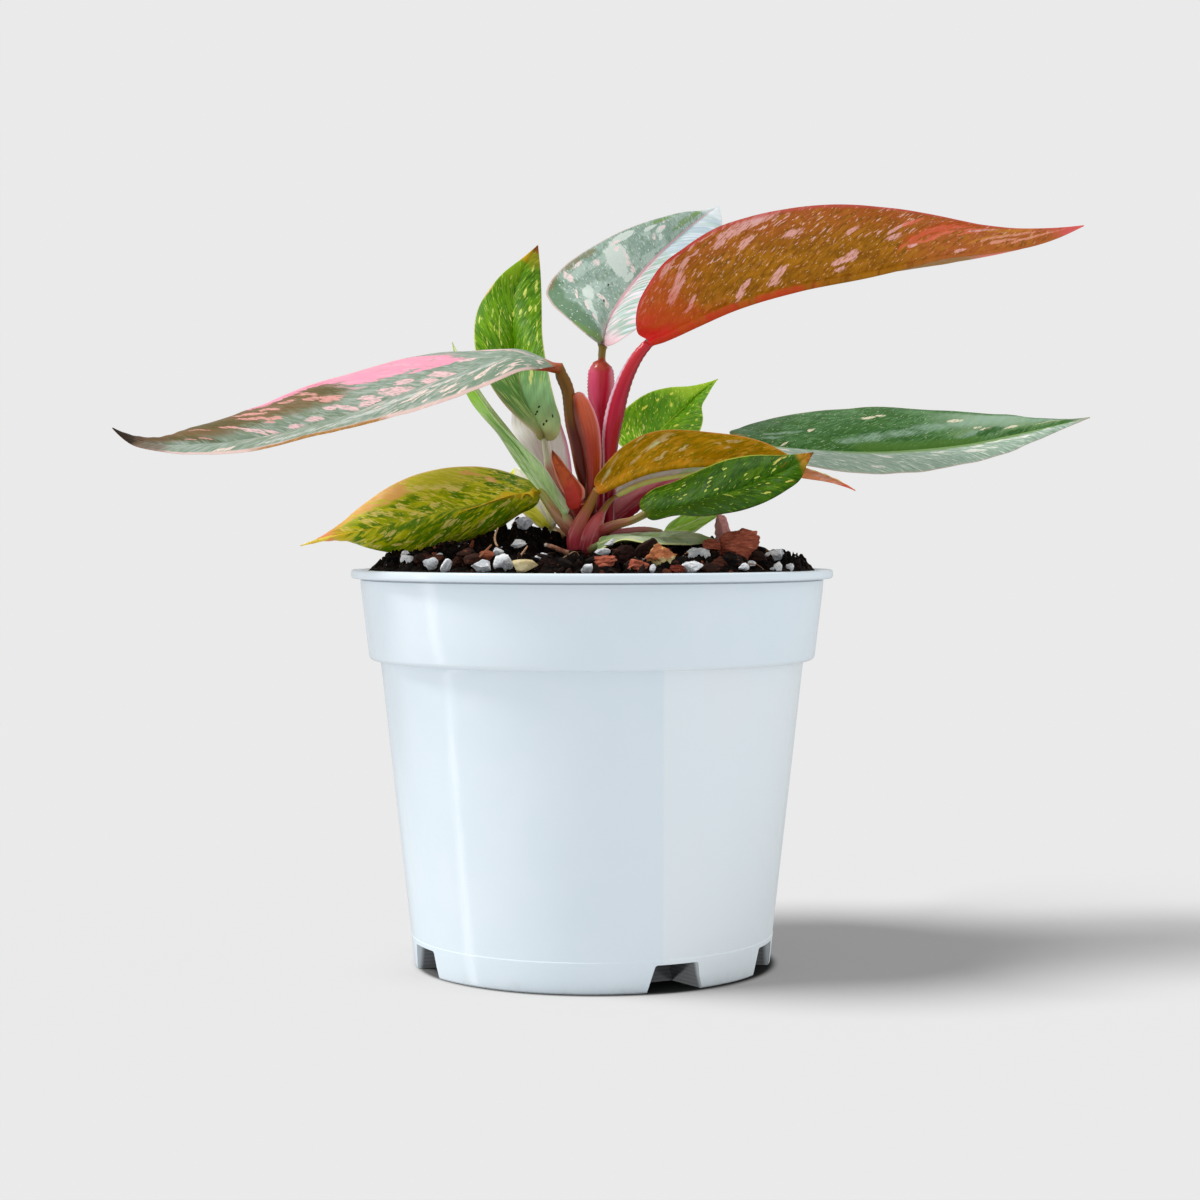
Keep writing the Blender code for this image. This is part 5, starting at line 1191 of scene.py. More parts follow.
            ((178, 84, 36), 0.9, ("u", 0.12, 0.03)),
            ((60, 38, 20), 1.0, ("u", 0.90, 0.95)),
        ],
        # Stalk: painted highlight, orange, on the left side of its middle stretch.
        stalk=((60, 10, 6), (96, 26, 8), (122, 84, 18), (140, 52, 24), dict(light_amount=0.25, m0=-0.9, m1=-0.42, m2=-0.26, lit_shaded_and_tinted_sides=[((176, 84, 44), 0.7, (-0.9, -0.3, 0.1), 0.75, 0.95, -0.7, -0.3)])),
        stalk_spec=0.25, stalk_rough=0.3,
    ),
    "leaf_top_back": dict(
        seed=3.0, slope=1.0, tilt=0.17, gap=5.0, spec=0.2,
        base=((132, 160, 144), (150, 176, 160), (112, 142, 118)),
        layers=[
            ((172, 196, 182), 0.7, ("dash", 0.60, 6, 13, 3, 0.03)),
            ((116, 146, 120), 0.45, ("fleck", 0.62, 2.2, 6, 4, 0.06)),
            ((186, 208, 198), 0.7, ("fleck", 0.62, 0.9, 3.0, 7, 0.02)),
            ((78, 116, 78), 0.85, ("spots", 0.28, 0.3, [(0.10, -0.80, 0.09, 0.26), (0.16, -0.85, 0.10, 0.22), (0.10, -0.7, 0.03, 0.2), (0.27, -0.9, 0.05, 0.12)])),
            ((120, 112, 72), 0.75, ("spots", 0.6, 0.2, [(0.38, -0.94, 0.05, 0.05), (0.44, -0.90, 0.03, 0.06), (0.31, -0.97, 0.03, 0.04)])),
            ((196, 214, 202), 0.95, ("spots", 0.28, 0.08, [(0.18, -0.47, 0.04, 0.06), (0.25, -0.48, 0.04, 0.08), (0.13, -0.42, 0.02, 0.04), (0.40, -0.34, 0.03, 0.20), (0.45, -0.54, 0.045, 0.28), (0.56, -0.84, 0.05, 0.10), (0.68, -0.54, 0.025, 0.10), (0.66, -0.72, 0.03, 0.06), (0.645, -0.33, 0.012, 0.08), (0.37, -0.12, 0.03, 0.05)])),
            ((234, 212, 206), 0.95, ("spots", 0.55, 0.07, [(0.12, -0.46, 0.022, 0.035), (0.18, -0.53, 0.030, 0.025), (0.25, -0.64, 0.030, 0.02), (0.325, -0.82, 0.010, 0.12), (0.235, -0.30, 0.012, 0.08), (0.20, -0.18, 0.014, 0.04), (0.22, -0.24, 0.012, 0.05), (0.40, -0.68, 0.012, 0.06), (0.38, -0.86, 0.016, 0.03), (0.46, -0.40, 0.005, 0.14), (0.43, -0.28, 0.008, 0.07), (0.41, -0.16, 0.012, 0.05), (0.49, -0.66, 0.012, 0.05), (0.52, -0.80, 0.02, 0.04), (0.69, -0.55, 0.016, 0.05), (0.73, -0.74, 0.008, 0.05), (0.63, -0.45, 0.008, 0.10)])),
            ((104, 140, 66), 0.9, ("spots", 0.5, 0.25, [(0.74, -0.86, 0.05, 0.08), (0.88, -0.55, 0.04, 0.28), (0.80, -0.40, 0.05, 0.14), (0.76, -0.30, 0.04, 0.06), (0.06, -0.8, 0.03, 0.3)])),
            ((236, 240, 234), 0.9, ("fleck", 0.675, 0.6, 1.8, 6, 0.015), ("v", 0.0, -0.1)),
            ((176, 200, 192), 0.95, ("v", -0.03, 0.03)),
            ((206, 188, 190), 0.9, ("v", -0.02, 0.02), ("v", 0.30, 0.04), ("u", 0.62, 0.45)),
            ((204, 218, 222), 0.85, ("v", 0.02, 0.12), ("fleck", 0.50, 2.4, 16, 9, 0.05)),
            ((140, 172, 152), 0.9, ("v", 0.02, 0.12), ("fleck", 0.50, 1.8, 14, 19, 0.03), ("u", 0.66, 0.46)),
            ((158, 184, 192), 0.75, ("v", 0.02, 0.08), ("fleck", 0.47, 1.6, 16, 23, 0.05), ("u", 0.50, 0.66)),
            ((228, 208, 214), 0.8, ("v", 0.05, 0.2), ("fleck", 0.56, 2.0, 14, 15, 0.04), ("u", 0.5, 0.3)),
            ((214, 186, 190), 0.9, ("rib", 2.0)),
            ((214, 176, 182), 0.9, ("u", 0.12, 0.04), ("v", -0.45, -0.15)),
            ((206, 222, 220), 0.9, ("u", 0.88, 0.96)),
            ((196, 176, 172), 0.7, ("edge", 0.965, 0.99)),
            ((50, 56, 46), 0.95, ("spots", 0.12, 0.2, [(0.215, -0.25, 0.007, 0.018), (0.305, -0.28, 0.005, 0.014), (0.475, -0.20, 0.004, 0.010)])),
        ],
        under=((166, 172, 128), (176, 184, 142), (150, 158, 110)),
        under_layers=[((214, 196, 170), 0.7, ("fleck", 0.62, 1.6, 8, 5, 0.04))],
        # Stalk: painted highlights, pink, on the left and right sides, and the hood's own orange-brown on its top.
        stalk=((160, 12, 40), (206, 28, 62), (128, 116, 42), (206, 70, 96), dict(light_amount=0.25, m0=-0.9, m1=-0.095, m2=-0.070, lit_shaded_and_tinted_sides=[((236, 92, 130), 0.8, (-0.8, -0.6, 0.1), 0.62, 0.9, -0.9, -0.13), ((228, 140, 160), 0.7, (0.93, -0.3, 0.0), 0.72, 0.95, -0.9, -0.13), ((168, 62, 30), 0.9, (0.0, -0.5, 0.86), 0.45, 0.85, -0.30, -0.10)])),
    ),
    "leaf_upright_left": dict(
        seed=4.0, slope=3.0, tilt=0.10, gap=4.6, spec=0.15,
        base=((76, 128, 0), (94, 144, 0), (52, 104, 0)),
        layers=[
            ((110, 158, 4), 0.5, ("fleck", 0.57, 2.2, 5.0, 3, 0.06)),
            ((44, 92, 0), 0.6, ("fleck", 0.57, 2.0, 4.4, 4, 0.06)),
            ((46, 92, 0), 0.6, ("spots", 0.5, 0.3, [(0.70, 0.30, 0.08, 0.2), (0.62, 0.5, 0.05, 0.12), (0.80, 0.55, 0.08, 0.14)])),
            ((166, 196, 66), 0.85, ("fleck", 0.645, 0.8, 2.4, 5, 0.02)),
            ((218, 224, 140), 0.9, ("fleck", 0.685, 0.7, 2.0, 6, 0.015)),
            ((204, 216, 118), 0.9, ("spots", 0.5, 0.15, [(0.62, 0.02, 0.014, 0.06), (0.63, 0.28, 0.014, 0.05), (0.735, 0.38, 0.025, 0.05), (0.655, 0.60, 0.016, 0.05), (0.665, 0.78, 0.020, 0.04), (0.78, 0.77, 0.035, 0.06), (0.87, 0.53, 0.020, 0.07), (0.80, -0.44, 0.010, 0.05), (0.58, 0.84, 0.025, 0.02), (0.47, 0.58, 0.012, 0.03), (0.62, -0.56, 0.024, 0.02), (0.55, -0.50, 0.014, 0.02), (0.60, -0.88, 0.02, 0.02), (0.50, 0.85, 0.03, 0.02)])),
            ((196, 212, 116), 0.9, ("spots", 0.3, 0.2, [(0.53, -0.38, 0.03, 0.014), (0.58, -0.37, 0.03, 0.014), (0.63, -0.34, 0.02, 0.012), (0.49, -0.70, 0.02, 0.014), (0.48, -0.36, 0.012, 0.02)])),
            ((128, 166, 20), 0.7, ("u", 0.72, 0.84), ("v", 0.1, -0.2)),
            ((96, 148, 84), 0.95, ("u", 0.42, 0.34)),
            ((176, 204, 136), 0.9, ("u", 0.40, 0.30), ("fleck", 0.56, 1.6, 4, 8, 0.04)),
            ((140, 188, 148), 0.9, ("u", 0.36, 0.26), ("v", -0.05, 0.15)),
            ((120, 172, 126), 0.6, ("u", 0.36, 0.26), ("v", -0.05, 0.15), ("fleck", 0.54, 1.4, 5, 18, 0.04)),
            ((216, 214, 190), 0.8, ("rib", 1.3), ("u", 0.40, 0.30)),
            ((214, 222, 150), 0.9, ("spots", 0.5, 0.2, [(0.30, 0.46, 0.02, 0.05), (0.33, 0.54, 0.02, 0.05)])),
            ((170, 192, 150), 0.8, ("u", 0.22, 0.06)),
            ((206, 190, 176), 0.6, ("u", 0.30, 0.16), ("v", -0.88, -0.97)),
            ((150, 146, 104), 0.8, ("u", 0.09, 0.03)),
            ((26, 30, 24), 0.95, ("spots", 0.25, 0.15, [(0.140, 0.22, 0.004, 0.05), (0.155, 0.32, 0.004, 0.06), (0.180, 0.46, 0.004, 0.05), (0.095, 0.38, 0.006, 0.05), (0.115, 0.52, 0.006, 0.05), (0.145, 0.78, 0.008, 0.03)])),
            ((196, 160, 30), 0.9, ("u", 0.88, 0.92), ("v", 0.3, -0.1)),
            ((150, 140, 20), 0.7, ("u", 0.86, 0.93), ("v", 0.0, 0.3)),
            ((232, 190, 150), 0.8, ("spots", 0.4, 0.3, [(0.735, -0.97, 0.03, 0.05)])),
            ((124, 60, 20), 0.95, ("u", 0.955, 0.985)),
            ((222, 214, 160), 0.5, ("edge", 0.965, 0.99)),
        ],
        under=((120, 140, 60), (140, 156, 80), (104, 124, 46)),
        under_layers=[],
        stalk=((176, 84, 84), (200, 132, 112), (214, 216, 186), (226, 186, 164), dict(m0=-0.85, m1=-0.35, m2=-0.22)),
    ),
    "leaf_narrow_left": dict(
        seed=5.0, slope=3.0, tilt=0.08, gap=6.0, spec=0.2,
        base=((160, 196, 136), (178, 208, 158), (140, 182, 112)),
        layers=[
            ((196, 220, 188), 0.4, ("dash", 0.56, 1.2, 18, 3, 0.06)),
            ((128, 186, 40), 0.85, ("u", 0.50, 0.72)),
            ((116, 168, 84), 0.7, ("dash", 0.58, 0.7, 18, 8, 0.04)),
            ((150, 184, 122), 0.6, ("spots", 0.5, 0.3, [(0.10, -0.2, 0.05, 0.3), (0.22, 0.4, 0.04, 0.3)])),
            ((240, 222, 200), 0.7, ("edge", 0.86, 0.96), ("v", -0.1, 0.1), ("u", 0.5, 0.35)),
            ((120, 172, 84), 0.6, ("rib", 0.35)),
            ((150, 130, 40), 0.9, ("u", 0.90, 0.96)),
        ],
        under=((160, 190, 130), (176, 204, 150)), under_layers=[],
        stalk=((160, 62, 56), (190, 120, 96), (170, 170, 110)),
    ),
    "leaf_low_left": dict(
        seed=6.0, slope=1.7, tilt=0.16, gap=4.8, spec=0.18,
        base=((102, 114, 0), (130, 132, 10), (70, 92, 0)),
        layers=[
            ((54, 86, 0), 0.9, ("fleck", 0.53, 3.2, 5.2, 3, 0.04)),
            ((150, 146, 50), 0.8, ("fleck", 0.58, 1.8, 4.6, 4, 0.04)),
            ((56, 90, 0), 0.9, ("spots", 0.6, 0.3, [(0.10, 0.45, 0.03, 0.12), (0.16, 0.66, 0.03, 0.12), (0.55, 0.40, 0.05, 0.08), (0.20, -0.6, 0.08, 0.2), (0.46, 0.14, 0.05, 0.06), (0.55, -0.16, 0.08, 0.10), (0.48, -0.5, 0.05, 0.16), (0.60, 0.18, 0.03, 0.06)])),
            ((150, 144, 60), 0.75, ("v", 0.40, 0.62), ("u", 0.24, 0.36)),
            ((152, 142, 88), 0.9, ("fleck", 0.60, 1.2, 3.6, 5, 0.025), ("v", -0.1, 0.1)),
            ((154, 142, 112), 0.95, ("fleck", 0.645, 1.3, 3.0, 6, 0.02)),
            ((168, 158, 142), 0.95, ("fleck", 0.675, 0.7, 1.8, 9, 0.015)),
            ((160, 148, 128), 0.95, ("spots", 0.6, 0.09, [
                (0.16, -0.20, 0.020, 0.07), (0.28, -0.50, 0.012, 0.13), (0.22, -0.32, 0.008, 0.08), (0.395, -0.30, 0.026, 0.10), (0.42, -0.38, 0.014, 0.05), (0.46, -0.62, 0.016, 0.06), (0.575, -0.62, 0.018, 0.03), (0.62, -0.68, 0.020, 0.04),
                (0.635, -0.28, 0.018, 0.13), (0.44, 0.17, 0.018, 0.05), (0.49, 0.06, 0.018, 0.025), (0.53, 0.10, 0.018, 0.03), (0.63, 0.26, 0.022, 0.07), (0.67, 0.38, 0.026, 0.10), (0.72, 0.26, 0.018, 0.08), (0.58, 0.36, 0.010, 0.08), (0.16, 0.34, 0.010, 0.08), (0.70, -0.76, 0.014, 0.10), (0.76, -0.55, 0.008, 0.2),
                (0.37, 0.44, 0.030, 0.06), (0.43, 0.54, 0.035, 0.07), (0.51, 0.62, 0.035, 0.07), (0.58, 0.70, 0.045, 0.09)])),
            ((166, 124, 112), 0.95, ("spots", 0.6, 0.12, [(0.24, 0.64, 0.022, 0.13), (0.33, 0.80, 0.028, 0.06), (0.29, 0.74, 0.014, 0.04), (0.60, 0.74, 0.04, 0.08), (0.66, 0.88, 0.06, 0.14), (0.73, 0.80, 0.03, 0.16), (0.57, 0.62, 0.03, 0.05)])),
            ((174, 138, 140), 0.85, ("spots", 0.5, 0.2, [(0.67, 0.88, 0.035, 0.10), (0.75, 0.86, 0.02, 0.10), (0.24, 0.62, 0.012, 0.08)])),
            ((160, 120, 106), 0.9, ("v", 0.50, 0.57), ("u", 0.53, 0.58), ("fleck", 0.40, 1.6, 4.0, 31, 0.04)),
            ((146, 110, 44), 0.8, ("u", 0.76, 0.86)),
            ((150, 140, 6), 0.6, ("u", 0.76, 0.84), ("v", 0.1, -0.1)),
            ((162, 92, 104), 0.9, ("u", 0.83, 0.90)),
            ((178, 148, 120), 0.9, ("spots", 0.3, 0.3, [(0.845, -0.10, 0.005, 0.14)])),
            ((116, 70, 4), 0.6, ("spots", 0.3, 0.3, [(0.855, 0.36, 0.006, 0.2)])),
            ((160, 100, 104), 0.9, ("u", 0.945, 0.975)),
            ((104, 112, 36), 0.7, ("rib", 1.0), ("u", 0.5, 0.3)),
            ((112, 116, 44), 0.8, ("u", 0.08, 0.02)),
            ((166, 134, 130), 0.7, ("edge", 0.94, 0.985), ("v", 0, 0.1), ("u", 0.05, 0.15)),
            ((146, 106, 56), 0.7, ("edge", 0.95, 0.985), ("v", 0, -0.1)),
        ],
        under=((150, 128, 36), (166, 142, 50), (134, 112, 26)),
        under_layers=[((220, 180, 120), 0.8, ("fleck", 0.66, 1.2, 5, 5, 0.03)), ((224, 150, 96), 0.8, ("u", 0.8, 0.92))],
        stalk=((150, 66, 56), (176, 130, 84), (172, 176, 84), (214, 190, 150)),
    ),
    "leaf_arching_right": dict(
        seed=7.0, slope=1.4, tilt=0.22, gap=4.6, spec=0.15,
        base=((120, 140, 60), (136, 152, 72), (104, 124, 46)),
        layers=[((214, 190, 140), 0.8, ("fleck", 0.66, 1.4, 6, 5, 0.03)), ((206, 90, 60), 0.8, ("u", 0.88, 0.96))],
        under=((138, 104, 0), (158, 122, 12), (112, 92, 0)),
        under_layers=[
            ((176, 130, 34), 0.6, ("fleck", 0.55, 2.0, 4.6, 3, 0.06), ("v", 0.00, 0.05)),
            ((104, 96, 0), 0.6, ("fleck", 0.58, 1.7, 4.2, 4, 0.05), ("v", 0.00, 0.05)),
            ((150, 108, 20), 0.4, ("u", 0.12, 0.03)),
            ((196, 148, 54), 0.7, ("fleck", 0.64, 1.0, 2.8, 11, 0.025), ("v", 0.00, 0.05)),
            ((224, 170, 96), 0.9, ("fleck", 0.69, 0.8, 2.4, 5, 0.015), ("v", 0.00, 0.05)),
            ((224, 156, 106), 0.92, ("spots", 0.62, 0.16, [
                (0.085, 0.55, 0.024, 0.12), (0.115, 0.68, 0.020, 0.10), (0.15, 0.78, 0.020, 0.10), (0.07, 0.48, 0.016, 0.06), (0.27, 0.56, 0.022, 0.08), (0.31, 0.66, 0.022, 0.09), (0.345, 0.80, 0.016, 0.08), (0.365, 0.36, 0.014, 0.06), (0.385, 0.45, 0.010, 0.05),
                (0.19, 0.36, 0.016, 0.05), (0.22, 0.44, 0.010, 0.05), (0.27, 0.22, 0.018, 0.04), (0.30, 0.32, 0.008, 0.05), (0.265, 0.92, 0.012, 0.05), (0.50, 0.60, 0.010, 0.04), (0.56, 0.76, 0.016, 0.07), (0.24, 0.80, 0.008, 0.05), (0.53, 0.5, 0.008, 0.04)])),
            ((240, 184, 140), 0.8, ("spots", 0.5, 0.2, [(0.10, 0.60, 0.016, 0.08), (0.29, 0.60, 0.014, 0.06), (0.375, 0.40, 0.006, 0.04)])),
            ((186, 112, 30), 0.8, ("u", 0.05, 0.01)),
            ((206, 112, 60), 0.7, ("edge", 0.95, 0.985)),
            ((222, 112, 80), 0.9, ("u", 0.73, 0.82)),
            ((236, 140, 120), 0.8, ("fleck", 0.54, 1.6, 6, 14, 0.05), ("u", 0.78, 0.84)),
            ((206, 70, 56), 0.8, ("u", 0.90, 0.96)),
        ],
        stalk=((182, 60, 72), (178, 96, 74), (150, 108, 34), (222, 130, 120), dict(m0=-0.75, m1=-0.45, m2=-0.2)),
    ),
    "leaf_low_right": dict(
        seed=8.0, slope=1.5, tilt=0.2, gap=4.4, spec=0.08,
        base=((58, 104, 0), (80, 126, 2), (44, 86, 0)),
        layers=[
            ((88, 136, 0), 0.5, ("fleck", 0.56, 2.6, 5.0, 3, 0.06)),
            ((40, 80, 0), 0.7, ("fleck", 0.57, 1.2, 3.2, 4, 0.04)),
            ((40, 76, 0), 0.7, ("v", 0.1, 0.35), ("u", 0.8, 0.5)),
            ((112, 148, 22), 0.7, ("spots", 0.5, 0.3, [(0.54, 0.30, 0.03, 0.14), (0.72, 0.6, 0.03, 0.2), (0.66, -0.3, 0.05, 0.14)])),
            ((140, 176, 70), 0.8, ("fleck", 0.67, 0.8, 2.2, 9, 0.02)),
            ((244, 250, 236), 0.9, ("fleck", 0.70, 0.7, 2.2, 5, 0.015)),
            ((240, 246, 236), 0.9, ("spots", 0.4, 0.2, [(0.24, -0.23, 0.012, 0.02), (0.275, -0.29, 0.014, 0.02), (0.425, -0.42, 0.012, 0.03), (0.445, -0.52, 0.012, 0.03), (0.41, -0.30, 0.012, 0.02), (0.44, -0.16, 0.014, 0.025), (0.26, -0.56, 0.014, 0.02), (0.30, -0.62, 0.010, 0.02), (0.53, -0.66, 0.012, 0.03), (0.515, -0.44, 0.006, 0.03), (0.77, -0.20, 0.012, 0.05), (0.62, -0.32, 0.008, 0.03), (0.385, -0.22, 0.008, 0.03), (0.37, 0.1, 0.008, 0.12), (0.50, 0.32, 0.006, 0.16)])),
            ((252, 252, 250), 0.95, ("spots", 0.35, 0.12, [(0.67, -0.14, 0.016, 0.02), (0.615, -0.18, 0.010, 0.015)])),
            ((250, 232, 224), 0.95, ("spots", 0.45, 0.12, [(0.835, -0.72, 0.014, 0.10), (0.80, -0.56, 0.012, 0.08), (0.785, -0.45, 0.010, 0.05), (0.70, 0.75, 0.012, 0.05), (0.82, 0.72, 0.018, 0.06), (0.715, 0.38, 0.008, 0.04), (0.78, 0.34, 0.006, 0.05)])),
            ((150, 110, 30), 0.7, ("spots", 0.5, 0.3, [(0.83, -0.30, 0.012, 0.12), (0.84, -0.80, 0.010, 0.10), (0.83, 0.82, 0.010, 0.05)])),
            ((104, 124, 50), 0.7, ("u", 0.10, 0.03)),
            ((140, 176, 100), 0.6, ("fleck", 0.56, 1.2, 2.6, 19, 0.04), ("v", -0.45, -0.7), ("u", 0.36, 0.2)),
            ((216, 152, 88), 0.9, ("u", 0.885, 0.925)),
            ((196, 104, 50), 0.8, ("u", 0.925, 0.95), ("fleck", 0.48, 1.2, 6, 20, 0.06)),
            ((140, 76, 54), 0.95, ("u", 0.965, 0.99)),
            ((222, 224, 180), 0.85, ("edge", 0.93, 0.97), ("v", 0, -0.1), ("u", 0.1, 0.2)),
            ((60, 40, 16), 0.5, ("edge", 0.96, 0.985), ("v", 0, 0.1)),
        ],
        under=((104, 120, 40), (120, 134, 56), (90, 106, 30)), under_layers=[],
        # Stalk: a paler tan on the side that faces up.
        stalk=((158, 62, 64), (160, 104, 70), (140, 132, 70), (196, 160, 120), dict(lit_shaded_and_tinted_sides=[((190, 164, 110), 0.7, (0.0, -0.3, 0.95), 0.6, 0.9, -0.8, -0.1)])),
    ),
    "leaf_folded_right": dict(
        seed=9.0, slope=2.0, tilt=0.2, gap=5.0,
        base=((206, 212, 190), (222, 226, 208), (180, 190, 150)),
        layers=[((104, 150, 70), 0.9, ("spots", 0.5, 0.2, [(0.30, 0.5, 0.06, 0.4), (0.75, 0, 0.1, 0.5)]))],
        under=((226, 232, 218), (238, 242, 232), (206, 214, 186)),
        under_layers=[
            ((112, 150, 84), 0.85, ("spots", 0.5, 0.25, [(0.18, -0.1, 0.03, 0.12), (0.22, 0.9, 0.03, 0.2), (0.33, 0.6, 0.012, 0.3), (0.60, 0.5, 0.06, 0.5), (0.75, -0.2, 0.08, 0.5)])),
            ((150, 160, 110), 0.6, ("fleck", 0.60, 0.8, 10, 4, 0.05)),
            ((150, 132, 60), 0.9, ("rib", 0.42)),
            ((206, 170, 140), 0.6, ("edge", 0.9, 0.97)),
        ],
        stalk=((170, 60, 70), (196, 92, 90), (146, 116, 40), (224, 140, 128), dict(m0=-0.9, m1=-0.45, m2=-0.30)),
    ),
    "leaf_long_right": dict(
        seed=10.0, slope=1.7, tilt=0.24, gap=4.8, spec=0.18,
        base=((50, 98, 40), (74, 120, 66), (36, 80, 22)),
        layers=[
            ((44, 92, 16), 0.7, ("dash", 0.53, 5, 12, 3, 0.05), ("v", 0.0, -0.1)),
            ((92, 134, 84), 0.7, ("fleck", 0.57, 1.3, 3.6, 17, 0.04)),
            ((138, 168, 140), 0.85, ("u", 0.54, 0.70), ("v", -0.16, -0.5), ("v", -0.93, -0.76), ("u", 0.92, 0.80)),
            ((126, 160, 120), 0.7, ("fleck", 0.66, 0.8, 2.6, 4, 0.025)),
            ((184, 206, 170), 0.9, ("fleck", 0.685, 0.7, 2.2, 5, 0.02)),
            ((228, 232, 212), 0.95, ("fleck", 0.705, 0.6, 1.8, 6, 0.015)),
            ((136, 168, 148), 0.75, ("spots", 0.35, 0.6, [(0.33, -0.20, 0.03, 0.05), (0.40, -0.25, 0.04, 0.07), (0.48, -0.30, 0.05, 0.06), (0.57, -0.42, 0.05, 0.08), (0.65, -0.50, 0.04, 0.08), (0.75, -0.66, 0.06, 0.18), (0.84, -0.5, 0.05, 0.3), (0.16, -0.42, 0.06, 0.03), (0.12, -0.30, 0.03, 0.04), (0.66, -0.22, 0.03, 0.08)])),
            ((112, 146, 92), 0.6, ("spots", 0.5, 0.4, [(0.64, -0.26, 0.03, 0.08), (0.80, -0.30, 0.04, 0.2), (0.88, -0.30, 0.03, 0.2)])),
            ((220, 214, 190), 0.95, ("spots", 0.45, 0.1, [(0.425, -0.66, 0.020, 0.03), (0.46, -0.70, 0.012, 0.025), (0.64, -0.58, 0.020, 0.04), (0.78, -0.28, 0.014, 0.05), (0.71, -0.30, 0.014, 0.04), (0.69, -0.36, 0.010, 0.03), (0.14, -0.12, 0.005, 0.07), (0.25, -0.45, 0.010, 0.04), (0.905, -0.5, 0.006, 0.22)])),
            ((40, 88, 30), 0.95, ("spots", 0.6, 0.15, [(0.715, -0.24, 0.030, 0.10), (0.78, -0.12, 0.02, 0.05), (0.73, -0.28, 0.008, 0.05)])),
            ((72, 114, 34), 0.75, ("v", -0.20, -0.10), ("v", 0.0, -0.02), ("u", 0.28, 0.36), ("u", 0.74, 0.64)),
            ((118, 152, 96), 0.95, ("v", 0.02, 0.06)),
            ((88, 130, 84), 0.8, ("v", 0.02, 0.06), ("u", 0.34, 0.24)),
            ((150, 176, 162), 0.9, ("v", 0.28, 0.46)),
            ((186, 206, 192), 0.85, ("v", 0.28, 0.46), ("fleck", 0.56, 1.2, 4.4, 9, 0.03)),
            ((122, 152, 132), 0.8, ("v", 0.36, 0.5), ("fleck", 0.57, 1.0, 4.0, 21, 0.03)),
            ((212, 224, 216), 0.9, ("v", 0.2, 0.4), ("fleck", 0.63, 1.4, 4.6, 12, 0.02)),
            ((230, 234, 228), 0.9, ("spots", 0.6, 0.12, [(0.40, 0.50, 0.012, 0.10), (0.39, 0.85, 0.016, 0.03), (0.65, 0.66, 0.025, 0.08), (0.70, 0.68, 0.012, 0.05), (0.66, 0.48, 0.02, 0.06), (0.72, 0.40, 0.03, 0.06), (0.80, 0.55, 0.02, 0.10), (0.55, 0.50, 0.02, 0.04), (0.15, 0.54, 0.014, 0.05)])),
            ((100, 142, 70), 0.6, ("v", 0.02, 0.06), ("v", 0.36, 0.26), ("fleck", 0.50, 1.6, 8, 22, 0.05)),
            ((168, 190, 110), 0.9, ("rib", 0.85)),
            ((150, 156, 146), 0.6, ("u", 0.92, 0.98)),
            ((196, 176, 166), 0.6, ("edge", 0.97, 0.992)),
            ((196, 170, 120), 0.8, ("u", 0.05, 0.01)),
        ],
        under=((150, 112, 44), (166, 124, 56), (130, 92, 26)),
        under_layers=[((206, 150, 96), 0.8, ("fleck", 0.64, 1.0, 6, 5, 0.03)), ((196, 90, 50), 0.8, ("edge", 0.9, 0.98))],
        # Stalk: painted highlight, mauve, on the upper side.
        stalk=((150, 30, 46), (178, 60, 74), (186, 90, 92), (222, 150, 160), dict(light_amount=0.3, lit_shaded_and_tinted_sides=[((206, 126, 132), 0.8, (-0.3, -0.6, 0.74), 0.55, 0.9, -0.9, -0.3)])),
    ),
    "leaf_back_right": dict(
        seed=11.0, slope=1.6, tilt=0.24, gap=4.4, spec=0.15,
        base=((72, 128, 6), (94, 146, 24), (54, 106, 0)),
        layers=[
            ((112, 160, 40), 0.5, ("fleck", 0.58, 2.4, 5.0, 3, 0.06)),
            ((60, 114, 0), 0.7, ("fleck", 0.57, 1.4, 4.0, 4, 0.04)),
            ((58, 110, 0), 0.6, ("spots", 0.6, 0.3, [(0.44, -0.75, 0.08, 0.2), (0.50, -0.55, 0.05, 0.12), (0.30, -0.5, 0.04, 0.1), (0.80, 0.62, 0.06, 0.14), (0.5, 0.12, 0.08, 0.04)])),
            ((136, 176, 50), 0.8, ("u", 0.50, 0.72), ("v", -0.05, -0.3)),
            ((170, 198, 100), 0.85, ("fleck", 0.645, 0.8, 2.6, 5, 0.02)),
            ((214, 226, 150), 0.9, ("fleck", 0.69, 0.7, 2.0, 6, 0.015)),
            ((190, 214, 110), 0.9, ("spots", 0.4, 0.2, [(0.52, 0.38, 0.012, 0.05), (0.56, 0.38, 0.010, 0.04), (0.62, 0.39, 0.014, 0.05), (0.37, 0.34, 0.02, 0.04), (0.46, 0.72, 0.012, 0.04), (0.52, 0.76, 0.012, 0.04), (0.60, -0.66, 0.014, 0.05), (0.40, -0.70, 0.02, 0.03), (0.49, -0.66, 0.012, 0.04), (0.51, -0.32, 0.014, 0.05)])),
            ((206, 210, 160), 0.7, ("fleck", 0.60, 1.0, 4.0, 12, 0.03), ("u", 0.34, 0.24), ("v", -0.25, -0.4)),
            ((150, 186, 104), 0.9, ("rib", 1.0)),
            ((140, 168, 70), 0.6, ("u", 0.86, 0.96)),
            ((196, 200, 130), 0.4, ("edge", 0.95, 0.985)),
        ],
        under=((130, 150, 70), (146, 164, 88)), under_layers=[],
        stalk=((160, 60, 70), (180, 110, 96), (150, 160, 80)),
    ),
    "leaf_on_mix": dict(
        seed=12.0, slope=1.5, tilt=0.2, gap=4.4,
        base=((150, 174, 154), (166, 186, 168), (118, 146, 110)),
        layers=[
            ((124, 154, 100), 0.8, ("u", 0.20, 0.08)),
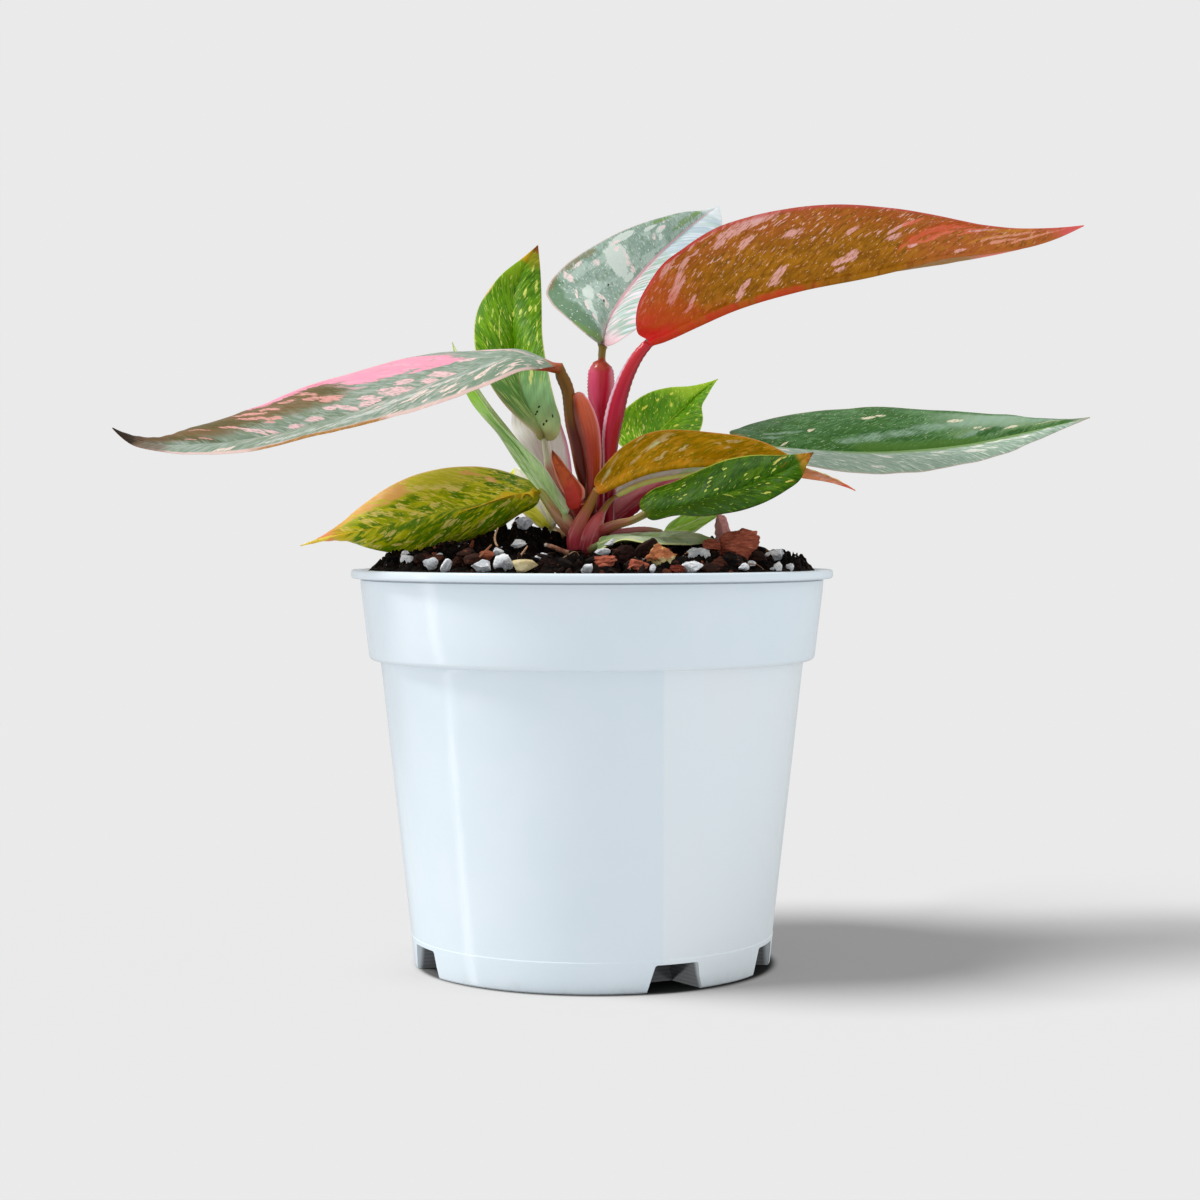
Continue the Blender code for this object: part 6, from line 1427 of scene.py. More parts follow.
            ((112, 146, 84), 0.8, ("spots", 0.5, 0.3, [(0.48, -0.1, 0.06, 0.15), (0.66, 0.4, 0.06, 0.2)])),
            ((196, 206, 198), 0.7, ("spots", 0.5, 0.3, [(0.34, 0.6, 0.06, 0.3)])),
            ((204, 210, 158), 0.9, ("edge", 0.84, 0.95)),
            ((190, 206, 164), 0.8, ("rib", 1.0)),
            ((120, 150, 92), 0.7, ("u", 0.8, 0.95)),
        ],
        under=((126, 148, 84), (142, 162, 98)), under_layers=[],
        stalk=((150, 70, 66), (150, 130, 84), (140, 160, 96)),
    ),
    "leaf_young_right": dict(
        seed=13.0, slope=1.4, tilt=0.26, gap=4.2,
        base=((92, 138, 26), (110, 156, 44), (70, 112, 12)),
        layers=[
            ((150, 184, 90), 0.8, ("fleck", 0.64, 0.9, 5, 5, 0.03)),
            ((222, 228, 190), 0.85, ("edge", 0.88, 0.97), ("u", 0.4, 0.25)),
            ((150, 184, 100), 0.8, ("rib", 0.9)),
            ((70, 106, 10), 0.7, ("u", 0.4, 0.6)),
        ],
        under=((112, 146, 64), (130, 160, 84)), under_layers=[],
        stalk=((170, 80, 90), (190, 122, 116), (170, 150, 110)),
    ),
    "leaf_young_left": dict(
        seed=14.0, slope=1.4, tilt=0.22, gap=4.2,
        base=((206, 206, 152), (214, 212, 166), (190, 188, 124)),
        layers=[
            ((166, 168, 44), 0.95, ("v", -0.30, -0.50)),
            ((132, 140, 14), 0.8, ("v", -0.5, -0.7), ("fleck", 0.5, 1.0, 6, 4, 0.06)),
            ((176, 190, 84), 0.8, ("spots", 0.5, 0.3, [(0.32, 0.68, 0.08, 0.14), (0.62, 0.1, 0.08, 0.3)])),
            ((232, 224, 190), 0.8, ("rib", 1.0)),
            ((214, 196, 130), 0.7, ("edge", 0.92, 0.98)),
        ],
        under=((196, 190, 130), (206, 200, 146)), under_layers=[],
        stalk=((168, 90, 70), (196, 160, 110), (206, 196, 140)),
    ),
    "cataphyll_red": dict(
        seed=15.0, slope=6.0, tilt=0.0, gap=9.0,
        base=((166, 60, 34), (182, 78, 44), (136, 40, 26)), layers=[],
        under=((170, 70, 34), (186, 88, 44), (140, 48, 24)),
        under_layers=[
            ((176, 40, 44), 0.85, ("u", 0.55, 0.15)),
            ((196, 112, 66), 0.8, ("dash", 0.58, 0.5, 16, 5, 0.05)),
            ((104, 48, 16), 0.9, ("u", 0.80, 0.95)),
            ((226, 150, 136), 0.85, ("edge", 0.72, 0.92)),
        ],
        stalk=((150, 40, 40), (166, 50, 44), (176, 56, 46)),
    ),
    "cataphyll_pale": dict(
        seed=16.0, slope=6.0, tilt=0.0, gap=9.0,
        base=((198, 176, 176), (206, 190, 190), (184, 160, 162)),
        layers=[
            ((214, 206, 202), 0.8, ("u", 0.5, 0.8)),
            ((176, 150, 152), 0.6, ("dash", 0.58, 0.8, 16, 5, 0.05)),
            ((214, 120, 140), 0.95, ("edge", 0.86, 0.95), ("v", 0, 0.1)),
            ((176, 140, 142), 0.7, ("u", 0.3, 0.05)),
        ],
        under=((198, 172, 172), (206, 184, 184)), under_layers=[],
        stalk=((170, 104, 104), (190, 140, 138), (196, 160, 158)),
    ),
}


# ---------------------------------------------------------------- leaf outlines: front elevation, mm (x, z, depth, radius)
LEAVES = {
    "leaf_upper_right": {
        "side": "under",
        "petiole": [(5, 134.3, -1, 1.8), (5.3, 142.7, -2, 1.8), (5.3, 150.5, -3, 1.9), (5.6, 158, -4, 2.2), (5.9, 164.2, -4.5, 2.7), (6.9, 170.1, -5, 3), (8.7, 177.3, -5, 2.7), (11.2, 183.8, -5, 2.3), (15, 190.1, -5, 1.8), (18.1, 193.5, -5, 1.5)],
        "midrib": [(18.1, 193.5, -5), (30.5, 199.1, -7), (46.4, 205.6, -9), (63.6, 210.3, -10), (87.5, 215.2, -11), (98.4, 218.3, -11), (108.4, 219.9, -12), (123.3, 221.7, -12), (138.2, 224.2, -13), (153.5, 229.8, -14)],
        "edges": [
            (28, -1, [(15.6, 194.7), (13.7, 199.1), (14.3, 205), (17.8, 211.8), (21.8, 217.4), (28.7, 222.7), (38.6, 228.9), (48.6, 232.3), (63.5, 235.2), (78.4, 236.1), (93.4, 235.1), (108.3, 232.7), (123.3, 229.6), (136.3, 228.7)]),
            (28, 1, [(23.7, 199.7), (33.7, 206.5), (49.2, 211.8), (64.8, 213.7), (80.4, 214.6), (94.4, 216.5), (108.4, 217.7), (123.3, 220.2), (138.2, 223.9)]),
        ],
    },
    "leaf_long_left": {
        "side": "upper",
        "petiole": [(-0.6, 134.3, -3, 1.9), (-0.6, 142.7, -4, 2.2), (-0.9, 152.1, -5, 3.7), (-1.6, 158, -5, 4.5), (-2.3, 163.3, -5, 5.1), (-3.4, 170.1, -5, 4.9), (-4.5, 173.9, -5, 4.3), (-5.9, 176.1, -6, 3), (-7.2, 177.9, -6, 1.9), (-8.7, 181.4, -7, 1.9), (-11.8, 184.8, -8, 1.7)],
        "midrib": [(-11.8, 184.8, -8), (-22.4, 188.5, -11), (-44.9, 182.3, -16), (-61.5, 176.1, -20), (-78.3, 168.9, -24), (-95.2, 164.8, -27), (-120.2, 161.4, -30), (-138, 162, -31), (-150.1, 167, -32)],
        "edges": [
            (26, 1, [(-15.3, 188.5), (-22.4, 191), (-30.2, 191.6), (-44.3, 190.4), (-59.9, 187.9), (-75.5, 183.8), (-91.1, 178.6), (-106.7, 172.9), (-122.3, 167.7), (-139.5, 163.6)]),
            (26, -1, [(-16.2, 182.9), (-22.5, 182), (-34.9, 179.2), (-59.9, 170.8), (-81.8, 165.2), (-97.4, 161.1), (-116.1, 158.9), (-134.9, 159.9), (-144.2, 162)]),
        ],
    },
    "leaf_top_back": {
        "side": "upper",
        "petiole": [(2.5, 135.8, 3, 1.6), (2.8, 147.4, 4, 1.5), (3.1, 158.3, 5, 1.3), (3.1, 165.5, 5, 1.5), (2.8, 170.1, 5.2, 2.4), (2.8, 173.9, 5.5, 3.6), (2.8, 177.9, 6, 4.2), (2.8, 182, 6.3, 4.2), (2.8, 184.8, 6.6, 3.8), (2.8, 186.3, 7, 2.8), (3, 187.4, 7.5, 1.5), (3.1, 189.7, 8, 1.2), (3.4, 192.2, 9, 1.4)],
        "midrib": [(3.4, 192.2, 9), (6.2, 197.8, 18), (11.8, 206.5, 33), (18.7, 215.2, 50), (24.9, 222, 66), (32.1, 228.9, 82), (39.5, 235.7, 98)],
        "edges": [
            (29, -1, [(-1.2, 195.3), (-8.1, 200.9), (-13.1, 205.9), (-14.3, 209), (-13.4, 211.5), (-10, 215.8), (-3.7, 220.8), (2.5, 224.5), (8.7, 227.6), (14.9, 230.1), (21.2, 232), (27.4, 233.5), (35.2, 234.4)]),
            (29, -1, [(7.8, 193.5), (13.1, 197.2), (19.6, 202.8), (27.4, 209), (33.6, 216.5), (38.6, 225.1), (40.5, 230.7)]),
        ],
    },
    "leaf_upright_left": {
        "side": "upper",
        "petiole": [(-3.8, 134.3, 2, 2.6), (-5.9, 139.9, 3, 2.6), (-9.7, 145.2, 5, 2.2), (-12.8, 152.4, 8, 1.7), (-14, 158.3, 11, 1.3), (-14.7, 162.7, 14, 1.2)],
        "midrib": [(-14.7, 162.7, 14), (-17.5, 168.6, 16), (-20.3, 175.4, 19), (-22.4, 186.3, 24), (-23.4, 198.8, 29), (-22.4, 210.3, 35), (-19.9, 217.7, 39), (-16.8, 223.6, 43)],
        "edges": [
            (18, -1, [(-20, 167), (-26.5, 172.9), (-32.4, 181), (-36.2, 189.4), (-36.8, 195.3), (-34.9, 205.3), (-28.6, 214), (-21.2, 219.9)]),
            (18, -1, [(-11.2, 163.6), (-9.7, 167.7), (-11.5, 175.4), (-13.4, 182.9), (-15.3, 192.9), (-15.6, 202.8), (-15.9, 212.7)]),
        ],
    },
    "leaf_narrow_left": {
        "side": "upper",
        "petiole": [(-2.2, 133.3, -6, 1.8), (-4.4, 134.9, -7, 1.8), (-6.6, 136.8, -7, 1.7), (-8.4, 139, -6, 1.5)],
        "midrib": [(-8.4, 139, -6), (-12.2, 144.9, -3), (-15.9, 150.5, 0), (-23.4, 161.1, 6), (-34.9, 176.7, 12), (-43.6, 193.5, 19)],
        "edges": [
            (9, -1, [(-11.2, 140.8), (-14.7, 144.9), (-22.8, 154.6), (-28.7, 163.6), (-39, 177), (-41.8, 184.8)]),
            (9, -1, [(-6.9, 141.8), (-9.1, 145.5), (-15.6, 155.5), (-28.7, 168), (-35.6, 177), (-40.5, 184.8)]),
        ],
    },
    "leaf_low_left": {
        "side": "upper",
        "petiole": [(-2.8, 130.2, -5, 2.2), (-6.3, 134, -6, 1.9), (-9.4, 137.4, -6, 1.7), (-12.8, 142.1, -5, 1.5), (-15.9, 146.8, -4, 1.3)],
        "midrib": [(-15.9, 146.8, -4), (-22.5, 146.1, -5), (-36.6, 142.4, -6), (-49.1, 139.9, -7), (-61.6, 136.8, -8), (-77.2, 133.7, -9), (-91.3, 129.9, -10)],
        "edges": [
            (17, 1, [(-18.4, 149.6), (-22.5, 151.4), (-30, 153.9), (-38.1, 154.7), (-49, 153.9), (-57.5, 151.4), (-65, 147.4), (-73.4, 141.5), (-79.4, 136.5)]),
            (12, 1, [(-16.9, 143.6), (-22.5, 139.9), (-30, 135.2), (-36.6, 132.4), (-46.6, 129.9), (-56.6, 128), (-63.5, 128), (-70, 129.3), (-76.9, 131.5), (-83.5, 131.8)]),
        ],
    },
    "leaf_arching_right": {
        "side": "under",
        "petiole": [(-3.8, 127.1, -9, 2.9), (-5.3, 131.5, -11, 2.7), (-3.7, 137.1, -12, 2.1), (-1.2, 141.8, -12, 1.6), (1.3, 147.1, -12, 1.3)],
        "midrib": [(1.3, 147.1, -12), (9.4, 149.9, -13), (21.9, 153.8, -14), (35.9, 154.6, -15), (46.2, 154.3, -15), (57.1, 152.7, -16), (65.9, 151.1, -16), (76.2, 149.3, -17), (82.5, 147.1, -17)],
        "edges": [
            (15, -1, [(0.6, 150.2), (2.8, 153.9), (5.9, 157.7), (10.6, 161.7), (15.6, 164.5), (21.9, 166.1), (29.7, 166.1), (37.8, 165.2), (47.4, 163.9), (60.3, 159.2), (66.5, 155.8), (73.1, 153.6)]),
            (13, 1, [(5.6, 149.3), (16.6, 155.5), (30.6, 157.7), (46.2, 157.1), (61.8, 153.9), (71.2, 151.1)]),
        ],
    },
    "leaf_low_right": {
        "side": "upper",
        "petiole": [(1.9, 131.5, -9, 2.1), (3.8, 134.6, -13, 1.9), (8.1, 136.8, -18, 1.7), (12.5, 138.3, -23, 1.6), (16.6, 139.9, -27, 1.5)],
        "midrib": [(16.6, 139.9, -27), (28.4, 142.1, -32), (41.2, 146.1, -37), (53.7, 150.5, -41), (63.4, 155.2, -44), (69.3, 159.2, -46)],
        "edges": [
            (15, 1, [(15, 144), (17.5, 146.8), (25.3, 150), (35.9, 154.7), (47.5, 158), (60.3, 158.3)]),
            (15, -1, [(18.1, 138.3), (28.4, 139.6), (34.7, 139.1), (41.2, 139.9), (47.5, 141.1), (53.7, 143.3), (60.3, 147.1), (65.3, 151.1), (66.8, 154.9)]),
        ],
    },
    "leaf_folded_right": {
        "side": "under",
        "petiole": [(-1.3, 128.3, -10, 3), (-0.6, 132.1, -12, 3.4), (1.3, 137.1, -11, 2.4), (3.4, 140.8, -9, 1.1), (6.2, 144, -6, 0.9), (8.7, 146.1, -4, 0.9)],
        "midrib": [(8.7, 146.1, -4), (18.1, 150.4, -3), (30.6, 153.3, -2), (46.2, 156.1, -1), (61.8, 157.7, 0)],
        "edges": [
            (8, -1, [(9.7, 149.3), (15, 152.1), (21.9, 153.9), (30.6, 154.7), (46.2, 156.1)]),
            (9, 1, [(15, 149.9), (30.6, 154.9), (46.2, 157.7)]),
        ],
    },
    "leaf_long_right": {
        "side": "upper",
        "petiole": [(2.8, 132.7, 4, 2.2), (6.2, 137.1, 5, 2.8), (11.2, 141.3, 7, 3.1), (19.7, 146.1, 11, 3), (30.6, 151.8, 17, 2.4), (45.6, 162.7, 24, 1.7)],
        "midrib": [(45.6, 162.7, 24), (61.2, 160.2, 26), (75.2, 159.1, 28), (87.7, 158.9, 30), (104.6, 159.9, 32), (117.1, 161.4, 34), (129.5, 163.9, 36), (142, 166.7, 38), (155.7, 170.1, 40)],
        "edges": [
            (25, 1, [(43.4, 164.5), (46.2, 166.7), (54.6, 169.2), (67.1, 171.5), (79.6, 173.1), (87.7, 173.6), (100.2, 172.8), (117, 171.5), (129.5, 170.5), (142, 169.4)]),
            (25, -1, [(47.8, 159.2), (57.1, 156.7), (69.6, 154.6), (77.1, 153.3), (83.7, 152.7), (93.7, 152.7), (104.6, 153.4), (112.7, 154.7), (125.2, 157.7), (137.7, 162.1), (148.6, 167.1)]),
        ],
    },
    "leaf_back_right": {
        "side": "upper",
        "petiole": [(1.6, 134.9, 5, 2), (5, 141.1, 8, 2), (8.7, 148, 13, 1.8), (12.5, 154.3, 18, 1.5), (15.3, 159.2, 23, 1.3)],
        "midrib": [(15.3, 159.2, 23), (18.7, 162.7, 28), (23.4, 168, 36), (30.6, 174.8, 47), (39.3, 182, 60)],
        "edges": [
            (17, -1, [(10, 160.5), (6.9, 164.5), (8.7, 170.8), (12.5, 174.5), (18.1, 177.9), (23.1, 179.2), (30.6, 179.8)]),
            (17, -1, [(21.2, 157.4), (28.1, 159.9), (32.8, 164.2), (34.6, 169.2), (34.3, 173.6), (35.9, 176.7)]),
        ],
    },
    "leaf_on_mix": {
        "side": "upper",
        "petiole": [(-0.3, 128.3, -13, 1.9), (0, 128.7, -16, 1.6), (0.6, 129.3, -19, 1.3), (2.2, 130.2, -22, 1.1)],
        "midrib": [(2.2, 130.2, -22), (7.2, 132.1, -23), (15, 132.4, -23), (22.8, 132.4, -22), (30.6, 132.4, -21), (38.8, 131.8, -20)],
        "edges": [
            (9, 1, [(2.8, 132.7), (7.2, 133.2), (15, 133.8), (22.8, 134.3), (28.4, 134.3), (34.7, 133.2)]),
            (9, -1, [(1.6, 128.3), (4.7, 129.6), (9.4, 131.5), (15.6, 130.8), (22.8, 130.2), (30.6, 130.5)]),
        ],
    },
    "leaf_young_right": {
        "side": "upper",
        "petiole": [(2.5, 130.2, -9, 1.8), (6.3, 133, -9, 1.6), (11.9, 134.3, -9, 1.4), (17.5, 134.6, -8, 1.3), (22.5, 133.7, -8, 1.1)],
        "midrib": [(22.5, 133.7, -8), (29.1, 136.1, -9), (36.9, 139.6, -9), (46.2, 143.3, -8), (57.2, 147.4, -6)],
        "edges": [
            (9, 1, [(23.7, 136.8), (29.1, 140.2), (36.9, 144.3), (46.2, 147.4)]),
            (9, -1, [(26.3, 133.3), (31.3, 134), (35, 136.5), (40, 139.6), (47.8, 143)]),
        ],
    },
    "leaf_young_left": {
        "side": "upper",
        "petiole": [(-3.1, 132.4, 2, 1.8), (-7.5, 132.7, 6, 1.7), (-10.6, 134, 10, 1.5), (-12.8, 135.5, 12, 1.3)],
        "midrib": [(-12.8, 135.5, 12), (-14.7, 140.5, 14), (-17.8, 146.1, 17), (-20.9, 150.8, 20), (-24, 154.3, 23)],
        "edges": [
            (11, -1, [(-16.6, 135.8), (-21.9, 140.5), (-26.2, 146.1), (-26.9, 150.5)]),
            (11, -1, [(-10.9, 138.3), (-12.5, 144.3), (-15, 149.6), (-18.7, 153.3)]),
        ],
    },
    "cataphyll_red": {
        "side": "under",
        "petiole": [(-3.4, 138.6, -7, 1.6), (-4.4, 143, -8, 2.7)],
        "midrib": [(-4.4, 143, -8), (-6.2, 147.4, -9), (-8.7, 152.4, -8), (-10.9, 156.4, -7), (-12.5, 159.9, -6)],
        "edges": [
            (3.6, 1, [(-6.9, 144.3), (-9.1, 146.8), (-10.9, 150.5), (-12.2, 154.6), (-12.8, 157.4)]),
            (3.6, 1, [(-2.5, 144.3), (-2.2, 147.1), (-4.7, 150.8), (-7.2, 153.6), (-9.7, 157.1)]),
        ],
    },
    "cataphyll_pale": {
        "side": "upper",
        "petiole": [(-1.3, 135.5, 8, 1.2), (-4.4, 137.4, 14, 1.6), (-8.4, 141.1, 19, 2)],
        "midrib": [(-8.4, 141.1, 19), (-12.5, 150.5, 23), (-14.7, 159.9, 25), (-15.3, 172.3, 27), (-14.3, 184.2, 29)],
        "edges": [
            (11, -1, [(-13.7, 144.3), (-18.4, 153.6), (-22.5, 161.4), (-25.3, 167.7), (-24.3, 174.2), (-19.3, 180.1)]),
            (11, -1, [(-5.9, 144.9), (-6.2, 153.6), (-7.5, 161.4), (-10, 169.2), (-12.2, 176.7), (-13.1, 181.4)]),
        ],
    },
}

# ---------------------------------------------------------------- the object
def sheath_material():
    """The smooth red sheaths and hoods of the crown."""
    g = Graph("sheath_smooth")
    u, c, s = g.split(g.attribute("leaf"))
    p = g.place()
    lines = g.noise(g.join(g.mul(u, 2.0), g.mul(c, 3.0), g.mul(s, 3.0)), 3.0, 4.0, 0.6)
    col = g.mix(g.step(u, 0.10, 0.55), srgb(84, 12, 6), srgb(176, 46, 18))
    col = g.mix(g.step(u, 0.55, 0.88), col, srgb(206, 90, 54))
    col = g.mix(g.mul(g.step(lines, 0.50, 0.72), 0.5), col, srgb(124, 30, 10))
    col = g.mix(g.mul(g.step(lines, 0.46, 0.30), 0.4), col, srgb(214, 102, 60))
    # Painted shade: darker down the left side, where the sheath meets the stalk beside it.
    col = g.mix(g.mul(g.step(c, -0.30, -0.75), 0.8), col, srgb(96, 24, 6))
    col = g.mix(g.step(u, 0.90, 0.99), col, srgb(206, 110, 90))
    # Painted highlight: a pale pink rim down the right side.
    col = g.mix(g.mul(g.step(c, 0.72, 0.96), g.step(u, 0.15, 0.4), 0.9), col, srgb(244, 160, 170))
    n = g.bump(lines, 0.08)
    return g.set(color=col, rough=0.30, normal=n, spec=0.35)


def flare_material():
    """The broad orange-brown foot of the midrib, under the base of the long left blade."""
    g = Graph("flare_orange_brown")
    u, c, s = g.split(g.attribute("leaf"))
    lines = g.noise(g.join(g.mul(u, 1.5), g.mul(c, 3.0), g.mul(s, 3.0)), 3.0, 4.0, 0.6)
    col = g.mix(g.step(u, 0.1, 0.6), srgb(150, 70, 26), srgb(196, 84, 58))
    col = g.mix(g.mul(g.step(lines, 0.46, 0.70), 0.6), col, srgb(120, 44, 16))
    return g.set(color=col, rough=0.32, normal=g.bump(lines, 0.08), spec=0.35)


def stem_material():
    g = Graph("stem_crown")
    p = g.place()
    x, y, z = g.split(p)
    col = g.mix(g.step(g.noise(p, 300.0, 4.0, 0.6), 0.38, 0.66), srgb(150, 52, 50), srgb(190, 92, 84))
    col = g.mix(g.mul(g.step(g.noise(g.join(x, y, g.mul(z, 4.0)), 200.0, 3.0), 0.52, 0.6), 0.6), col, srgb(96, 34, 28))
    return g.set(color=col, rough=0.42, normal=g.bump(g.noise(p, 1200.0, 4.0), 0.15), spec=0.45)


STEM_SHAPE = ((97, 1.2), (99, 3.2), (108, 4.6), (120, 5.4), (128, 5.4), (135, 4.6), (140, 3.4), (143, 1.6))


def build_stem(mat):
    z = np.linspace(97, 143, 90)
    r = curve([(a, 0, 0, b) for a, b in STEM_SHAPE], (z - 97) / 46)[:, 3]
    a = 2 * math.pi * np.arange(64) / 64
    rings = []
    for zz, rr in zip(z, r):
        ring = 0.18 * math.exp(-(((zz % 4.6) - 2.3) / 0.5) ** 2)
        k = rr + ring + 0.2 * noise2(np.cos(a) * 2 + zz * 0.2, np.sin(a) * 2, 3)
        rings.append(np.stack([STEM_AT[0] + k * np.cos(a), STEM_AT[1] + k * np.sin(a), np.full(64, zz)], -1))
    return new_piece("main_stem_fine", np.array(rings).reshape(-1, 3), strip_faces(90, 64), ("main_stem",), smooth=60, mat=mat)


DETAIL = {  # rows along the blade, columns on each half, rows on the petiole, waviness mm, quilting mm
    "leaf_upper_right": (190, 34, 60, 0.5, 0.10),
    "leaf_long_left": (190, 34, 60, 0.6, 0.10),
    "leaf_top_back": (170, 32, 110, 0.5, 0.12),
    "leaf_upright_left": (120, 24, 50, 0.35, 0.10),
    "leaf_narrow_left": (100, 12, 20, 0.2, 0.04),
    "leaf_low_left": (130, 26, 40, 0.5, 0.10),
    "leaf_arching_right": (130, 26, 40, 0.4, 0.10),
    "leaf_low_right": (110, 26, 40, 0.4, 0.10),
    "leaf_folded_right": (110, 14, 40, 0.2, 0.05),
    "leaf_long_right": (170, 32, 50, 0.5, 0.10),
    "leaf_back_right": (90, 22, 30, 0.4, 0.10),
    "leaf_on_mix": (80, 18, 16, 0.5, 0.08),
    "leaf_young_right": (80, 18, 24, 0.3, 0.08),
    "leaf_young_left": (70, 18, 20, 0.3, 0.08),
    "cataphyll_red": (70, 14, 12, 0.1, 0.0),
    "cataphyll_pale": (80, 16, 14, 0.2, 0.0),
}

# Where the fine leaves depart from the plain ones of the CAD.
LEAVES["leaf_top_back"]["midrib"][1:6] = [(5.0, 198.8, 18), (10.2, 207.7, 33), (17.2, 216.6, 50), (23.6, 223.2, 66), (31.2, 229.8, 82)]
LEAVES["leaf_upright_left"]["midrib"][2:7] = [(-21.2, 175.4, 19), (-23.6, 186.3, 24), (-24.6, 198.8, 29), (-23.6, 210.3, 35), (-20.9, 217.7, 39)]
LEAVES["leaf_upper_right"]["midrib"][4:6] = [(87.5, 214.9, -11), (98.4, 217.4, -11)]
LEAVES["leaf_upper_right"]["edges"][1][2][4:6] = [(80.4, 213.8), (94.4, 215.4)]
LEAVES["leaf_long_left"]["midrib"][0] = (-9.9, 185.6, -8)
LEAVES["leaf_long_left"]["midrib"][1] = (-22.4, 189.1, -11)
LEAVES["leaf_long_left"]["edges"][1][2][0:2] = [(-16.2, 185.4), (-22.5, 184.6)]
LEAVES["leaf_long_left"]["edges"][0][2][0:5] = [(-13.6, 186.9), (-22.4, 189.9), (-30.2, 190.4), (-37.2, 190.4), (-44.3, 190.3)]
LEAVES["leaf_arching_right"]["midrib"] = [(1.3, 147.1, -12), (8.4, 150.6, -13), (17.5, 153.9, -14), (26.7, 155.4, -14), (36.0, 155.9, -15), (47.0, 155.0, -15), (57.1, 153.3, -16), (65.9, 151.9, -16), (76.2, 149.9, -17), (82.5, 147.1, -17)]
LEAVES["leaf_arching_right"]["edges"][0][2][-2:] = [(66.5, 154.9), (73.1, 152.3)]
LEAVES["leaf_arching_right"]["edges"][1][2][:] = [(5.6, 150.3), (16.6, 155.9), (30.6, 158.3), (46.2, 157.3), (61.8, 153.9), (71.2, 151.6)]
LEAVES["leaf_folded_right"]["petiole"][-3:] = [(3.4, 140.8, -9, 1.1), (5.6, 143.9, -7, 0.8), (7.6, 145.6, -5, 0.6)]
LEAVES["leaf_folded_right"]["midrib"] = [(7.6, 145.6, -5), (11.7, 147.9, -5), (17.0, 149.9, -6), (23.0, 151.2, -7), (31.0, 152.4, -9), (40.0, 152.8, -11), (50.0, 153.0, -13)]
LEAVES["leaf_upright_left"]["edges"] = [(15.0, *LEAVES["leaf_upright_left"]["edges"][0][1:]), (15.0, *LEAVES["leaf_upright_left"]["edges"][1][1:])]
LEAVES["leaf_narrow_left"]["edges"] = [(4.2, *LEAVES["leaf_narrow_left"]["edges"][0][1:]), (4.2, *LEAVES["leaf_narrow_left"]["edges"][1][1:])]
LEAVES["leaf_folded_right"]["edges"] = [
    (2.9, -1, [(7.8, 148.9), (11.7, 151.6), (16.2, 153.3), (22.0, 154.4), (31.0, 155.2), (41.0, 155.0)]),
    (6.0, 1, [(9.0, 146.2), (16.2, 150.8), (24.0, 152.6), (34.0, 153.6), (44.0, 153.8)]),
]
LEAVES["leaf_long_right"]["petiole"] = [
    (2.8, 132.7, 4, 2.2), (5.2, 137.6, 5, 3.4), (9.0, 141.4, 7, 4.1), (13.5, 144.6, 9, 3.7), (18.5, 147.6, 12, 2.9), (24.0, 149.8, 15, 2.2), (31.5, 152.4, 18, 1.9), (38.5, 157.2, 21, 1.8), (45.6, 162.7, 24, 1.7),
]
LEAVES["leaf_low_right"]["petiole"][-3:] = [(8.1, 136.7, -18, 1.5), (12.5, 137.9, -23, 1.15), (16.6, 139.9, -27, 1.2)]
# The long left leaf: its thin stalk runs down the left of a sheath that ends in a rounded hood.
LEAVES["leaf_long_left"]["petiole"] = [
    (-2.2, 134.3, -3, 1.6), (-2.2, 142.2, -4, 1.7), (-1.6, 147.9, -4.5, 2.1), (-3.1, 154.2, -5, 2.3), (-4.4, 162.3, -5, 2.6),
    (-5.9, 168.5, -5, 2.5), (-6.8, 174.3, -5.5, 2.2), (-7.4, 177.6, -6, 2.0), (-8.0, 179.8, -6.5, 2.0), (-8.9, 181.8, -7, 2.0), (-9.7, 183.6, -7.5, 1.8), (-9.9, 185.4, -8, 1.5),
]
LONG_LEFT_SHEATH = [
    (-0.8, 136.0, -6, 1.2), (-0.4, 141.5, -6.5, 1.8), (0.0, 147.9, -7, 2.1), (0.3, 152.6, -7, 2.4), (0.2, 157.0, -7, 2.8),
    (-0.4, 162.3, -7, 3.2), (-1.4, 167.1, -7, 3.55), (-2.6, 171.4, -7, 3.35), (-3.4, 174.2, -7, 2.8), (-4.0, 175.9, -7, 2.1),
]
LONG_LEFT_FLARE = [(-10.2, 184.6, -8.5, 1.0), (-11.6, 185.2, -9.3, 1.4), (-13.8, 185.7, -10.0, 1.35), (-16.6, 185.5, -10.5, 0.95), (-20.5, 185.3, -11.0, 0.35)]
AERIAL_ROOT = ((-6.3, 127.5, -15.5, 0.9), (-9.5, 128.4, -17.5, 0.8), (-12.2, 129.6, -19, 0.7), (-14.4, 130.2, -20, 0.6))

build_pot(pot_material())
build_mix(mix_material())
build_stem(stem_material())

for node, spec in LEAVES.items():
    rows, half_cols, stalk_rows, wave, quilt = DETAIL[node]
    look = LOOKS[node]
    points, faces, attributes = leaf_mesh(spec, rows, half_cols, stalk_rows, wave, quilt, vein_gap=look["gap"], seed=int(look["seed"] * 10))
    new_piece(node + "_fine", points, faces, (node,), attributes, smooth=70, mat=leaf_look(node + "_look", **look))

sheath = sheath_material()
points, faces, attributes = tube([(*carry(x, z, y), r) for x, z, y, r in LONG_LEFT_SHEATH], 48, rows=60, up=(1.0, 0.0, 0.0))
new_piece("sheath_long_left", points, faces, (), attributes, smooth=60, mat=sheath)

points, faces, attributes = tube([(*carry(x, z, y), r) for x, z, y, r in LONG_LEFT_FLARE], 32, rows=40, up=(1.0, 0.0, 0.0))
new_piece("flare_long_left", points, faces, (), attributes, smooth=60, mat=flare_material())

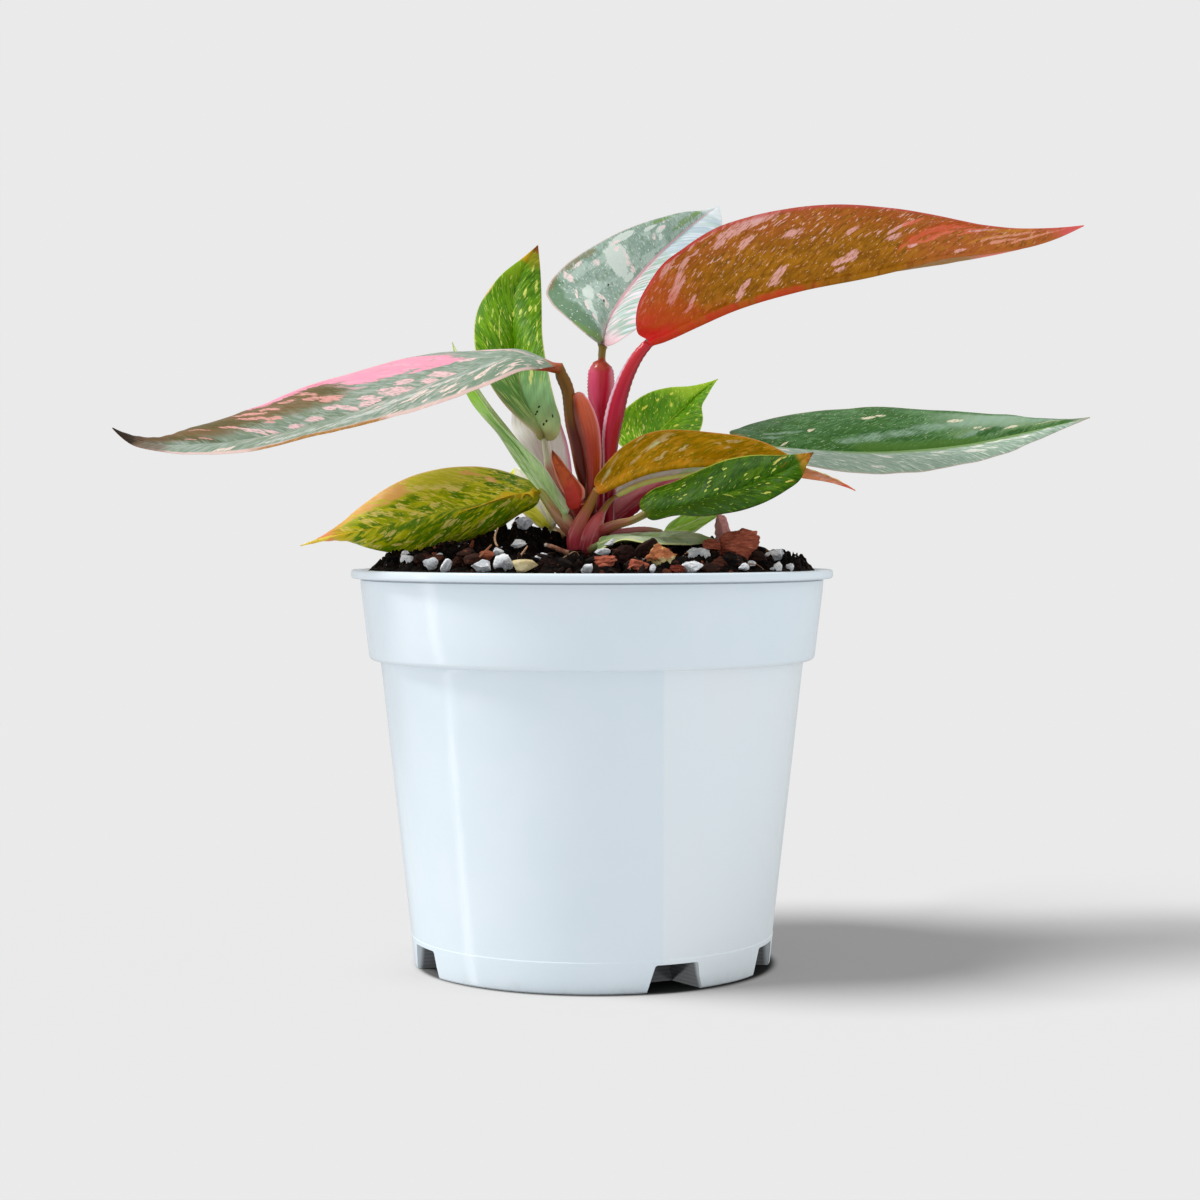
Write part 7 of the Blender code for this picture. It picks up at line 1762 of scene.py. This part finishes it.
points, faces, attributes = tube([(*carry(x, z, y), r) for x, z, y, r in AERIAL_ROOT], 24, rows=40)
new_piece("aerial_root_fine", points, faces, ("aerial_root",), attributes, smooth=60, mat=root_material())

CHIP = {
    "bark_red": chip_material("bark_chip_red_brown", srgb(104, 42, 30), srgb(186, 100, 76), srgb(232, 170, 148)),
    "bark_pink": chip_material("bark_chip_pink", srgb(206, 138, 134), srgb(236, 172, 168), srgb(246, 204, 200), bands=0.35),
    "bark_brown": chip_material("bark_chip_dark_brown", srgb(34, 18, 14), srgb(84, 46, 32), srgb(130, 80, 58)),
    "wood_pale": wood_chip_material(),
    "perlite": perlite_material(),
    "pumice": perlite_material("pumice_pale_grey", (226, 228, 232), (160, 164, 170)),
    "stone_cream": stone_material(),
}
for name, spec in GRAINS.items():
    grain(name, spec, CHIP[spec[6]], spec[6], spec[7])
for name, spec in MORE_GRAINS.items():
    grain(name, spec, CHIP[spec[6]], "bark_red" if spec[6] == "bark_pink" else spec[6], spec[7], stands_for=())
scattered("mix_crumbs", 71, 620, (0.9, 4.2), ("bark",), chip_material("crumb_bark", srgb(12, 8, 7), srgb(48, 26, 18), srgb(150, 82, 56), rough=0.7), "mix_dark", level=2, hand=SMALL_GRAINS)
scattered("perlite_crumbs", 73, 70, (0.9, 3.0), ("perlite", "stone"), CHIP["perlite"], "perlite", level=2, sink=0.22, hand=SMALL_GRAINS)
fibres("coir_fibres", 79, 26, fibre_material(), hand=[
    [(-29.6, 130.0, -40, 0.30), (-30.4, 132.5, -38, 0.34), (-29.4, 135.5, -37, 0.22)],
    [(-35.0, 126.6, -52, 0.35), (-33.0, 128.6, -50, 0.35), (-31.5, 130.2, -49, 0.25)],
    [(-23.0, 126.2, -50, 0.30), (-21.5, 128.0, -49, 0.32), (-20.2, 129.8, -48, 0.22)],
])


# ---------------------------------------------------------------- stage, light and camera
BACK = 0.823  # linear tone of the paper behind and under the pot
FLOOR_ALBEDO = 0.12


def emission_floor():
    """A level floor of the backdrop's own tone. Of the lamps only its own sun reaches it, so it stays even up to the
    pot, except for a painted contact shadow: a narrow darker ring round the pot's foot, set a little to the front and
    right.
    """
    mesh = bpy.data.meshes.new("floor")
    half = 60.0
    mesh.from_pydata([(-half, -half, 0), (half, -half, 0), (half, half, 0), (-half, half, 0)], [], [(0, 1, 2, 3)])
    floor = bpy.data.objects.new("floor", mesh)
    bpy.context.scene.collection.objects.link(floor)
    mat = bpy.data.materials.new("floor_paper")
    mat.use_nodes = True
    t = mat.node_tree
    t.nodes.clear()
    out = t.nodes.new("ShaderNodeOutputMaterial")
    matt = t.nodes.new("ShaderNodeBsdfDiffuse")
    matt.inputs["Color"].default_value = (FLOOR_ALBEDO, FLOOR_ALBEDO, FLOOR_ALBEDO, 1)
    glow = t.nodes.new("ShaderNodeEmission")
    glow.inputs["Color"].default_value = (1.03, 1.0, 1.0, 1)
    glow.inputs["Strength"].default_value = FLOOR_GLOW
    near = t.nodes.new("ShaderNodeAddShader")
    t.links.new(matt.outputs[0], near.inputs[0])
    t.links.new(glow.outputs[0], near.inputs[1])
    far = t.nodes.new("ShaderNodeEmission")
    far.inputs["Color"].default_value = (BACK, BACK, BACK, 1)
    place = t.nodes.new("ShaderNodeTexCoord")
    size = t.nodes.new("ShaderNodeVectorMath")
    size.operation = "LENGTH"
    t.links.new(place.outputs["Object"], size.inputs[0])
    fade = t.nodes.new("ShaderNodeMapRange")
    fade.interpolation_type = "SMOOTHSTEP"
    fade.inputs[1].default_value, fade.inputs[2].default_value = 0.40, 0.95
    t.links.new(size.outputs["Value"], fade.inputs[0])
    # Painted contact shadow round the pot's foot: its centre is moved 1.6 mm to the front and 1 mm to the right.
    contact_shade_offset = t.nodes.new("ShaderNodeVectorMath")
    contact_shade_offset.inputs[1].default_value = (-0.0010, 0.0016, 0.0)
    t.links.new(place.outputs["Object"], contact_shade_offset.inputs[0])
    reach = t.nodes.new("ShaderNodeVectorMath")
    reach.operation = "LENGTH"
    t.links.new(contact_shade_offset.outputs["Vector"], reach.inputs[0])
    # Painted contact shadow: the glow fades out towards the foot.
    foot = t.nodes.new("ShaderNodeMapRange")
    foot.interpolation_type = "SMOOTHSTEP"
    foot.inputs[1].default_value, foot.inputs[2].default_value = (FOOT_R - 1.4) / 1000, (FOOT_R + 2.4) / 1000
    foot.inputs[3].default_value, foot.inputs[4].default_value = 0.0, FLOOR_GLOW
    t.links.new(reach.outputs["Value"], foot.inputs[0])
    t.links.new(foot.outputs[0], glow.inputs["Strength"])
    # Painted contact shadow: the floor's albedo drops to 0.03 in a narrow ring at the foot.
    ring = t.nodes.new("ShaderNodeMapRange")
    ring.inputs[1].default_value, ring.inputs[2].default_value = (FOOT_R - 0.6) / 1000, (FOOT_R + 0.9) / 1000
    ring.inputs[3].default_value, ring.inputs[4].default_value = 0.03, FLOOR_ALBEDO
    t.links.new(reach.outputs["Value"], ring.inputs[0])
    t.links.new(ring.outputs[0], matt.inputs["Color"])
    mix = t.nodes.new("ShaderNodeMixShader")
    t.links.new(fade.outputs[0], mix.inputs[0])
    t.links.new(near.outputs[0], mix.inputs[1])
    t.links.new(far.outputs[0], mix.inputs[2])
    t.links.new(mix.outputs[0], out.inputs[0])
    mesh.materials.append(mat)
    floor.visible_glossy = False
    return floor


def add_light(name, kind, at, aim, power, colour=(1, 1, 1), size=0.1, size_y=0.1):
    light = bpy.data.lights.new(name, kind)
    light.energy, light.color = power, colour
    if kind == "AREA":
        light.shape, light.size, light.size_y = "RECTANGLE", size, size_y
    else:
        light.angle = math.radians(size)
    obj = bpy.data.objects.new(name, light)
    bpy.context.scene.collection.objects.link(obj)
    obj.location = at
    obj.rotation_euler = (mathutils.Vector(aim) - mathutils.Vector(at)).to_track_quat("-Z", "Y").to_euler()
    return obj


def shine_on(light, obj, only):
    """Keeps a light to one object, or off it."""
    group = bpy.data.collections.new(light.name + "_reaches")
    group.objects.link(obj)
    light.light_linking.receiver_collection = group
    if not only:
        group.collection_objects[0].light_linking.link_state = "EXCLUDE"


SUN_FROM = (-1.0, -0.13, 1.43)
FLOOR_SUN_FROM = (-1.0, -0.19, 1.55)
FLOOR_SUN = 16.1
WORLD_EVEN, WORLD_SIDES, WORLD_TOP = 0.565, 0.41, 0.36
FLOOR_GLOW = 0.209

floor = emission_floor()
shine_on(add_light("floor_sun", "SUN", FLOOR_SUN_FROM, (0, 0, 0), FLOOR_SUN, size=25.0), floor, True)
shine_on(add_light("key_sun", "SUN", SUN_FROM, (0, 0, 0), 1.40, (1.0, 0.99, 0.97), size=12.0), floor, False)
shine_on(add_light("strip", "AREA", (-1.0, -0.112, 0.0), (0.0, -0.06, 0.0), 1.5, size=0.10, size_y=1.8), floor, False)

world = bpy.data.worlds.new("studio")
bpy.context.scene.world = world
world.use_nodes = True
wt = world.node_tree
wt.nodes.clear()
wo = wt.nodes.new("ShaderNodeOutputWorld")
seen = wt.nodes.new("ShaderNodeBackground")
seen.inputs["Color"].default_value = (BACK, BACK, BACK, 1)
lit = wt.nodes.new("ShaderNodeBackground")
lit.inputs["Color"].default_value = (0.94, 0.98, 1.0, 1)
way = wt.nodes.new("ShaderNodeTexCoord")
axes = wt.nodes.new("ShaderNodeSeparateXYZ")
wt.links.new(way.outputs["Generated"], axes.inputs[0])


def sky(op, a, b, c=None):
    n = wt.nodes.new("ShaderNodeMath")
    n.operation = op
    for socket, value in zip(n.inputs, (a, b, c)):
        if isinstance(value, bpy.types.NodeSocket):
            wt.links.new(value, socket)
        elif value is not None:
            socket.default_value = value
    return n.outputs[0]


sides = sky("MULTIPLY", axes.outputs[0], axes.outputs[0])
above = sky("MAXIMUM", axes.outputs[2], 0.0)
above = sky("MULTIPLY", above, above)
level = sky("MULTIPLY_ADD", sides, WORLD_SIDES, WORLD_EVEN)
wt.links.new(sky("MULTIPLY_ADD", above, WORLD_TOP, level), lit.inputs["Strength"])
path = wt.nodes.new("ShaderNodeLightPath")
pick = wt.nodes.new("ShaderNodeMixShader")
wt.links.new(path.outputs["Is Camera Ray"], pick.inputs[0])
wt.links.new(lit.outputs[0], pick.inputs[1])
wt.links.new(seen.outputs[0], pick.inputs[2])
wt.links.new(pick.outputs[0], wo.inputs[0])

cam = bpy.data.cameras.new("camera")
cam.sensor_width, cam.lens = 36.0, 68.7
cam.clip_start, cam.clip_end = 0.01, 200.0
camera = bpy.data.objects.new("camera", cam)
camera.location = (0.0025, -0.716, 0.1349)
camera.rotation_euler = (math.radians(90 - 1.75), 0.0, 0.0)
bpy.context.scene.collection.objects.link(camera)
bpy.context.scene.camera = camera
bpy.context.scene.view_settings.view_transform = "Standard"

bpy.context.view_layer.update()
